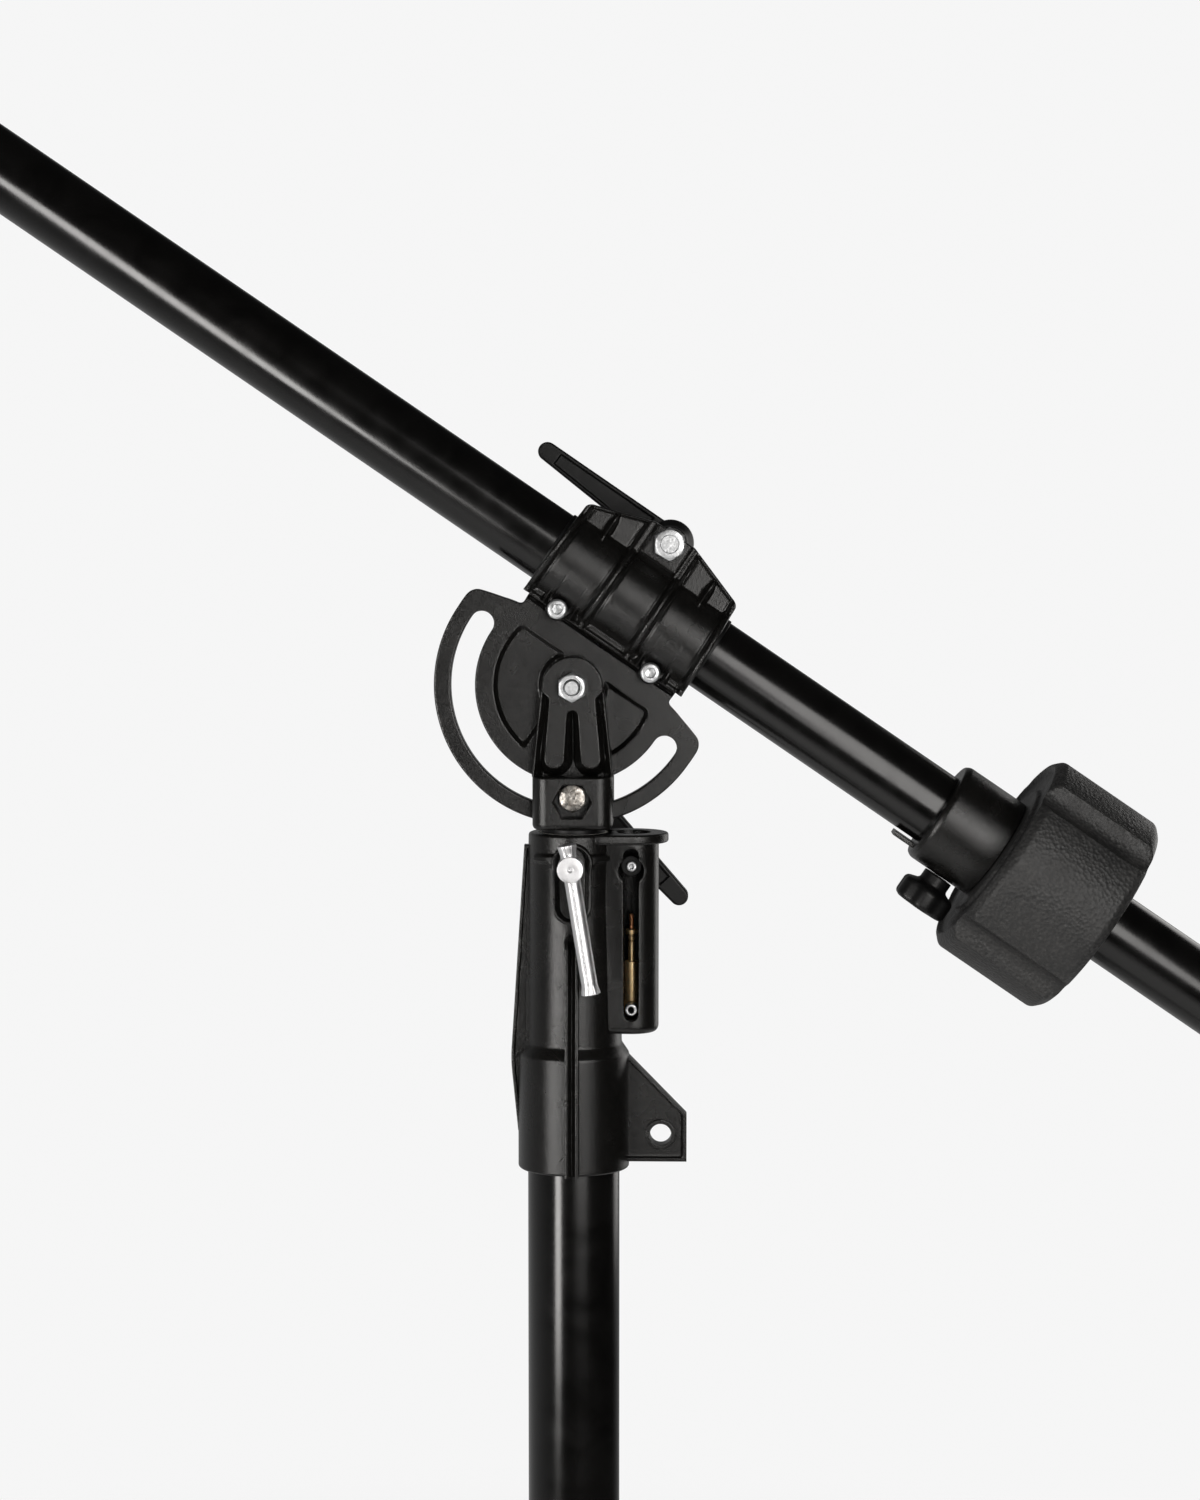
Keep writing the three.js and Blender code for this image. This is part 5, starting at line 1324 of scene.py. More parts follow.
@dataclass
class TiltPlate:
    """The slotted plate under the clamp: height fields on a grid of angles and radii round the pivot."""

    half: float = 5.0
    radius: float = 90.5
    top: float = 40.6
    neck_half: float = 57.0
    neck_foot: float = 25.0
    shoulder: float = 15.4
    shoulder_round: float = 12.0
    foot_round: float = 4.0
    slot_radius: float = 71.7
    slot_half: float = 7.9
    hole: float = 5.3
    pocket_radius: float = 51.9
    pocket_top: float = 14.3
    pocket_rib: float = 3.0
    pocket_boss: float = 20.0
    pocket_depth: float = 3.7
    pocket_wall: float = 2.6
    pocket_round: float = 5.0
    line_place: float = 31.6
    line_half: float = 1.5
    line_depth: float = 2.6
    edge: float = 1.1
    turns: int = 520

    def outline(self, angle: Array) -> Array:
        """The plate's reach.

        Args:
            angle: the angles from the plate's x, in radians.

        Returns:
            The reach at each angle: a line through its upper right side, mirrored, and a circle below.
        """
        side = filleted([
            (self.radius, 0, 0), (self.radius, self.shoulder, 17.0),
            (self.radius - self.shoulder_round, self.shoulder + self.foot_round, 9.0),
            (self.neck_half, self.neck_foot, 3.0), (self.neck_half, self.top, 0.8), (0, self.top, 0),
        ], steps=24)
        folded = np.arctan2(np.abs(np.sin(angle)), np.abs(np.cos(angle)))
        bearing = np.arctan2(side[:, 1], side[:, 0])
        order = np.argsort(bearing, kind="stable")
        reach = np.interp(folded, bearing[order], np.hypot(side[:, 0], side[:, 1])[order])
        reach = np.where(np.sin(angle) > 0, reach, self.radius)
        return np.minimum(reach, self.top / np.maximum(np.sin(angle), 0.01))

    def slot(self, angle: Array) -> tuple[Array, Array, Array]:
        """The curved slot.

        Args:
            angle: the angles from the plate's x, in radians.

        Returns:
            Its inner and outer radius at each angle, which meet past its round ends, and where it is open.
        """
        lean = np.where(np.cos(angle) > 0, angle, math.pi - angle)
        lean = np.mod(lean + math.pi, TURN) - math.pi
        inside = np.maximum(self.slot_half ** 2 - (self.slot_radius * np.sin(lean)) ** 2, 0)
        middle = self.slot_radius * np.cos(np.clip(lean, 0, math.radians(40)))
        past = np.sin(angle) > 0
        half = np.where(past, np.sqrt(inside), self.slot_half)
        middle = np.where(past, np.minimum(middle, self.slot_radius), self.slot_radius)
        return middle - half, middle + half, half > 1e-6

    def angles(self) -> Array:
        """The angles of the plate's grid.

        Returns:
            Even angles, with finer ones where the slot's ends close.
        """
        close = math.asin(self.slot_half / self.slot_radius) * (1 - (1 - np.linspace(0, 1, 14)) ** 2)
        even = np.linspace(-math.pi, math.pi, self.turns, endpoint=False)
        return np.unique(np.round(np.concatenate([even, close, math.pi - close]), 9))

    def depth(self, x: Array, z: Array, rim: Array) -> Array:
        """How far the face stands from the plate's middle.

        Args:
            x: each point's x.
            z: each point's z.
            rim: its distance from the nearest rim.

        Returns:
            Half the thickness less the pocket, the line under the clamp and the rounded rim.
        """
        radius = np.hypot(x, z)
        inside = self.pocket_radius - radius
        for wall in (self.pocket_top - z, radius - self.pocket_boss, np.abs(x) - self.pocket_rib):
            inside = -soft_max(-inside, -wall, self.pocket_round)
        sunk = self.pocket_depth * np.clip(inside / self.pocket_wall, 0, 1)
        beside = np.maximum(np.abs(z - self.line_place), np.abs(x) - self.neck_half + self.line_half)
        sunk = sunk + self.line_depth * np.clip(1 - beside / self.line_half, 0, 1)
        return self.half - sunk - edge_round(rim, self.edge)

    def build(self) -> None:
        """Builds the plate: a band on each side of the slot, and walls where the slot is open."""
        angle = self.angles()[:, None]
        reach = self.outline(angle)
        near, far, is_open = self.slot(angle)
        near, far = np.minimum(near, reach - 2 * self.edge), np.minimum(far, reach - 2 * self.edge)
        inner = paced(84, self.slot_radius, self.edge)[None, :]
        outer = paced(20, self.radius - self.slot_radius, self.edge)[None, :]
        bands = [self.hole + inner * (near - self.hole), far + outer * (reach - far)]
        closed = np.where(is_open, 0.0, FAR)
        rims = [
            np.minimum(bands[0] - self.hole, near - bands[0] + closed),
            np.minimum(reach - bands[1], bands[1] - far + closed),
        ]
        radius = np.concatenate(bands, axis=1)
        x, z = radius * np.cos(angle), radius * np.sin(angle)
        depth = self.depth(x, z, np.concatenate(rims, axis=1))
        rows, columns = radius.shape
        sheets = [np.stack([x, side * depth, z], axis=-1).reshape(-1, 3) for side in (-1.0, 1.0)]
        count = rows * columns
        split = bands[0].shape[1]
        index = np.arange(count).reshape(rows, columns)
        below = np.roll(index, -1, axis=0)
        gone = (is_open & np.roll(is_open, -1, axis=0))[:, 0]
        keep = np.ones((rows, columns - 1), bool)
        keep[gone, split - 1] = False
        quads = np.stack([index[:, :-1], index[:, 1:], below[:, 1:], below[:, :-1]], axis=-1)[keep]

        def wall(column: int, chosen: Array) -> Array:
            """The faces between both sheets along one column, in the chosen rows."""
            first, second = index[chosen, column], below[chosen, column]
            return np.stack([first, second, second + count, first + count], axis=-1)

        every = np.ones(rows, bool)
        faces = np.concatenate([
            quads, quads[:, ::-1] + count, wall(0, every), wall(columns - 1, every), wall(split - 1, gone),
            wall(split, gone),
        ])
        piece = mesh_piece("tilt_plate_casting", BOOM.world(np.concatenate(sheets)), faces)
        dress(piece, Body.CLAMP, CASTING, "tilt_plate")


@dataclass
class YokeHalf:
    """One half of the yoke, a prong on half a block: a height field over the fork's outline."""

    side: float
    head_radius: float = 19.5
    block_half: float = 26.0
    block_top: float = -58.1
    block_bottom: float = -92.3
    block_round: float = 10.0
    bottom_round: float = 4.0
    foot_half: float = 26.4
    foot: float = -58.5
    neck_half: float = 20.5
    neck: float = -3.0
    prong_front: float = 20.0
    rim_depth: float = 18.5
    relief_depth: float = 8.2
    relief_slope: float = 2.0
    rim_width: float = 1.2
    pad_neck_half: float = 14.6
    pad_neck: float = -6.0
    leg_bottom: float = -53.0
    leg_inner: float = 5.3
    leg_outer: float = 18.2
    groove_top: float = -15.6
    groove_half: float = 3.6
    prong_inner: float = 6.6
    fork_floor: float = -91.3
    recess_flats: float = 22.0
    recess_depth: float = 12.0
    recess_height: float = -74.0
    blur: float = 0.6
    edge: float = 1.2

    def half_width(self, z: Array) -> Array:
        """Half the outline's width.

        Args:
            z: the heights.

        Returns:
            The width at each height: block, tapering prong, shoulder and round head.
        """
        prong = self.neck_half + (self.foot_half - self.neck_half) * (self.neck - z) / (self.neck - self.foot)
        neck = self.head_radius + (self.neck_half - self.head_radius) * ramp(-z, 0.0, -self.neck)
        head = np.sqrt(np.maximum(self.head_radius ** 2 - np.maximum(z, 0) ** 2, 0))
        width = np.where(z < self.neck, prong, np.where(z < 0, neck, head))
        lift = np.clip(z - self.block_bottom, 0, self.bottom_round)
        block = self.block_half - edge_round(lift, self.bottom_round)
        return np.where(z < self.block_top, block, width)

    def pad(self, x: Array, z: Array) -> Array:
        """The raised pad, which ends in two round-ended legs.

        Args:
            x: each point's x.
            z: each point's z.

        Returns:
            How far each point lies inside the pad.
        """
        ends = self.leg_bottom + (self.leg_outer - self.leg_inner) / 2
        share = np.clip((self.pad_neck - z) / (self.pad_neck - ends), 0, 1)
        outer = self.pad_neck_half + (self.leg_outer - self.pad_neck_half) * share
        blend = ramp(-z, 2.0, 9.0)
        outer = self.head_radius * (1 - blend) + outer * blend
        groove_start = self.groove_top - self.groove_half
        share = np.clip((groove_start - z) / (groove_start - ends), 0, 1)
        inner = self.groove_half + (self.leg_inner - self.groove_half) * share
        cap = np.sqrt(np.maximum(self.groove_half ** 2 - np.maximum(z - groove_start, 0) ** 2, 0))
        inner = np.where(z > groove_start, np.where(z > self.groove_top, -FAR, cap), inner)
        inside = np.minimum(outer - np.abs(x), np.abs(x) - inner)
        radius = (self.leg_outer - self.leg_inner) / 2
        middle = (self.leg_outer + self.leg_inner) / 2
        tip = radius - np.hypot(np.abs(x) - middle, z - ends)
        return np.where(z < ends, tip, inside)

    def hexed(self, x: Array, z: Array) -> Array:
        """The hexagonal recess, whose corners point sideways.

        Args:
            x: each point's x.
            z: each point's z.

        Returns:
            How far each point lies inside the recess.
        """
        rise = z - self.recess_height
        slant = math.radians(30)
        flats = [np.abs(rise), np.abs(x * math.cos(slant) + rise * math.sin(slant))]
        flats.append(np.abs(x * math.cos(slant) - rise * math.sin(slant)))
        return self.recess_flats / 2 - np.maximum.reduce(flats)

    def build(self, name: str) -> Piece:
        """Builds the half.

        Args:
            name: the piece's name.

        Returns:
            The object.
        """
        low = self.block_bottom + (self.block_top - self.block_bottom) * paced(74, 34.2, self.bottom_round)
        prong = np.linspace(self.block_top + 0.02, 0, 124)
        head = self.head_radius * np.sin(np.linspace(0, math.pi / 2, 44))[1:]
        z = np.concatenate([low, prong, head])[:, None]
        share = paced(130, 2 * self.block_half, 3.0)[None, :] * 2 - 1
        half = self.half_width(z)
        x = share * half
        z = np.broadcast_to(z, x.shape)
        is_block = z <= self.block_top
        corner = edge_round(self.block_half - np.abs(x), self.block_round)
        block = self.block_half - corner
        block = block - edge_round(z - self.block_bottom, self.bottom_round) * 0.8
        block = block - edge_round(self.block_top - z, 1.4)
        block = block - self.recess_depth * ramp(self.hexed(x, z), -0.25, 0.35)
        inside = self.pad(x, z)
        fall = np.clip(np.minimum(-inside, half - np.abs(x) - self.rim_width), 0, 9)
        rimmed = np.maximum(self.rim_depth - fall * self.relief_slope, self.relief_depth)
        rimmed = np.where(z > -1.0, self.prong_front, rimmed)
        raised = ramp(inside, -0.8, 0.4)
        prong_depth = rimmed + (self.prong_front - rimmed) * raised
        prong_depth = blurred(prong_depth, self.blur)
        depth = np.where(is_block, block, prong_depth)
        distance = np.minimum((1 - np.abs(share)) * half, self.head_radius - z)
        radial = np.where(z > 0, self.head_radius - np.hypot(x, np.maximum(z, 0)), distance)
        depth = depth - edge_round(np.where(is_block, FAR, radial), self.edge)
        back = np.where(z > self.fork_floor, self.prong_inner, 0.0)
        return relief(name, np.stack([x, z], axis=-1), depth, back, HEAD, self.side)


@dataclass
class Yoke:
    """The fork: two halves, the plug inside the riser, and its fasteners and lever."""

    plug_radius: float = 17.7
    plug_bottom: float = -154.3
    plug_top: float = -91.3
    slot_radius: float = 71.7
    lever_seat: float = 28.6
    lever_degrees: float = -47.2

    def build(self) -> None:
        """Builds every piece of the yoke."""
        dress(YokeHalf(-1.0).build("yoke_front_casting"), Body.YOKE, CASTING, "yoke")
        dress(YokeHalf(1.0).build("yoke_rear_casting"), Body.YOKE, CASTING, "yoke")
        profile = filleted([
            (0, self.plug_bottom, 0), (self.plug_radius, self.plug_bottom, 1),
            (self.plug_radius, self.plug_top, 0), (0, self.plug_top, 0),
        ])
        dress(turned("yoke_plug", profile, COLUMN), Body.YOKE, CASTING, "yoke")
        HexFastener(
            "pivot_bolt_skin", "pivot_bolt", Body.YOKE, facing(HEAD, front=False), flats=17.0, seat=20.3,
            length=6.4, shank_radius=5.0, shank_end=-31.7, turn_degrees=30.0).build()
        HexFastener(
            "pivot_nut_skin", "pivot_nut", Body.YOKE, facing(HEAD), flats=17.0, seat=20.3, length=8.4,
            shank_radius=5.0, shank_end=0.0, is_nut=True).build()
        lock = HEAD.moved(z=-self.slot_radius)
        HexFastener(
            "tilt_bolt_skin", "tilt_lock_bolt", Body.YOKE, facing(lock), flats=17.0, seat=14.3, length=6.4,
            shank_radius=5.0, shank_end=-40.6, dimple_radius=0.5, dimple_depth=0.05,
            finish=BOLT_STEEL).build()
        lever = lock.moved(y=self.lever_seat).turned(self.lever_degrees)
        ClampingLever(
            "tilt_lock_lever", "tilt_lock_lever", Body.TILT_LEVER, lever, hub_length=44.0,
            recess_setback=14.0).build()


# The column head

@dataclass
class ColumnHead:
    """The casting at the column's top: barrel, front rib, fin, lug and side tube."""

    top: float = -95.5
    bottom: float = -316.0
    top_radius: float = 29.25
    low_radius: float = 31.5
    flare_top: float = -231.7
    flare_bottom: float = -242.0
    sleeve_radius: float = 36.3
    bore: float = 22.6
    sleeve_bore: float = 30.3
    rib_points: tuple[Point, ...] = ((-150.0, 24.75), (-168.0, 33.75), (-242.0, 40.8), (-316.0, 40.8))
    rib_half: float = 5.0
    rail: float = 1.3
    rib_groove: float = 2.4
    groove_depth: float = 5.0
    race_half: float = 9.4
    race_top: float = -102.8
    race_bottom: float = -150.5
    race_rim: float = 2.2
    race_face: float = 31.0
    race_floor: float = 26.0
    wing_half: float = 24.5
    wing_height: float = -110.8
    wing_rise: float = 3.7
    wing_depth: float = 2.6
    blur: float = 0.7

    def barrel_radius(self, z: Array) -> Array:
        """The plain barrel's radius.

        Args:
            z: the heights.

        Returns:
            A slow taper, a short flare and the straight sleeve, with soft corners.
        """
        fall = (self.top - z) / (self.top - self.flare_top)
        taper = self.top_radius + (self.low_radius - self.top_radius) * fall
        flare = np.clip((self.flare_top - 1.8 - z) / (self.flare_top - self.flare_bottom - 3.3), 0, 1)
        radius = taper * (1 - flare) + self.sleeve_radius * flare
        radius = np.where(z < self.flare_bottom, self.sleeve_radius, radius)
        return radius - edge_round(self.top - z, 2.0) - edge_round(z - self.bottom, 1.5)

    def outside(self, angle: Array, z: Array) -> Array:
        """The barrel's radius at each angle and height, with the rib, the wings and the oval recess.

        Args:
            angle: the angle from the viewer's side, in radians.
            z: the height below the pivot.

        Returns:
            The radius: flat faces stand at their depth over the cosine of the angle.
        """
        radius = self.barrel_radius(z)
        sine, cosine = np.sin(angle), np.maximum(np.cos(angle), 0.2)
        x = radius * sine
        ahead = np.cos(angle) > 0.5
        heights, reaches = np.array(self.rib_points).T
        crest = np.interp(-z, -heights, reaches)
        across = np.abs(crest * np.tan(np.clip(angle, -1, 1)))
        ridge = (crest - edge_round(self.rib_half - across, self.rail)) / cosine
        ridge = np.where(ahead & (across < self.rib_half), ridge, 0)
        is_ribbed = z < self.rib_points[0][0]
        radius = np.where(is_ribbed, np.maximum(radius, ridge), radius)
        below = np.clip((self.rib_points[0][0] - 8 - z) / 6, 0, 1)
        groove = np.clip(1 - across / self.rib_groove, 0, 1) * below
        radius = radius - self.groove_depth * np.where(ahead & is_ribbed, groove, 0)
        reach = np.clip(np.abs(x) / self.wing_half, 0, 1)
        rise = self.wing_rise * (1 - 0.25 * reach) + np.clip(15 - np.abs(x), 0, 3) * (z < self.wing_height)
        wing = np.minimum(self.wing_half - np.abs(x), rise - np.abs(z - self.wing_height))
        radius = radius + self.wing_depth * np.where(ahead, ramp(wing, -0.2, 1.4), 0)
        middle = np.clip(z, self.race_bottom + self.race_half, self.race_top - self.race_half)
        inside = self.race_half - np.hypot(x, z - middle)
        rim = np.where(ahead, ramp(inside, -self.race_rim - 0.5, -self.race_rim + 0.5), 0)
        radius = radius + rim * np.maximum(self.race_face / cosine - radius, 0)
        floor = np.where(ahead, ramp(inside, -0.5, 0.5), 0)
        return radius + floor * (self.race_floor / cosine - radius)

    def barrel(self) -> Piece:
        """The barrel.

        Returns:
            Rings of radius over angle, closed by the stepped bore.
        """
        rows = np.unique(np.concatenate([
            self.bottom + paced(90, self.flare_bottom - self.bottom, 1.5) * (self.flare_bottom - self.bottom),
            np.linspace(self.flare_bottom, self.flare_top, 16), np.linspace(self.flare_top, -155.0, 60),
            -155.0 + paced(120, self.top + 155.0, 2.0) * (self.top + 155.0),
        ]))[:, None]
        front = np.linspace(-0.95, 0.95, 190)
        rest = np.linspace(0.95, TURN - 0.95, 122)[1:-1]
        angle = np.concatenate([front, rest])[None, :]
        angle = np.mod(angle + math.pi, TURN) - math.pi
        radius = blurred(self.outside(angle, rows), self.blur)
        bores = np.array([
            (self.bore, self.top), (self.bore, self.flare_bottom), (self.sleeve_bore, self.flare_bottom),
            (self.sleeve_bore, self.bottom),
        ])
        radius = np.concatenate([radius, np.broadcast_to(bores[:, :1], (len(bores), angle.size))])
        height = np.broadcast_to(np.concatenate([rows, bores[:, 1:]]), radius.shape)
        grid = np.stack([radius * np.sin(angle), -radius * np.cos(angle), height], axis=-1)
        return skin("column_head_barrel", grid, HEAD, wrap_rows=True)

    def build(self) -> None:
        """Builds the whole casting: the barrel, the side tube, the fin and the lug."""
        dress(self.barrel(), Body.BASE, CASTING, "column_head")
        SideTube().build()
        Fin().build()
        Lug().build()


def sloped_sheet(
    name: str, rows: Array, left: Array, right: Array, half: float, rim: float, web: float, edge: float,
    open_left: bool, open_right: bool, columns: int = 60,
) -> Piece:
    """A rimmed web plate between a left and a right edge that change with height.

    Args:
        name: the piece's name.
        rows: the heights of its rows.
        left: the left edge at each row.
        right: the right edge at each row.
        half: half the rim's thickness.
        rim: the rim's width.
        web: half the web's thickness.
        edge: the rounding of the rim.
        open_left: whether the left edge runs into another piece and so has no rim.
        open_right: the same for the right edge.
        columns: even steps across the plate.

    Returns:
        The plate: thick where a point is within the rim's width of a free edge, thin elsewhere.
    """
    share = paced(columns, float(np.max(right - left)), edge)[None, :]
    z = rows[:, None]
    x = left[:, None] + share * (right - left)[:, None]
    z = np.broadcast_to(z, x.shape)
    distance = np.minimum(
        np.where(open_left, FAR, x - left[:, None]), np.where(open_right, FAR, right[:, None] - x))
    distance = np.minimum(distance, np.minimum(z - rows.min(), rows.max() - z))
    depth = web + (half - web) * (1 - ramp(distance, rim - 0.5, rim + 0.5)) - edge_round(distance, edge)
    return relief(name, np.stack([x, z], axis=-1), depth, -depth, HEAD, -1.0)


@dataclass
class Fin:
    """The tall rimmed fin on the left of the barrel."""

    top: float = -104.0
    bottom: float = -292.0
    top_reach: float = 32.0
    step: float = -245.0
    step_reach: float = 41.0
    foot_reach: float = 36.3
    root: float = 27.0
    half: float = 4.5
    web: float = 3.0
    rim: float = 2.2

    def build(self) -> None:
        """Builds the fin: its outer edge runs straight from its top to the step and back in below it."""
        rows = self.bottom + paced(110, self.top - self.bottom, 1.0) * (self.top - self.bottom)
        table = filleted([
            (self.foot_reach, self.bottom, 0), (self.step_reach, self.step, 8),
            (self.top_reach, self.top, 0),
        ], steps=12)
        left = -np.interp(rows, table[:, 1], table[:, 0])
        right = np.full(rows.shape, -self.root)
        right = np.where(rows < -242.0, -33.0, right)
        piece = sloped_sheet(
            "column_head_fin", rows, left, right, self.half, self.rim, self.web, 0.8, False, True, 26)
        dress(piece, Body.BASE, CASTING, "column_head")


@dataclass
class Lug:
    """The lug on the right of the sleeve: a 45 degree rim, a recessed web and an eye."""

    root: float = 33.0
    top: float = -239.0
    reach: float = 74.0
    shoulder: float = -281.0
    bottom: float = -312.0
    half: float = 6.0
    web: float = 4.0
    rim: float = 3.0
    eye: float = 7.0
    eye_place: float = 57.0
    eye_height: float = -294.0

    def build(self) -> None:
        """Builds the lug and drills its eye."""
        rows = self.bottom + paced(90, self.top - self.bottom, 1.0) * (self.top - self.bottom)
        slope = (self.reach - self.root) / (self.top - self.shoulder)
        right = np.where(rows < self.shoulder, self.reach, self.reach - (rows - self.shoulder) * slope)
        right = np.maximum(right, self.root + 0.4)
        left = np.full(rows.shape, self.root)
        piece = sloped_sheet(
            "column_head_lug", rows, left, right, self.half, self.rim, self.web, 0.9, True, False, 44)
        eye = HEAD.moved(x=self.eye_place, z=self.eye_height)
        boss = filleted([
            (self.eye, -self.half, 0.5), (self.eye + self.rim, -self.half, 0.8),
            (self.eye + self.rim, self.half, 0.8), (self.eye, self.half, 0.5), (self.eye, -self.half, 0),
        ])
        drilled(piece, facing(eye), self.eye + self.rim * 0.5, self.half * 1.5)
        dress(piece, Body.BASE, CASTING, "column_head")
        dress(turned("column_head_eye", boss, facing(eye)), Body.BASE, CASTING, "column_head")


@dataclass
class SideTube:
    """The side tube with its flanged mouth and its keyhole slot."""

    place: float = 37.9
    half_depth: float = 22.0
    radius: float = 17.0
    reach: float = 17.7
    front_lean: float = 0.075
    inner_edge: float = 21.3
    inner_waist: float = 24.5
    top: float = -97.5
    bottom: float = -225.7
    floor: float = -218.5
    bore: float = 12.5
    ring_radius: float = 24.0
    ring_left: float = 13.5
    ring_bulge: float = 2.4
    ring_thickness: float = 6.4
    mouth: float = -95.5
    barrel_bore: float = 22.8
    slot_half: float = 4.85
    slot_top: float = -104.5
    slot_bottom: float = -216.7
    keyhole: float = -119.0
    keyhole_radius: float = 8.2
    keyhole_rim: float = 1.8
    keyhole_sink: float = 0.8
    bottom_round: float = 5.0
    edge: float = 1.0

    def opening(self, z: Array) -> Array:
        """Half the slot's width.

        Args:
            z: the heights.

        Returns:
            The width at each height: the slot with round ends, widened by the keyhole's circle.
        """
        nearest = np.clip(z, self.slot_bottom + self.slot_half, self.slot_top - self.slot_half)
        slot = np.sqrt(np.maximum(self.slot_half ** 2 - (z - nearest) ** 2, 0))
        circle = np.sqrt(np.maximum(self.keyhole_radius ** 2 - (z - self.keyhole) ** 2, 0))
        return np.maximum(slot, circle)

    def heights(self) -> Array:
        """The heights of the rows.

        Returns:
            Heights that stand close together at the bottom's rounding and at the slot's round ends.
        """
        quarter = 1 - np.cos(np.linspace(0, math.pi / 2, 11))
        sine = np.sin(np.linspace(-math.pi / 2, math.pi / 2, 30))
        rim = np.linspace(0.3, 2.4, 5)
        return np.unique(np.round(np.concatenate([
            self.bottom + self.bottom_round * quarter, [self.floor], self.slot_bottom - rim,
            self.slot_bottom + self.slot_half * quarter,
            np.linspace(self.slot_bottom + self.slot_half, self.keyhole - self.keyhole_radius, 70),
            self.keyhole - self.keyhole_radius - rim, self.keyhole + self.keyhole_radius * sine,
            self.slot_top - self.slot_half * quarter, self.slot_top + rim, [self.top],
        ]), 4))

    def outside(self, z: Array) -> Array:
        """The outside at each height, from the slot's right edge round the back to its left edge.

        Args:
            z: a column of heights.

        Returns:
            Rows of x and y: a rounded right half, a plain left half that stays clear of the barrel's bore,
            and the front, pushed in near the slot's rim.
        """
        half = self.opening(z)
        flat = self.half_depth - self.radius
        start = np.arcsin(half / self.reach)
        turn = start + paced(26, self.radius * math.pi / 2, 2.4)[None, :] * (math.pi / 2 - start)
        back = np.broadcast_to(np.linspace(math.pi / 2, math.pi, 14), (len(z), 14))
        turn = np.concatenate([turn, back], axis=1)
        x = self.place + self.reach * np.sin(turn)
        y = np.where(turn > math.pi / 2, flat, -flat) - self.radius * np.cos(turn)
        rest = filleted([
            (self.place, self.half_depth, 0), (self.inner_edge, self.half_depth, 0.6),
            (self.inner_waist, self.bore, 1), (self.inner_waist, -self.bore, 1),
            (self.inner_edge, -self.half_depth, 0.9), (self.inner_edge + 1.2, -self.half_depth, 0),
        ])
        run = self.place - half - self.inner_edge - 1.2
        last = self.inner_edge + 1.2 + paced(20, self.radius, 2.4)[None, 1:] * run
        rest = np.broadcast_to(rest, (len(z), *rest.shape))
        x = np.concatenate([x, rest[..., 0], last], axis=1)
        y = np.concatenate([y, rest[..., 1], np.full(last.shape, -self.half_depth)], axis=1)
        nearest = np.clip(z, self.slot_bottom + self.slot_half, self.slot_top - self.slot_half)
        to_slot = np.hypot(x - self.place, z - nearest) - self.slot_half
        to_hole = np.hypot(x - self.place, z - self.keyhole) - self.keyhole_radius
        sink = edge_round(np.maximum(np.minimum(to_slot, to_hole), 0), self.edge)
        sink = sink + self.keyhole_sink * (1 - ramp(to_hole, self.keyhole_rim - 0.4, self.keyhole_rim + 0.2))
        y = y + np.where(y < -flat, sink + self.front_lean * np.maximum(self.place - x, 0), 0)
        pull = 1 - edge_round(z - self.bottom, self.bottom_round) / self.half_depth
        return np.stack([self.place + (x - self.place) * pull, y * pull], axis=-1)

    def wall(self) -> Piece:
        """The tube's wall and floor.

        Returns:
            An outer and an inner sheet that meet at the mouth and along the slot.
        """
        z = self.heights()[:, None]
        half = self.opening(z)
        outer = self.outside(z)
        bearing = np.mod(np.arctan2(outer[..., 0] - self.place, -outer[..., 1]), TURN)
        first, slit = bearing[:, :1], np.arcsin(half / self.bore)
        angle = slit + (bearing - first) / (TURN - 2 * first) * (TURN - 2 * slit)
        radius = np.where(z < self.floor - 1e-6, 0.0, self.bore)
        inner = np.stack([self.place + radius * np.sin(angle), -radius * np.cos(angle)], axis=-1)
        rows, columns = angle.shape
        tall = np.broadcast_to(z, angle.shape)
        sheets = [
            np.concatenate([outer, tall[..., None]], axis=-1),
            np.concatenate([inner, np.maximum(tall, self.floor)[..., None]], axis=-1),
        ]
        foot = np.broadcast_to(np.array([self.place, 0.0, self.bottom]), (1, columns, 3))
        grid = np.concatenate([foot, sheets[0], sheets[1][::-1]])
        faces = grid_faces(len(grid), columns, False, False)
        index = np.arange(len(grid) * columns).reshape(len(grid), columns)
        top = 2 * rows
        i = np.flatnonzero((half[:-1, 0] > 0) | (half[1:, 0] > 0))
        walls = [
            np.stack([index[1 + i, j], index[2 + i, j], index[top - 1 - i, j], index[top - i, j]], axis=-1)
            for j in (0, columns - 1)
        ]
        points = HEAD.world(grid.reshape(-1, 3))
        return mesh_piece("side_tube_wall", points, np.concatenate([faces, *walls]), 34.0)

    def clipped(self, radius: Array, height: Array, angle: Array) -> Array:
        """Squares the ring where it runs into the barrel.

        Args:
            radius: the profile's radius at each point.
            height: each point's height; not used.
            angle: each point's angle.

        Returns:
            The radius, which also stays out of the barrel's bore.
        """
        sine, cosine = np.abs(np.sin(angle)), np.maximum(-np.cos(angle), 1e-3)
        square = np.minimum(
            (self.ring_radius + self.ring_bulge * cosine) / np.maximum(sine, 1e-3),
            (self.place - self.ring_left) / cosine)
        outer = (radius > self.bore + 1) & (np.cos(angle) < 0)
        radius = np.where(outer, radius + np.maximum(square - self.ring_radius, 0), radius)
        away = self.place * np.sin(angle)
        inside = np.sqrt(np.maximum(self.barrel_bore ** 2 - away ** 2, 0))
        rim = -self.place * np.cos(angle) - inside
        meets = (np.cos(angle) < 0) & (np.abs(away) < self.barrel_bore)
        return np.where(meets, np.minimum(radius, rim), radius)

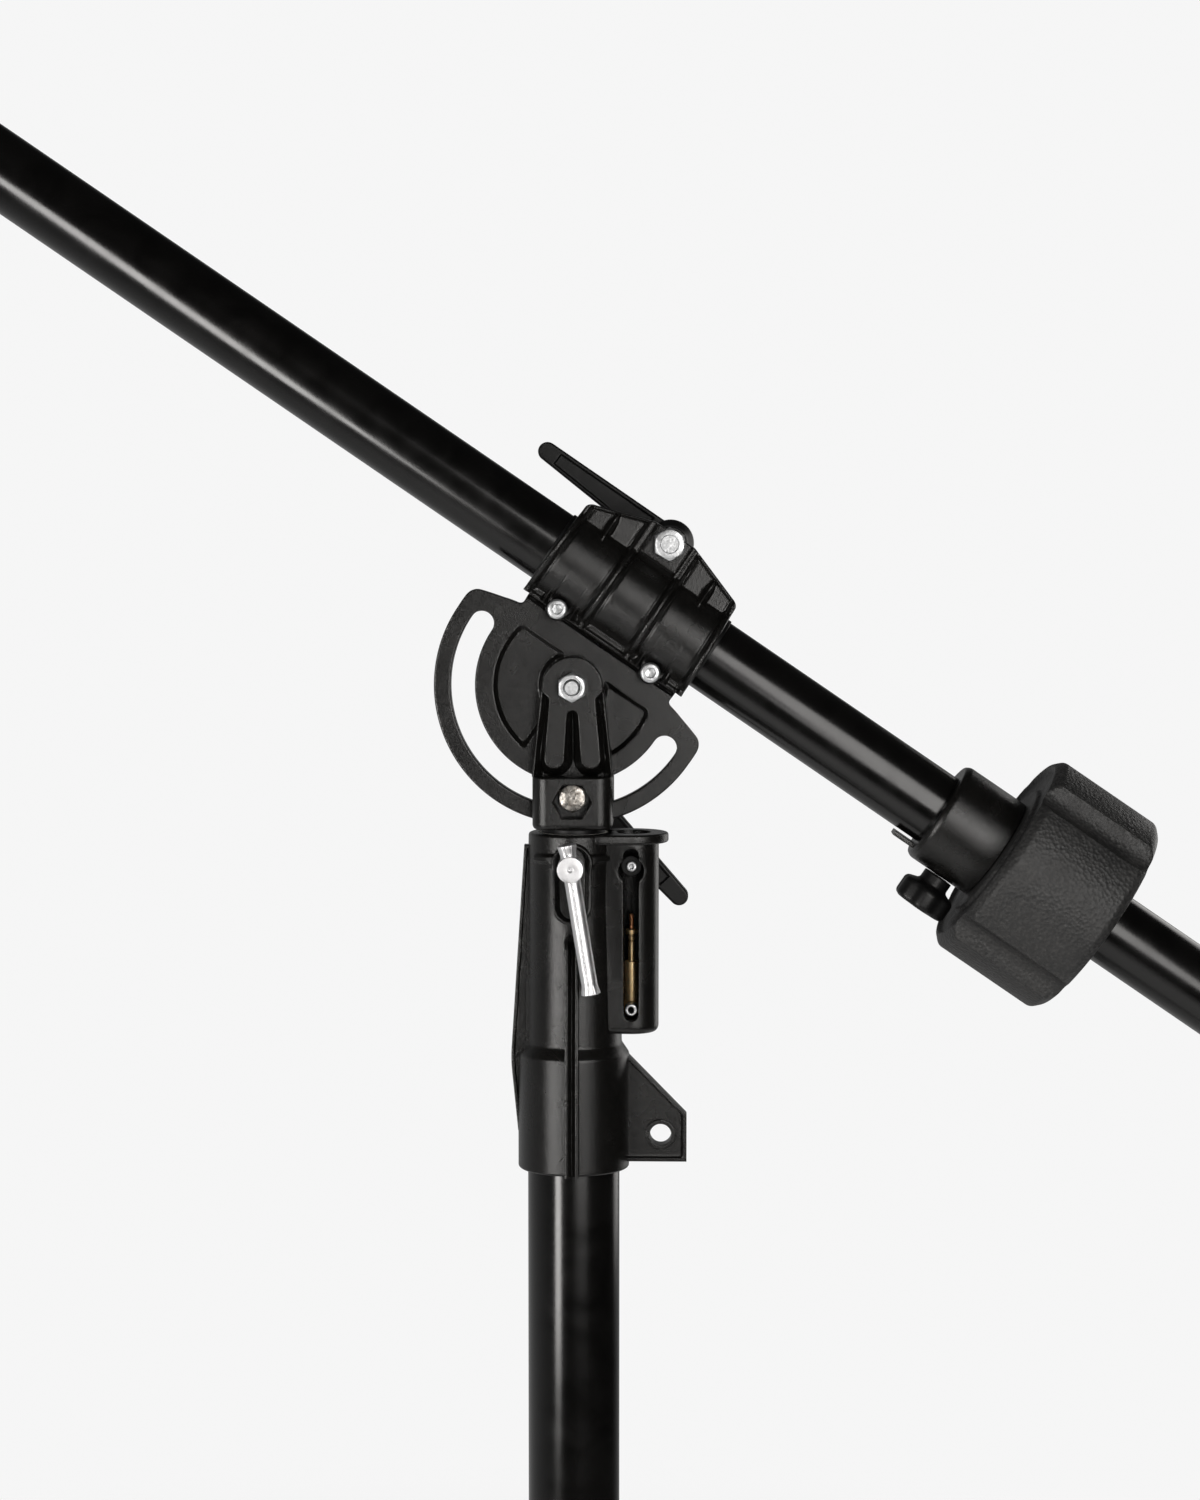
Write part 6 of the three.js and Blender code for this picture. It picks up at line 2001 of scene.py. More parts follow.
    def build(self) -> None:
        """Builds the wall and the ring round its mouth."""
        dress(self.wall(), Body.BASE, CASTING, "column_head")
        low = self.mouth - self.ring_thickness
        profile = filleted([
            (self.bore, low, 0.4), (self.ring_radius, low, 2), (self.ring_radius, self.mouth, 2),
            (self.bore, self.mouth, 0.9), (self.bore, low, 0),
        ], steps=8)
        axes = HEAD.moved(x=self.place).standing(HEAD.z, HEAD.x)
        ring = turned("side_tube_ring", profile, axes, FINE_STEPS, shape=self.clipped)
        dress(ring, Body.BASE, CASTING, "column_head")


@dataclass
class TensionRod:
    """What shows in the side tube: the hollow pin, the sleeve and its ball, the rod, the wire, the bolt."""

    place: float = 37.9
    pin_height: float = -210.5
    pin_radius: float = 4.05
    pin_bore: float = 2.1
    pin_front: float = 15.0
    pin_back: float = -22.0
    ball_radius: float = 6.6
    sleeve_radius: float = 4.8
    sleeve_top: float = -180.0
    rod_radius: float = 2.25
    rod_top: float = -159.2
    collar_radius: float = 4.0
    collar_length: float = 3.5
    wire_radius: float = 1.55
    wire_top: float = -149.0
    wire_pitch: float = 3.4
    bolt_height: float = -117.5
    bolt_head: float = 3.4
    bolt_front: float = 8.0
    bolt_head_length: float = 3.0
    washer_radius: float = 7.0
    washer_length: float = 2.0
    bolt_radius: float = 2.5

    def twisted(self, radius: Array, height: Array, angle: Array) -> Array:
        """Twists three strands into the wire: the radius dips between strands that climb with the angle."""
        lay = angle * 3 + height * TURN / self.wire_pitch
        return radius * (0.86 + 0.14 * np.abs(np.sin(lay / 2)))

    def build(self) -> None:
        """Builds the pieces from the pin up."""
        tube = HEAD.moved(x=self.place).standing(HEAD.z, HEAD.x)
        pin = facing(HEAD.moved(x=self.place, z=self.pin_height))
        profile = filleted([
            (self.pin_bore, self.pin_back, 0), (self.pin_radius, self.pin_back, 0.4),
            (self.pin_radius, self.pin_front, 0.9), (self.pin_bore, self.pin_front, 0.5),
            (self.pin_bore, self.pin_back, 0),
        ])
        dress(turned("anchor_pin_skin", profile, pin), Body.BASE, ZINC, "anchor_pin")
        swing = np.linspace(-math.pi / 2, math.pi / 2 * 0.5, 24)
        ball = self.ball_radius * np.stack([np.cos(swing), np.sin(swing)], axis=-1) + [0, self.pin_height]
        neck = filleted([
            (self.sleeve_radius, ball[-1, 1] + 1, 0), (self.sleeve_radius, self.sleeve_top, 0.7),
            (self.rod_radius + 0.4, self.sleeve_top, 0.3), (self.rod_radius + 0.3, self.sleeve_top - 3, 0),
            (0, self.sleeve_top - 3, 0),
        ])
        sleeve = turned("rod_sleeve_skin", np.concatenate([ball, neck]), tube)
        drilled(sleeve, pin, self.pin_radius + 0.1, self.ball_radius + 2.4)
        dress(sleeve, Body.BASE, BRASS, "rod_sleeve")
        low = self.rod_top - self.collar_length
        rod = filleted([
            (0, self.sleeve_top - 2.9, 0), (self.rod_radius, self.sleeve_top - 2.9, 0),
            (self.rod_radius, low - 5, 0), (self.rod_radius - 0.35, low - 4.6, 0.2),
            (self.rod_radius - 0.35, low - 4.0, 0.2), (self.rod_radius, low - 3.6, 0.2),
            (self.rod_radius, low, 0.3), (self.collar_radius, low, 0.6),
            (self.collar_radius, self.rod_top, 0.6), (self.wire_radius + 0.3, self.rod_top, 0.2),
            (self.wire_radius + 0.3, self.rod_top - 1.5, 0), (0, self.rod_top - 1.5, 0),
        ])
        dress(turned("tension_rod_skin", rod, tube), Body.BASE, BRASS, "tension_rod")
        climb = np.linspace(self.rod_top - 1.4, self.wire_top - 0.6, 60)
        wire = np.stack([np.full(climb.shape, self.wire_radius), climb], axis=-1)
        wire = np.concatenate([
            [(0, climb[0])], wire, [(self.wire_radius * 0.5, self.wire_top), (0, self.wire_top)],
        ])
        strands = turned("tension_wire_skin", wire, tube, shape=self.twisted)
        dress(strands, Body.BASE, COPPER, "tension_wire")
        bolt = facing(HEAD.moved(x=self.place, z=self.bolt_height))
        back = self.bolt_front - self.bolt_head_length
        head = filleted([
            (0, self.pin_back, 0), (self.bolt_radius, self.pin_back, 0), (self.bolt_radius, back - 0.5, 0),
            (self.bolt_head, back, 0.3), (self.bolt_head, self.bolt_front, 0.8), (1.5, self.bolt_front, 0.3),
            (1.3, self.bolt_front - 1.6, 0.3), (0, self.bolt_front - 1.6, 0),
        ])
        dress(turned("guide_bolt_skin", head, bolt), Body.BASE, ZINC, "guide_bolt")
        washer = filleted([
            (self.bolt_radius, back - self.washer_length, 0.3),
            (self.washer_radius, back - self.washer_length, 0.6), (self.washer_radius, back, 0.9),
            (self.bolt_radius, back, 0.3), (self.bolt_radius, back - self.washer_length, 0),
        ])
        dress(turned("guide_washer", washer, bolt), Body.BASE, PLASTIC, "guide_bolt")


@dataclass
class TeeHandle:
    """The T-handle that locks the column: a turned hub and a sliding bar."""

    height: float = -113.9
    front: float = 60.0
    hub_length: float = 16.0
    hub_radius: float = 8.5
    shank_radius: float = 6.0
    shank_end: float = 26.3
    dimple_radius: float = 1.6
    bar_radius: float = 5.2
    bar_length: float = 97.0
    bar_drop: float = 33.0
    tilt_degrees: float = 9.2
    flare_radius: float = 6.2
    flare_length: float = 6.5
    line_width: float = 0.12
    line_depth: float = 1.3
    serration: float = 1.6
    knurls: int = 22

    def fluted(self, radius: Array, height: Array, angle: Array) -> Array:
        """Sinks the serrated line along the front and the knurls round both flared ends.

        Args:
            radius: the profile's radius at each point.
            height: each point's height.
            angle: each point's angle.

        Returns:
            The radius less the line and the knurls.
        """
        apart = np.abs(np.mod(angle - math.radians(262), TURN) - math.pi)
        groove = np.exp(-((math.pi - apart) / self.line_width) ** 2)
        teeth = 0.7 + 0.3 * np.cos(TURN * height / self.serration)
        flare = ramp(np.abs(height), self.bar_length / 2 - self.flare_length * 1.2, self.bar_length / 2 - 2)
        knurl = 0.22 * (0.5 + 0.5 * np.cos(self.knurls * angle)) * flare
        full = radius > self.bar_radius * 0.8
        return radius - np.where(full, self.line_depth * groove * teeth * (1 - flare) + knurl, 0)

    def build(self) -> None:
        """Builds the hub, cross-drilled for the bar, and the bar."""
        place = HEAD.moved(z=self.height)
        back = self.front - self.hub_length
        full = self.hub_radius
        profile = filleted([
            (0, self.shank_end, 0), (self.shank_radius, self.shank_end, 0), (self.shank_radius, back, 0.3),
            (full, back, 0.8), (full, self.front, 0.9), (self.dimple_radius + 0.3, self.front, 0.3),
            (self.dimple_radius * 0.4, self.front - 1.3, 0.3), (0, self.front - 1.4, 0),
        ], steps=4)
        hub = turned("lock_screw_skin", profile, facing(place), FINE_STEPS)
        across = place.moved(y=-self.front + self.hub_length / 2).turned(self.tilt_degrees)
        bar_axes = across.standing(across.z, across.x)
        drilled(hub, bar_axes, self.bar_radius + 0.25, full + 2)
        dress(hub, Body.RISER_LOCK, ALUMINIUM, "lock_screw")
        half = self.bar_length / 2
        inner = np.linspace(-half + self.flare_length, half - self.flare_length, 330)
        flare = np.linspace(0, 1, 9)
        swell = self.bar_radius + (self.flare_radius - self.bar_radius) * ramp(flare, 0, 1)
        low = np.stack([swell[::-1], -half + 0.4 + (self.flare_length - 0.4) * flare], axis=-1)
        high = np.stack([swell, half - 0.4 - (self.flare_length - 0.4) * flare[::-1]], axis=-1)
        shaft = np.stack([np.full(inner.shape, self.bar_radius), inner], axis=-1)
        rim = self.flare_radius - 0.5
        profile = np.concatenate([
            [(0, -half + 0.9), (rim - 0.8, -half + 0.9), (rim, -half)], low[:-1], shaft, high[1:],
            [(rim, half), (rim - 0.8, half - 0.9), (0, half - 0.9)],
        ])
        dropped = bar_axes.moved(z=-self.bar_drop)
        bar = turned("lock_bar_skin", profile, dropped, FINE_STEPS, shape=self.fluted)
        dress(bar, Body.LOCK_BAR, ALUMINIUM, "lock_bar")


# The column, the base and the casters

def extruded(
    name: str, outline: Array, low: float, high: float, rounding: float, axes: Axes,
) -> Piece:
    """A plate of an outline drawn in x and z, its edges rounded, closed by fans to its middle.

    Args:
        name: the piece's name.
        outline: the closed outline's points, anticlockwise, without repeating the first.
        low: where the plate starts along y.
        high: where it ends.
        rounding: the rounding of its edges.
        axes: the axes that it is drawn on.

    Returns:
        The object: the outline moved in along its normals as the edge curves, and its middle at both faces.
    """
    step = np.roll(outline, -1, axis=0) - np.roll(outline, 1, axis=0)
    normal = np.stack([step[:, 1], -step[:, 0]], axis=-1)
    normal /= np.maximum(np.linalg.norm(normal, axis=1, keepdims=True), TINY)
    turn = np.linspace(0, math.pi / 2, 5)
    inset = rounding * (1 - np.sin(turn))
    rise = rounding * (1 - np.cos(turn))
    middle = np.broadcast_to(outline.mean(axis=0), outline.shape)
    rows = [(middle, low)] + [(outline - normal * i, low + r) for i, r in zip(inset, rise)]
    rows += [(outline - normal * i, high - r) for i, r in zip(inset[::-1], rise[::-1])] + [(middle, high)]
    grid = np.stack([np.insert(points, 1, y, axis=1) for points, y in rows])
    return skin(name, grid, axes)


def capsule(length: float, radius: float, steps: int = 24) -> Array:
    """A straight-sided outline.

    Args:
        length: where its round end's middle lies along x.
        radius: half its width.
        steps: points round its end.

    Returns:
        Points from x = 0, where it is square, round its end and back.
    """
    turn = np.linspace(-math.pi / 2, math.pi / 2, steps)
    arc = np.stack([length + radius * np.cos(turn), radius * np.sin(turn)], axis=-1)
    side = np.linspace(0, length, 8)[1:-1]
    low = np.stack([side, np.full(side.shape, -radius)], axis=-1)
    high = np.stack([side[::-1], np.full(side.shape, radius)], axis=-1)
    ends = np.linspace(radius, -radius, 6)
    back = np.stack([np.zeros(6), ends], axis=-1)
    return np.concatenate([back, low, arc, high])


@dataclass
class ColumnTubes:
    """The column tube, the riser tube in it and the thin rings round them."""

    column_radius: float = 30.0
    column_wall: float = 3.0
    column_bottom: float = 106.0
    column_top: float = 937.7
    riser_radius: float = 20.5
    riser_wall: float = 2.5
    riser_top: float = -94.4
    riser_shown: float = -96.6
    riser_length: float = 820.0
    washer_top: float = -92.6

    def pipe(self, name: str, radius: float, wall: float, low: float, high: float, axes: Axes) -> Piece:
        """A tube round an axis.

        Args:
            name: the piece's name.
            radius: its outside radius.
            wall: its wall's thickness.
            low: its lower end.
            high: its upper end.
            axes: it stands along their z.

        Returns:
            The tube, its rims a little rounded.
        """
        bore = radius - wall
        profile = filleted([
            (bore, low, 0), (radius, low, 0.5), (radius, high, 0.5), (bore, high, 0.3), (bore, low, 0),
        ])
        return turned(name, profile, axes, FINE_STEPS)

    def build(self) -> None:
        """Builds both tubes and the swivel washer."""
        floor = FLOOR.standing(FLOOR.z, FLOOR.x)
        column = self.pipe(
            "column_tube_skin", self.column_radius, self.column_wall, self.column_bottom, self.column_top,
            floor)
        dress(column, Body.BASE, TUBE_BLACK, "column_tube")
        riser = self.pipe(
            "riser_tube_skin", self.riser_radius, self.riser_wall, self.riser_top - self.riser_length,
            self.riser_shown, COLUMN)
        dress(riser, Body.RISER, ALUMINIUM, "riser_tube")
        washer = self.pipe(
            "swivel_washer_skin", self.riser_radius, self.riser_wall, self.riser_shown + 0.05,
            self.washer_top,
            COLUMN)
        dress(washer, Body.RISER, PLASTIC, "swivel_washer")


@dataclass
class Base:
    """The hub with its sockets and the three legs."""

    hub_radius: float = 48.0
    bottom: float = 98.0
    top: float = 190.0
    neck_radius: float = 35.0
    shoulder: float = 146.0
    bore: float = 30.3
    bore_floor: float = 105.0
    socket_reach: float = 92.0
    socket_half: float = 28.3
    socket_top: float = 141.3
    socket_wall: float = 5.0
    leg_half: float = 23.0
    leg_bottom: float = 106.0
    leg_top: float = 136.0
    leg_start: float = 52.0
    leg_reach: float = 545.0
    leg_round: float = 5.0
    legs: int = 3
    first_degrees: float = 90.0

    def spoke(self, index: int) -> Axes:
        """The axes of one leg.

        Args:
            index: the leg's number, from 0.

        Returns:
            The floor's axes with x along the leg, y up and z across.
        """
        angle = math.radians(self.first_degrees + index * 360 / self.legs)
        along = np.array([math.cos(angle), math.sin(angle), 0.0])
        return Axes(FLOOR.origin, along, UPRIGHT, np.cross(along, UPRIGHT))

    def socket(self, index: int) -> Piece:
        """The hub's socket for one leg.

        Args:
            index: the leg's number, from 0.

        Returns:
            Rings of a rounded rectangle, out along the outside and back along the inside.
        """
        angle = np.linspace(0, TURN, 80, endpoint=False)

        def ring(half: float, low: float, high: float, rounding: float) -> Array:
            """A rounded rectangle from low to high, reaching half to both sides."""
            corner = np.stack([np.sign(np.cos(angle)) * (half - rounding), np.sign(np.sin(angle))], axis=-1)
            tall = (high + low) / 2 + corner[:, 1] * ((high - low) / 2 - rounding) + rounding * np.sin(angle)
            return np.stack([tall, corner[:, 0] + rounding * np.cos(angle)], axis=-1)

        wall, outer, reach = self.socket_wall, self.socket_half, self.socket_reach
        rows = [
            (30.0, ring(outer, self.bottom, self.socket_top, 4)),
            (reach - 2, ring(outer, self.bottom, self.socket_top, 4)),
            (reach - 0.6, ring(outer - 0.6, self.bottom + 0.6, self.socket_top - 0.6, 4)),
            (reach, ring(outer - 2, self.bottom + 2, self.socket_top - 2, 4)),
            (reach, ring(outer - wall + 0.6, self.leg_bottom - 0.9, self.leg_top + 0.9, 4)),
            (reach - 0.8, ring(outer - wall, self.leg_bottom - 0.3, self.leg_top + 0.3, 4)),
            (30.0, ring(outer - wall, self.leg_bottom - 0.3, self.leg_top + 0.3, 4)),
        ]
        grid = np.stack([np.insert(points, 0, x, axis=1) for x, points in rows])
        return skin(f"leg_socket_{index + 1}", grid, self.spoke(index), wrap_rows=True)

    def build(self) -> None:
        """Builds the hub, its sockets and the legs."""
        profile = filleted([
            (0, self.bottom, 0), (self.hub_radius, self.bottom, 3), (self.hub_radius, self.shoulder, 8),
            (self.neck_radius + 2, self.top - 18, 8), (self.neck_radius, self.top, 1.5),
            (self.bore, self.top, 0.8), (self.bore, self.bore_floor, 0), (0, self.bore_floor, 0),
        ], steps=8)
        floor = FLOOR.standing(FLOOR.z, FLOOR.x)
        hub = turned("base_hub_skin", profile, floor, FINE_STEPS)
        dress(hub, Body.BASE, CASTING, "base_hub")
        for index in range(self.legs):
            dress(self.socket(index), Body.BASE, CASTING, "base_hub")
            axes = self.spoke(index).moved(x=self.leg_start)
            outline = capsule(self.leg_reach - self.leg_start, self.leg_half)
            leg = extruded(
                f"leg_{index + 1}_skin", outline, self.leg_bottom, self.leg_top, self.leg_round, axes)
            dress(leg, Body.BASE, TUBE_BLACK, f"leg_{index + 1}")
            Caster(index + 1, self.spoke(index).moved(x=self.leg_reach)).build()


@dataclass
class Caster:
    """A braked caster under a leg's end; its axes have x along the leg, y up and z across."""

    number: int
    axes: Axes
    wheel_radius: float = 37.5
    wheel_half: float = 11.0
    rim_radius: float = 27.0
    rim_inset: float = 2.5
    hub_radius: float = 10.0
    bore: float = 4.3
    spokes: int = 8
    trail: float = 28.0
    cheek_gap: float = 13.0
    cheek: float = 3.0
    foot: float = 9.0
    crown: float = 19.0
    crown_bottom: float = 80.0
    crown_top: float = 84.0
    race: float = 16.0
    race_top: float = 105.7
    axle_radius: float = 4.0
    axle_head: float = 6.5
    axle_head_length: float = 3.5
    ear: float = 6.5
    rivet_radius: float = 3.6
    rivet_height: float = 1.5
    pedal: Point = (55.0, 73.5)
    pedal_length: float = 30.0
    pedal_half: float = 12.0
    pedal_rise: float = 9.0
    pedal_thickness: float = 4.0
    pedal_hub: float = 4.0

    def rim(self, upright: Axes) -> Piece:
        """The wheel's centre.

        Args:
            upright: axes at the wheel's middle, with z along its axle.

        Returns:
            A disc whose faces sink between its hub, its ribs and its rim.
        """
        radius = (self.bore + paced(46, self.rim_radius, 2.0) * (self.rim_radius + 0.3 - self.bore))[:, None]
        angle = np.linspace(0, TURN, 240, endpoint=False)[None, :]
        inside = np.minimum(radius - self.hub_radius, self.rim_radius - 2.2 - radius)
        sector = TURN / self.spokes
        across = radius * np.abs(np.sin(np.mod(angle, sector) - sector / 2))
        inside = np.minimum(inside, across - 1.3)
        depth = self.wheel_half - 0.4 - (self.rim_inset + 1.2) * ramp(inside, 0, 1.4)
        depth = depth - edge_round(radius - self.bore, 0.6)
        x, y = radius * np.cos(angle), radius * np.sin(angle)
        sheets = [np.stack([x, y, side * depth], axis=-1) for side in (1.0, -1.0)]
        grid = np.concatenate([sheets[0], sheets[1][::-1]])
        return skin(f"wheel_{self.number}_rim", grid, upright, wrap_rows=True)

    def build(self) -> None:
        """Builds the fork, the axle, the wheel and the brake."""
        number = self.number
        body, wheel_body, brake_body = f"caster_{number}", f"wheel_{number}", f"brake_{number}"
        flat = Axes(self.axes.origin, self.axes.x, self.axes.z, self.axes.y)
        centre = flat.moved(x=self.trail, z=self.wheel_radius)
        upright = centre.standing(-centre.y, centre.x)
        half, rim = self.wheel_half, self.rim_radius
        tyre = filleted([
            (rim + 0.3, -half + 1, 0.5), (rim + 1.5, -half, 0.8), (self.wheel_radius - 4, -half, 3),
            (self.wheel_radius, -half + 4, 3), (self.wheel_radius, half - 4, 3),
            (self.wheel_radius - 4, half, 3), (rim + 1.5, half, 0.8), (rim + 0.3, half - 1, 0.5),
            (rim + 0.3, -half + 1, 0),
        ])
        node = f"caster_wheel_{number}"
        dress(turned(f"wheel_{number}_tyre", tyre, upright, FINE_STEPS), wheel_body, RUBBER, node)
        dress(self.rim(upright), wheel_body, PLASTIC, node)
        seat = self.cheek_gap + self.cheek + CLEARANCE
        end = seat + self.axle_head_length
        axle = filleted([
            (0, -end, 0), (self.axle_head, -end, 1), (self.axle_head, -seat, 0.3),
            (self.axle_radius, -seat, 0), (self.axle_radius, seat, 0), (self.axle_head, seat, 0.3),
            (self.axle_head, end, 1), (0, end, 0),
        ])
        dress(turned(f"caster_axle_{number}_skin", axle, upright), body, ZINC, f"caster_axle_{number}")
        self.fork(flat, body)
        self.brake(flat, brake_body)

    def fork(self, flat: Axes, body: str) -> None:
        """Builds the crown, the race and both cheeks, each with its pin's rivet.

        Args:
            flat: axes on the floor with x along the leg and z up.
            body: the body that the fork rides on.
        """
        node = f"caster_fork_{self.number}"
        x, z = self.pedal
        foot = self.wheel_radius
        cheek = filleted([
            (-self.crown, self.crown_top, 0), (-self.crown, self.crown_bottom - 6, 5),
            (-self.crown * 0.5, self.crown_bottom - self.crown, 6), (self.trail - self.foot, foot, 6),
            (self.trail, foot - self.foot * 1.4, 9), (self.trail + self.foot, foot, 6),
            (x + self.ear, z - self.ear * 0.6, 4), (x + self.ear * 0.8, z + self.ear * 0.8, 4),
            (x - self.ear, z + self.ear, 4), (self.crown, self.crown_top, 2),
        ])
        for side, word in ((-1, "front"), (1, "rear")):
            near, far = sorted((side * self.cheek_gap, side * (self.cheek_gap + self.cheek)))
            plate = extruded(f"fork_{self.number}_cheek_{word}", cheek, near, far, 0.9, flat)
            dress(plate, body, ZINC, node)
            full, rise = self.rivet_radius, self.rivet_height
            rivet = filleted([(0, 0, 0), (full, 0, 0.2), (full - 0.2, rise - 0.3, 0.9), (0, rise, 0)])
            place = flat.moved(x=x, y=side * (self.cheek_gap + self.cheek), z=z)
            head = turned(f"fork_{self.number}_rivet_{word}", rivet, place.standing(place.y * side, place.x))
            dress(head, body, ZINC, node)
        low = self.crown_bottom
        span = self.cheek_gap + self.cheek
        high = self.crown_top
        crown = np.array([(-self.crown, low), (self.crown, low), (self.crown, high), (-self.crown, high)])
        dress(extruded(f"fork_{self.number}_crown", crown, -span, span, 0.8, flat), body, ZINC, node)
        race = filleted([
            (0, self.crown_top - 1, 0), (self.race, self.crown_top - 1, 0),
            (self.race, self.crown_top + 6, 1.5), (self.race - 2.5, self.crown_top + 8, 1),
            (self.race - 2.5, self.crown_top + 10, 1), (self.race, self.crown_top + 12, 1.5),
            (self.race, self.race_top, 1), (0, self.race_top, 0),
        ])
        dress(turned(f"fork_{self.number}_race", race, flat.standing(flat.z, flat.x)), body, ZINC, node)

    def brake(self, flat: Axes, body: str) -> None:
        """Builds the pedal: a ribbed plate on a round hub between the cheeks.

        Args:
            flat: axes on the floor with x along the leg and z up.
            body: the body that the pedal rides on.
        """
        x, z = self.pedal
        place = flat.moved(x=x, z=z)
        node = f"caster_brake_{self.number}"
        rise, thick = self.pedal_rise, self.pedal_thickness
        reach = np.linspace(0.2, 1, 17)
        ridge = 0.35 * (np.arange(17) % 2)
        climb = self.pedal_hub + (rise - self.pedal_hub) * reach - ridge
        top = np.stack([reach * self.pedal_length, climb], axis=-1)
        outline = np.concatenate([
            [(0, -thick / 2), (self.pedal_length - 1.5, rise - thick), (self.pedal_length, rise - thick + 1)],
            top[::-1], [(0, self.pedal_hub - 0.2)],
        ])
        plate = extruded(f"brake_{self.number}_pedal", outline, -self.pedal_half, self.pedal_half, 0.7, place)
        dress(plate, body, PLASTIC, node)
        span = self.cheek_gap - CLEARANCE
        full = self.pedal_hub
        hub = filleted([(0, -span, 0), (full, -span, 0.5), (full, span, 0.5), (0, span, 0)])
        dress(turned(f"brake_{self.number}_hub", hub, place.standing(-place.y, place.x)), body, PLASTIC, node)


# Nodes that keep their solids

def dress_hidden_pieces() -> None:
    """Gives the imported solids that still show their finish: bushes, discs and washers."""
    slots = {row["node"]: row["material_slot"] for row in frame["record"]["subparts"]}
    for name, node in frame["nodes"].items():
        if node.hide_render:
            continue
        finish = FINISH_OF_SLOT[slots[name]]
        node.data.materials.clear()
        node.data.materials.append(finish.material())
        log.info("%s keeps its solid in %s", name, finish.slot)


# Camera, lamps and backdrop

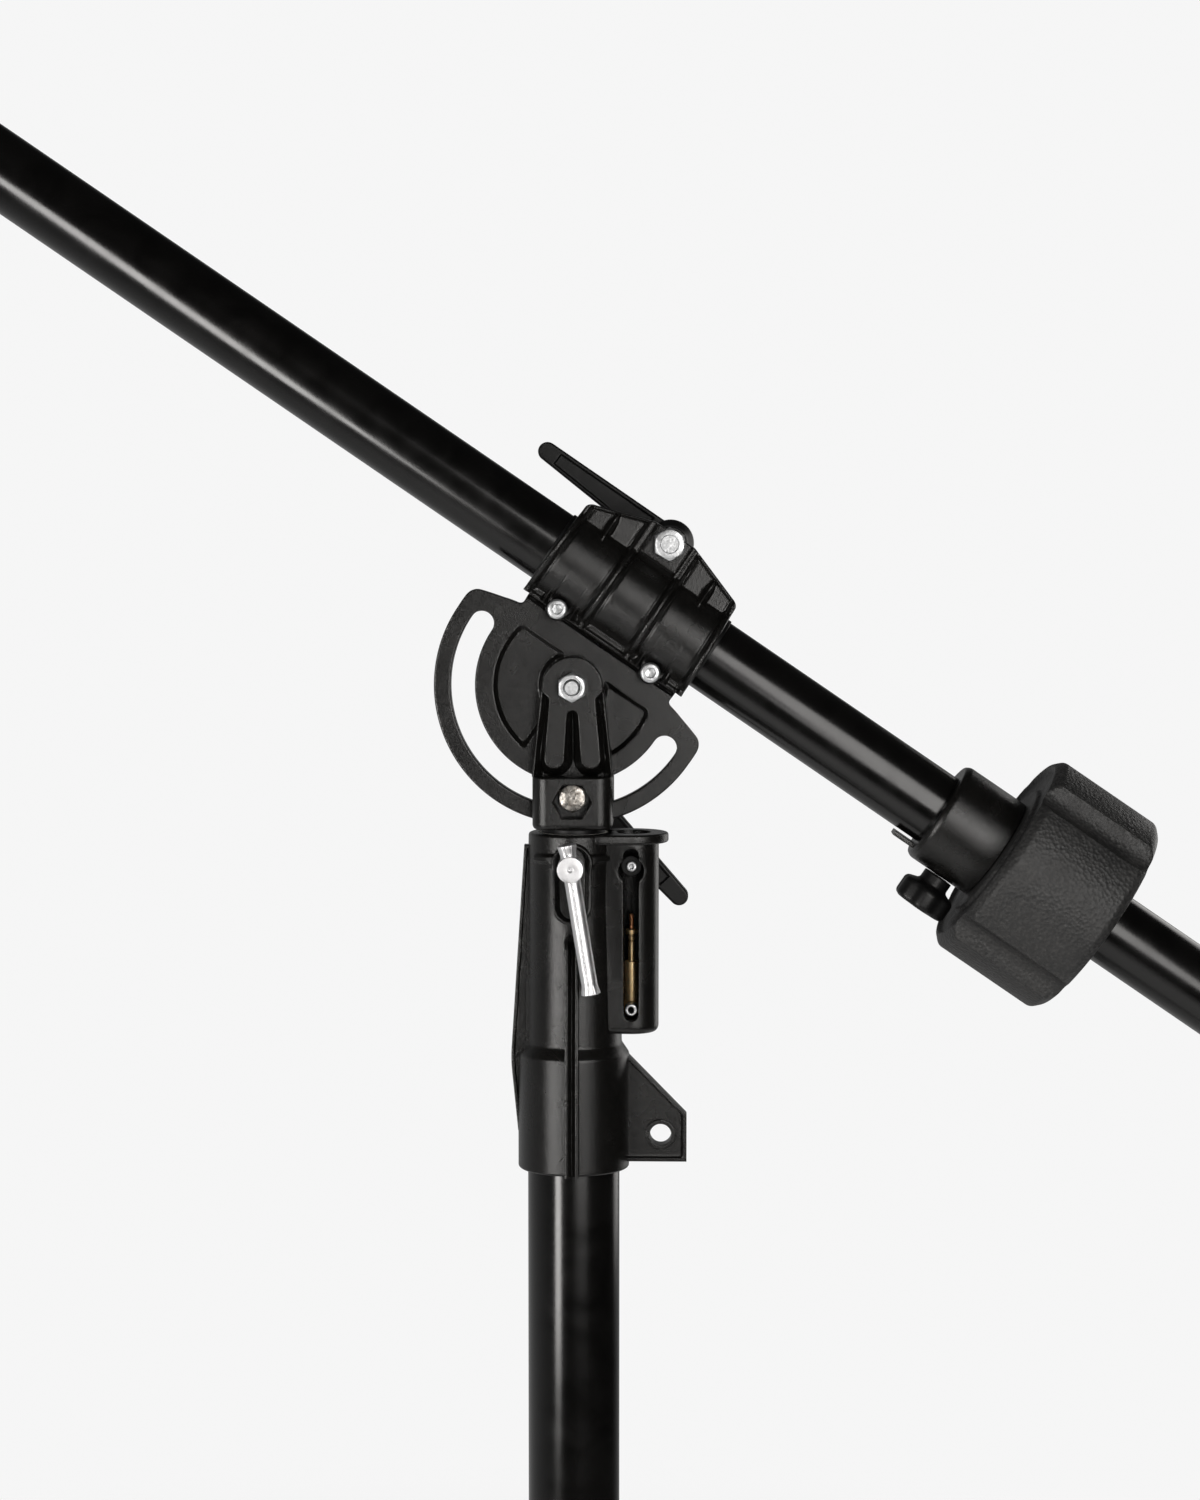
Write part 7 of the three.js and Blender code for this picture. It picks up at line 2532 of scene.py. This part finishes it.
@dataclass
class Studio:
    """A plain pale room, soft lamps and the photograph's camera."""

    pale: Color = (0.92, 0.92, 0.92)
    warm: Color = (1.0, 0.98, 0.955)
    pixel: float = 0.65
    pivot_px: Point = (573.5, 685.1)
    eye_px: Point = (690.0, 508.0)
    middle_px: Point = (600.0, 750.0)
    distance: float = 2000.0
    lamp_distance: float = 1900.0
    frame_px: float = 1500.0
    sensor: float = 36.0
    ambient: float = 0.3
    bright_side: Corner = (-0.45, 0.5, -0.55)
    floor_radius: float = 2.0
    floor_glow: float = 0.5
    floor_drop: float = 0.0004
    clip: Point = (0.05, 60.0)

    def at_pixel(self, pixel: Point, back: float) -> Vector:
        """The point that a pixel of the photograph shows.

        Args:
            pixel: its place across and down.
            back: how far the point is moved towards the viewer, in millimetres.

        Returns:
            The point on the plate's plane, so moved.
        """
        across = (pixel[0] - self.pivot_px[0]) * self.pixel
        up = (self.pivot_px[1] - pixel[1]) * self.pixel
        return Vector(HEAD.world(np.array([across, -back, up])))

    def camera(self) -> None:
        """Stands the camera at the photograph's eye level and aims it at the picture's middle."""
        data = bpy.data.cameras.new("camera")
        camera = placed("camera", data)
        eye = self.at_pixel(self.eye_px, self.distance)
        aim = self.at_pixel(self.middle_px, 0.0)
        camera.location = eye
        camera.rotation_mode = "QUATERNION"
        camera.rotation_quaternion = (aim - eye).to_track_quat("-Z", "Y")
        data.sensor_width = self.sensor
        data.lens = self.sensor * (aim - eye).length / (self.frame_px * self.pixel * MM)
        data.clip_start, data.clip_end = self.clip
        bpy.context.scene.camera = camera

    def lamp(self, name: str, azimuth: float, elevation: float, size: Point, radiance: float) -> None:
        """An area lamp that faces the pivot.

        Args:
            name: the lamp's name.
            azimuth: degrees to the right of the viewer.
            elevation: degrees above the pivot.
            size: its width and height in millimetres.
            radiance: how bright its face is; its power is pi times that times its area.
        """
        data = bpy.data.lights.new(name, "AREA")
        data.shape = "RECTANGLE"
        data.size, data.size_y = size[0] * MM, size[1] * MM
        data.color = self.warm
        data.energy = math.pi * radiance * data.size * data.size_y
        lamp = placed(name, data)
        turn, lift = math.radians(azimuth), math.radians(elevation)
        way = np.array([math.sin(turn) * math.cos(lift), -math.cos(turn) * math.cos(lift), math.sin(lift)])
        lamp.location = Vector(HEAD.world(way * self.lamp_distance))
        aim = Vector(PIVOT)
        lamp.rotation_mode = "QUATERNION"
        lamp.rotation_quaternion = (aim - lamp.location).to_track_quat("-Z", "Y")

    def world(self) -> None:
        """A pale background that gloss sees low and behind, and a dimmer light for matt surfaces."""
        world = bpy.data.worlds.new("room")
        bpy.context.scene.world = world
        world.use_nodes = True
        tree = world.node_tree
        tree.nodes.clear()
        path = new_node(tree, "LightPath")
        coords = new_node(tree, "TexCoord")
        toward = new_node(tree, "VectorMath", {1: self.bright_side}, operation="DOT_PRODUCT")
        behind = new_node(tree, "MapRange", {"From Max": 0.9, "To Min": 0.02, "To Max": 0.5})
        shine = new_node(tree, "Math", operation="MAXIMUM")
        shown = new_node(tree, "Math", operation="MULTIPLY_ADD")
        direct = new_node(tree, "Math", operation="MAXIMUM")
        dim = new_node(tree, "Math", {1: -self.ambient, 2: self.ambient}, operation="MULTIPLY_ADD")
        strength = new_node(tree, "Math", operation="ADD")
        background = new_node(tree, "Background", {"Color": (*self.pale, 1.0)})
        output = new_node(tree, "OutputWorld")
        link(
            tree, (coords, "Generated", toward, 0), (toward, "Value", behind, "Value"),
            (path, "Is Glossy Ray", shine, 0), (path, "Is Transmission Ray", shine, 1), (shine, 0, shown, 0),
            (behind, 0, shown, 1), (path, "Is Camera Ray", shown, 2), (path, "Is Camera Ray", direct, 0),
            (shine, 0, direct, 1), (direct, 0, dim, 0), (shown, 0, strength, 0), (dim, 0, strength, 1),
            (strength, 0, background, "Strength"), (background, 0, output, "Surface"))

    def floor(self) -> None:
        """A pale round floor that fades into the background at its rim and keeps the object's shadow."""
        rings = np.linspace(0.001, self.floor_radius, 24)
        angle = np.linspace(0, TURN, FINE_STEPS, endpoint=False)
        grid = np.stack([
            rings[:, None] * np.cos(angle), rings[:, None] * np.sin(angle),
            np.full((rings.size, angle.size), -self.floor_drop),
        ], axis=-1)
        faces = grid_faces(rings.size, angle.size, False, True)
        mesh = bpy.data.meshes.new("floor")
        mesh.from_pydata(grid.reshape(-1, 3).tolist(), [], faces.tolist())
        placed("floor", mesh)
        material = bpy.data.materials.new("pale_floor")
        material.use_nodes = True
        tree = material.node_tree
        tree.nodes.clear()
        pale = {"Color": (*self.pale, 1.0)}
        matte = new_node(tree, "BsdfDiffuse", pale)
        clear = new_node(tree, "BsdfTransparent")
        path = new_node(tree, "LightPath")
        glow = new_node(tree, "Math", {1: self.floor_glow}, operation="MULTIPLY")
        light = new_node(tree, "Emission", pale)
        lit = new_node(tree, "AddShader")
        coords = new_node(tree, "TexCoord")
        length = new_node(tree, "VectorMath", operation="LENGTH")
        radii = {"From Min": self.floor_radius * 0.45, "From Max": self.floor_radius * 0.98}
        fade = new_node(tree, "MapRange", radii, interpolation_type="SMOOTHSTEP")
        blend = new_node(tree, "MixShader")
        output = new_node(tree, "OutputMaterial")
        link(
            tree, (path, "Is Camera Ray", glow, 0), (glow, 0, light, "Strength"), (matte, 0, lit, 0),
            (light, 0, lit, 1), (coords, "Object", length, 0), (length, "Value", fade, "Value"),
            (fade, 0, blend, 0), (lit, 0, blend, 1), (clear, 0, blend, 2), (blend, 0, output, "Surface"))
        mesh.materials.append(material)

    def build(self) -> None:
        """Builds the camera, the lamps, the world and the floor."""
        self.camera()
        self.world()
        self.floor()
        self.lamp("left_lamp", azimuth=-37.0, elevation=-10.0, size=(450.0, 1000.0), radiance=13.0)
        self.lamp("right_lamp", azimuth=23.0, elevation=5.0, size=(850.0, 1350.0), radiance=5.0)
        self.lamp("low_lamp", azimuth=8.0, elevation=-9.0, size=(350.0, 350.0), radiance=2.5)
        self.lamp("rim_lamp", azimuth=135.0, elevation=0.0, size=(900.0, 1500.0), radiance=1.5)
        bpy.context.scene.view_settings.view_transform = "Standard"


def main() -> None:
    """Builds the stand's pieces in order, from the boom down to the floor, and the room round them."""
    Studio().build()
    BoomTubes().build()
    BoomFront().build()
    BoomRear().build()
    Knob(
        "collar_knob_skin", "boom_collar_knob", Body.COLLAR_KNOB, place=-898.0, pressed_radius=21.15,
        seat_radius=34.3).build()
    Knob(
        "tip_knob_skin", "tip_knob", Body.TIP_KNOB, place=-975.3, pressed_radius=8.0,
        seat_radius=17.3).build()
    Knob(
        "weight_knob_skin", "weight_knob", Body.WEIGHT_KNOB, place=266.0, pressed_radius=24.15,
        seat_radius=35.15).build()
    BoomClamp().build()
    TiltPlate().build()
    Yoke().build()
    ColumnTubes().build()
    ColumnHead().build()
    TensionRod().build()
    TeeHandle().build()
    Base().build()
    dress_hidden_pieces()


if __name__ == "__main__":
    main()
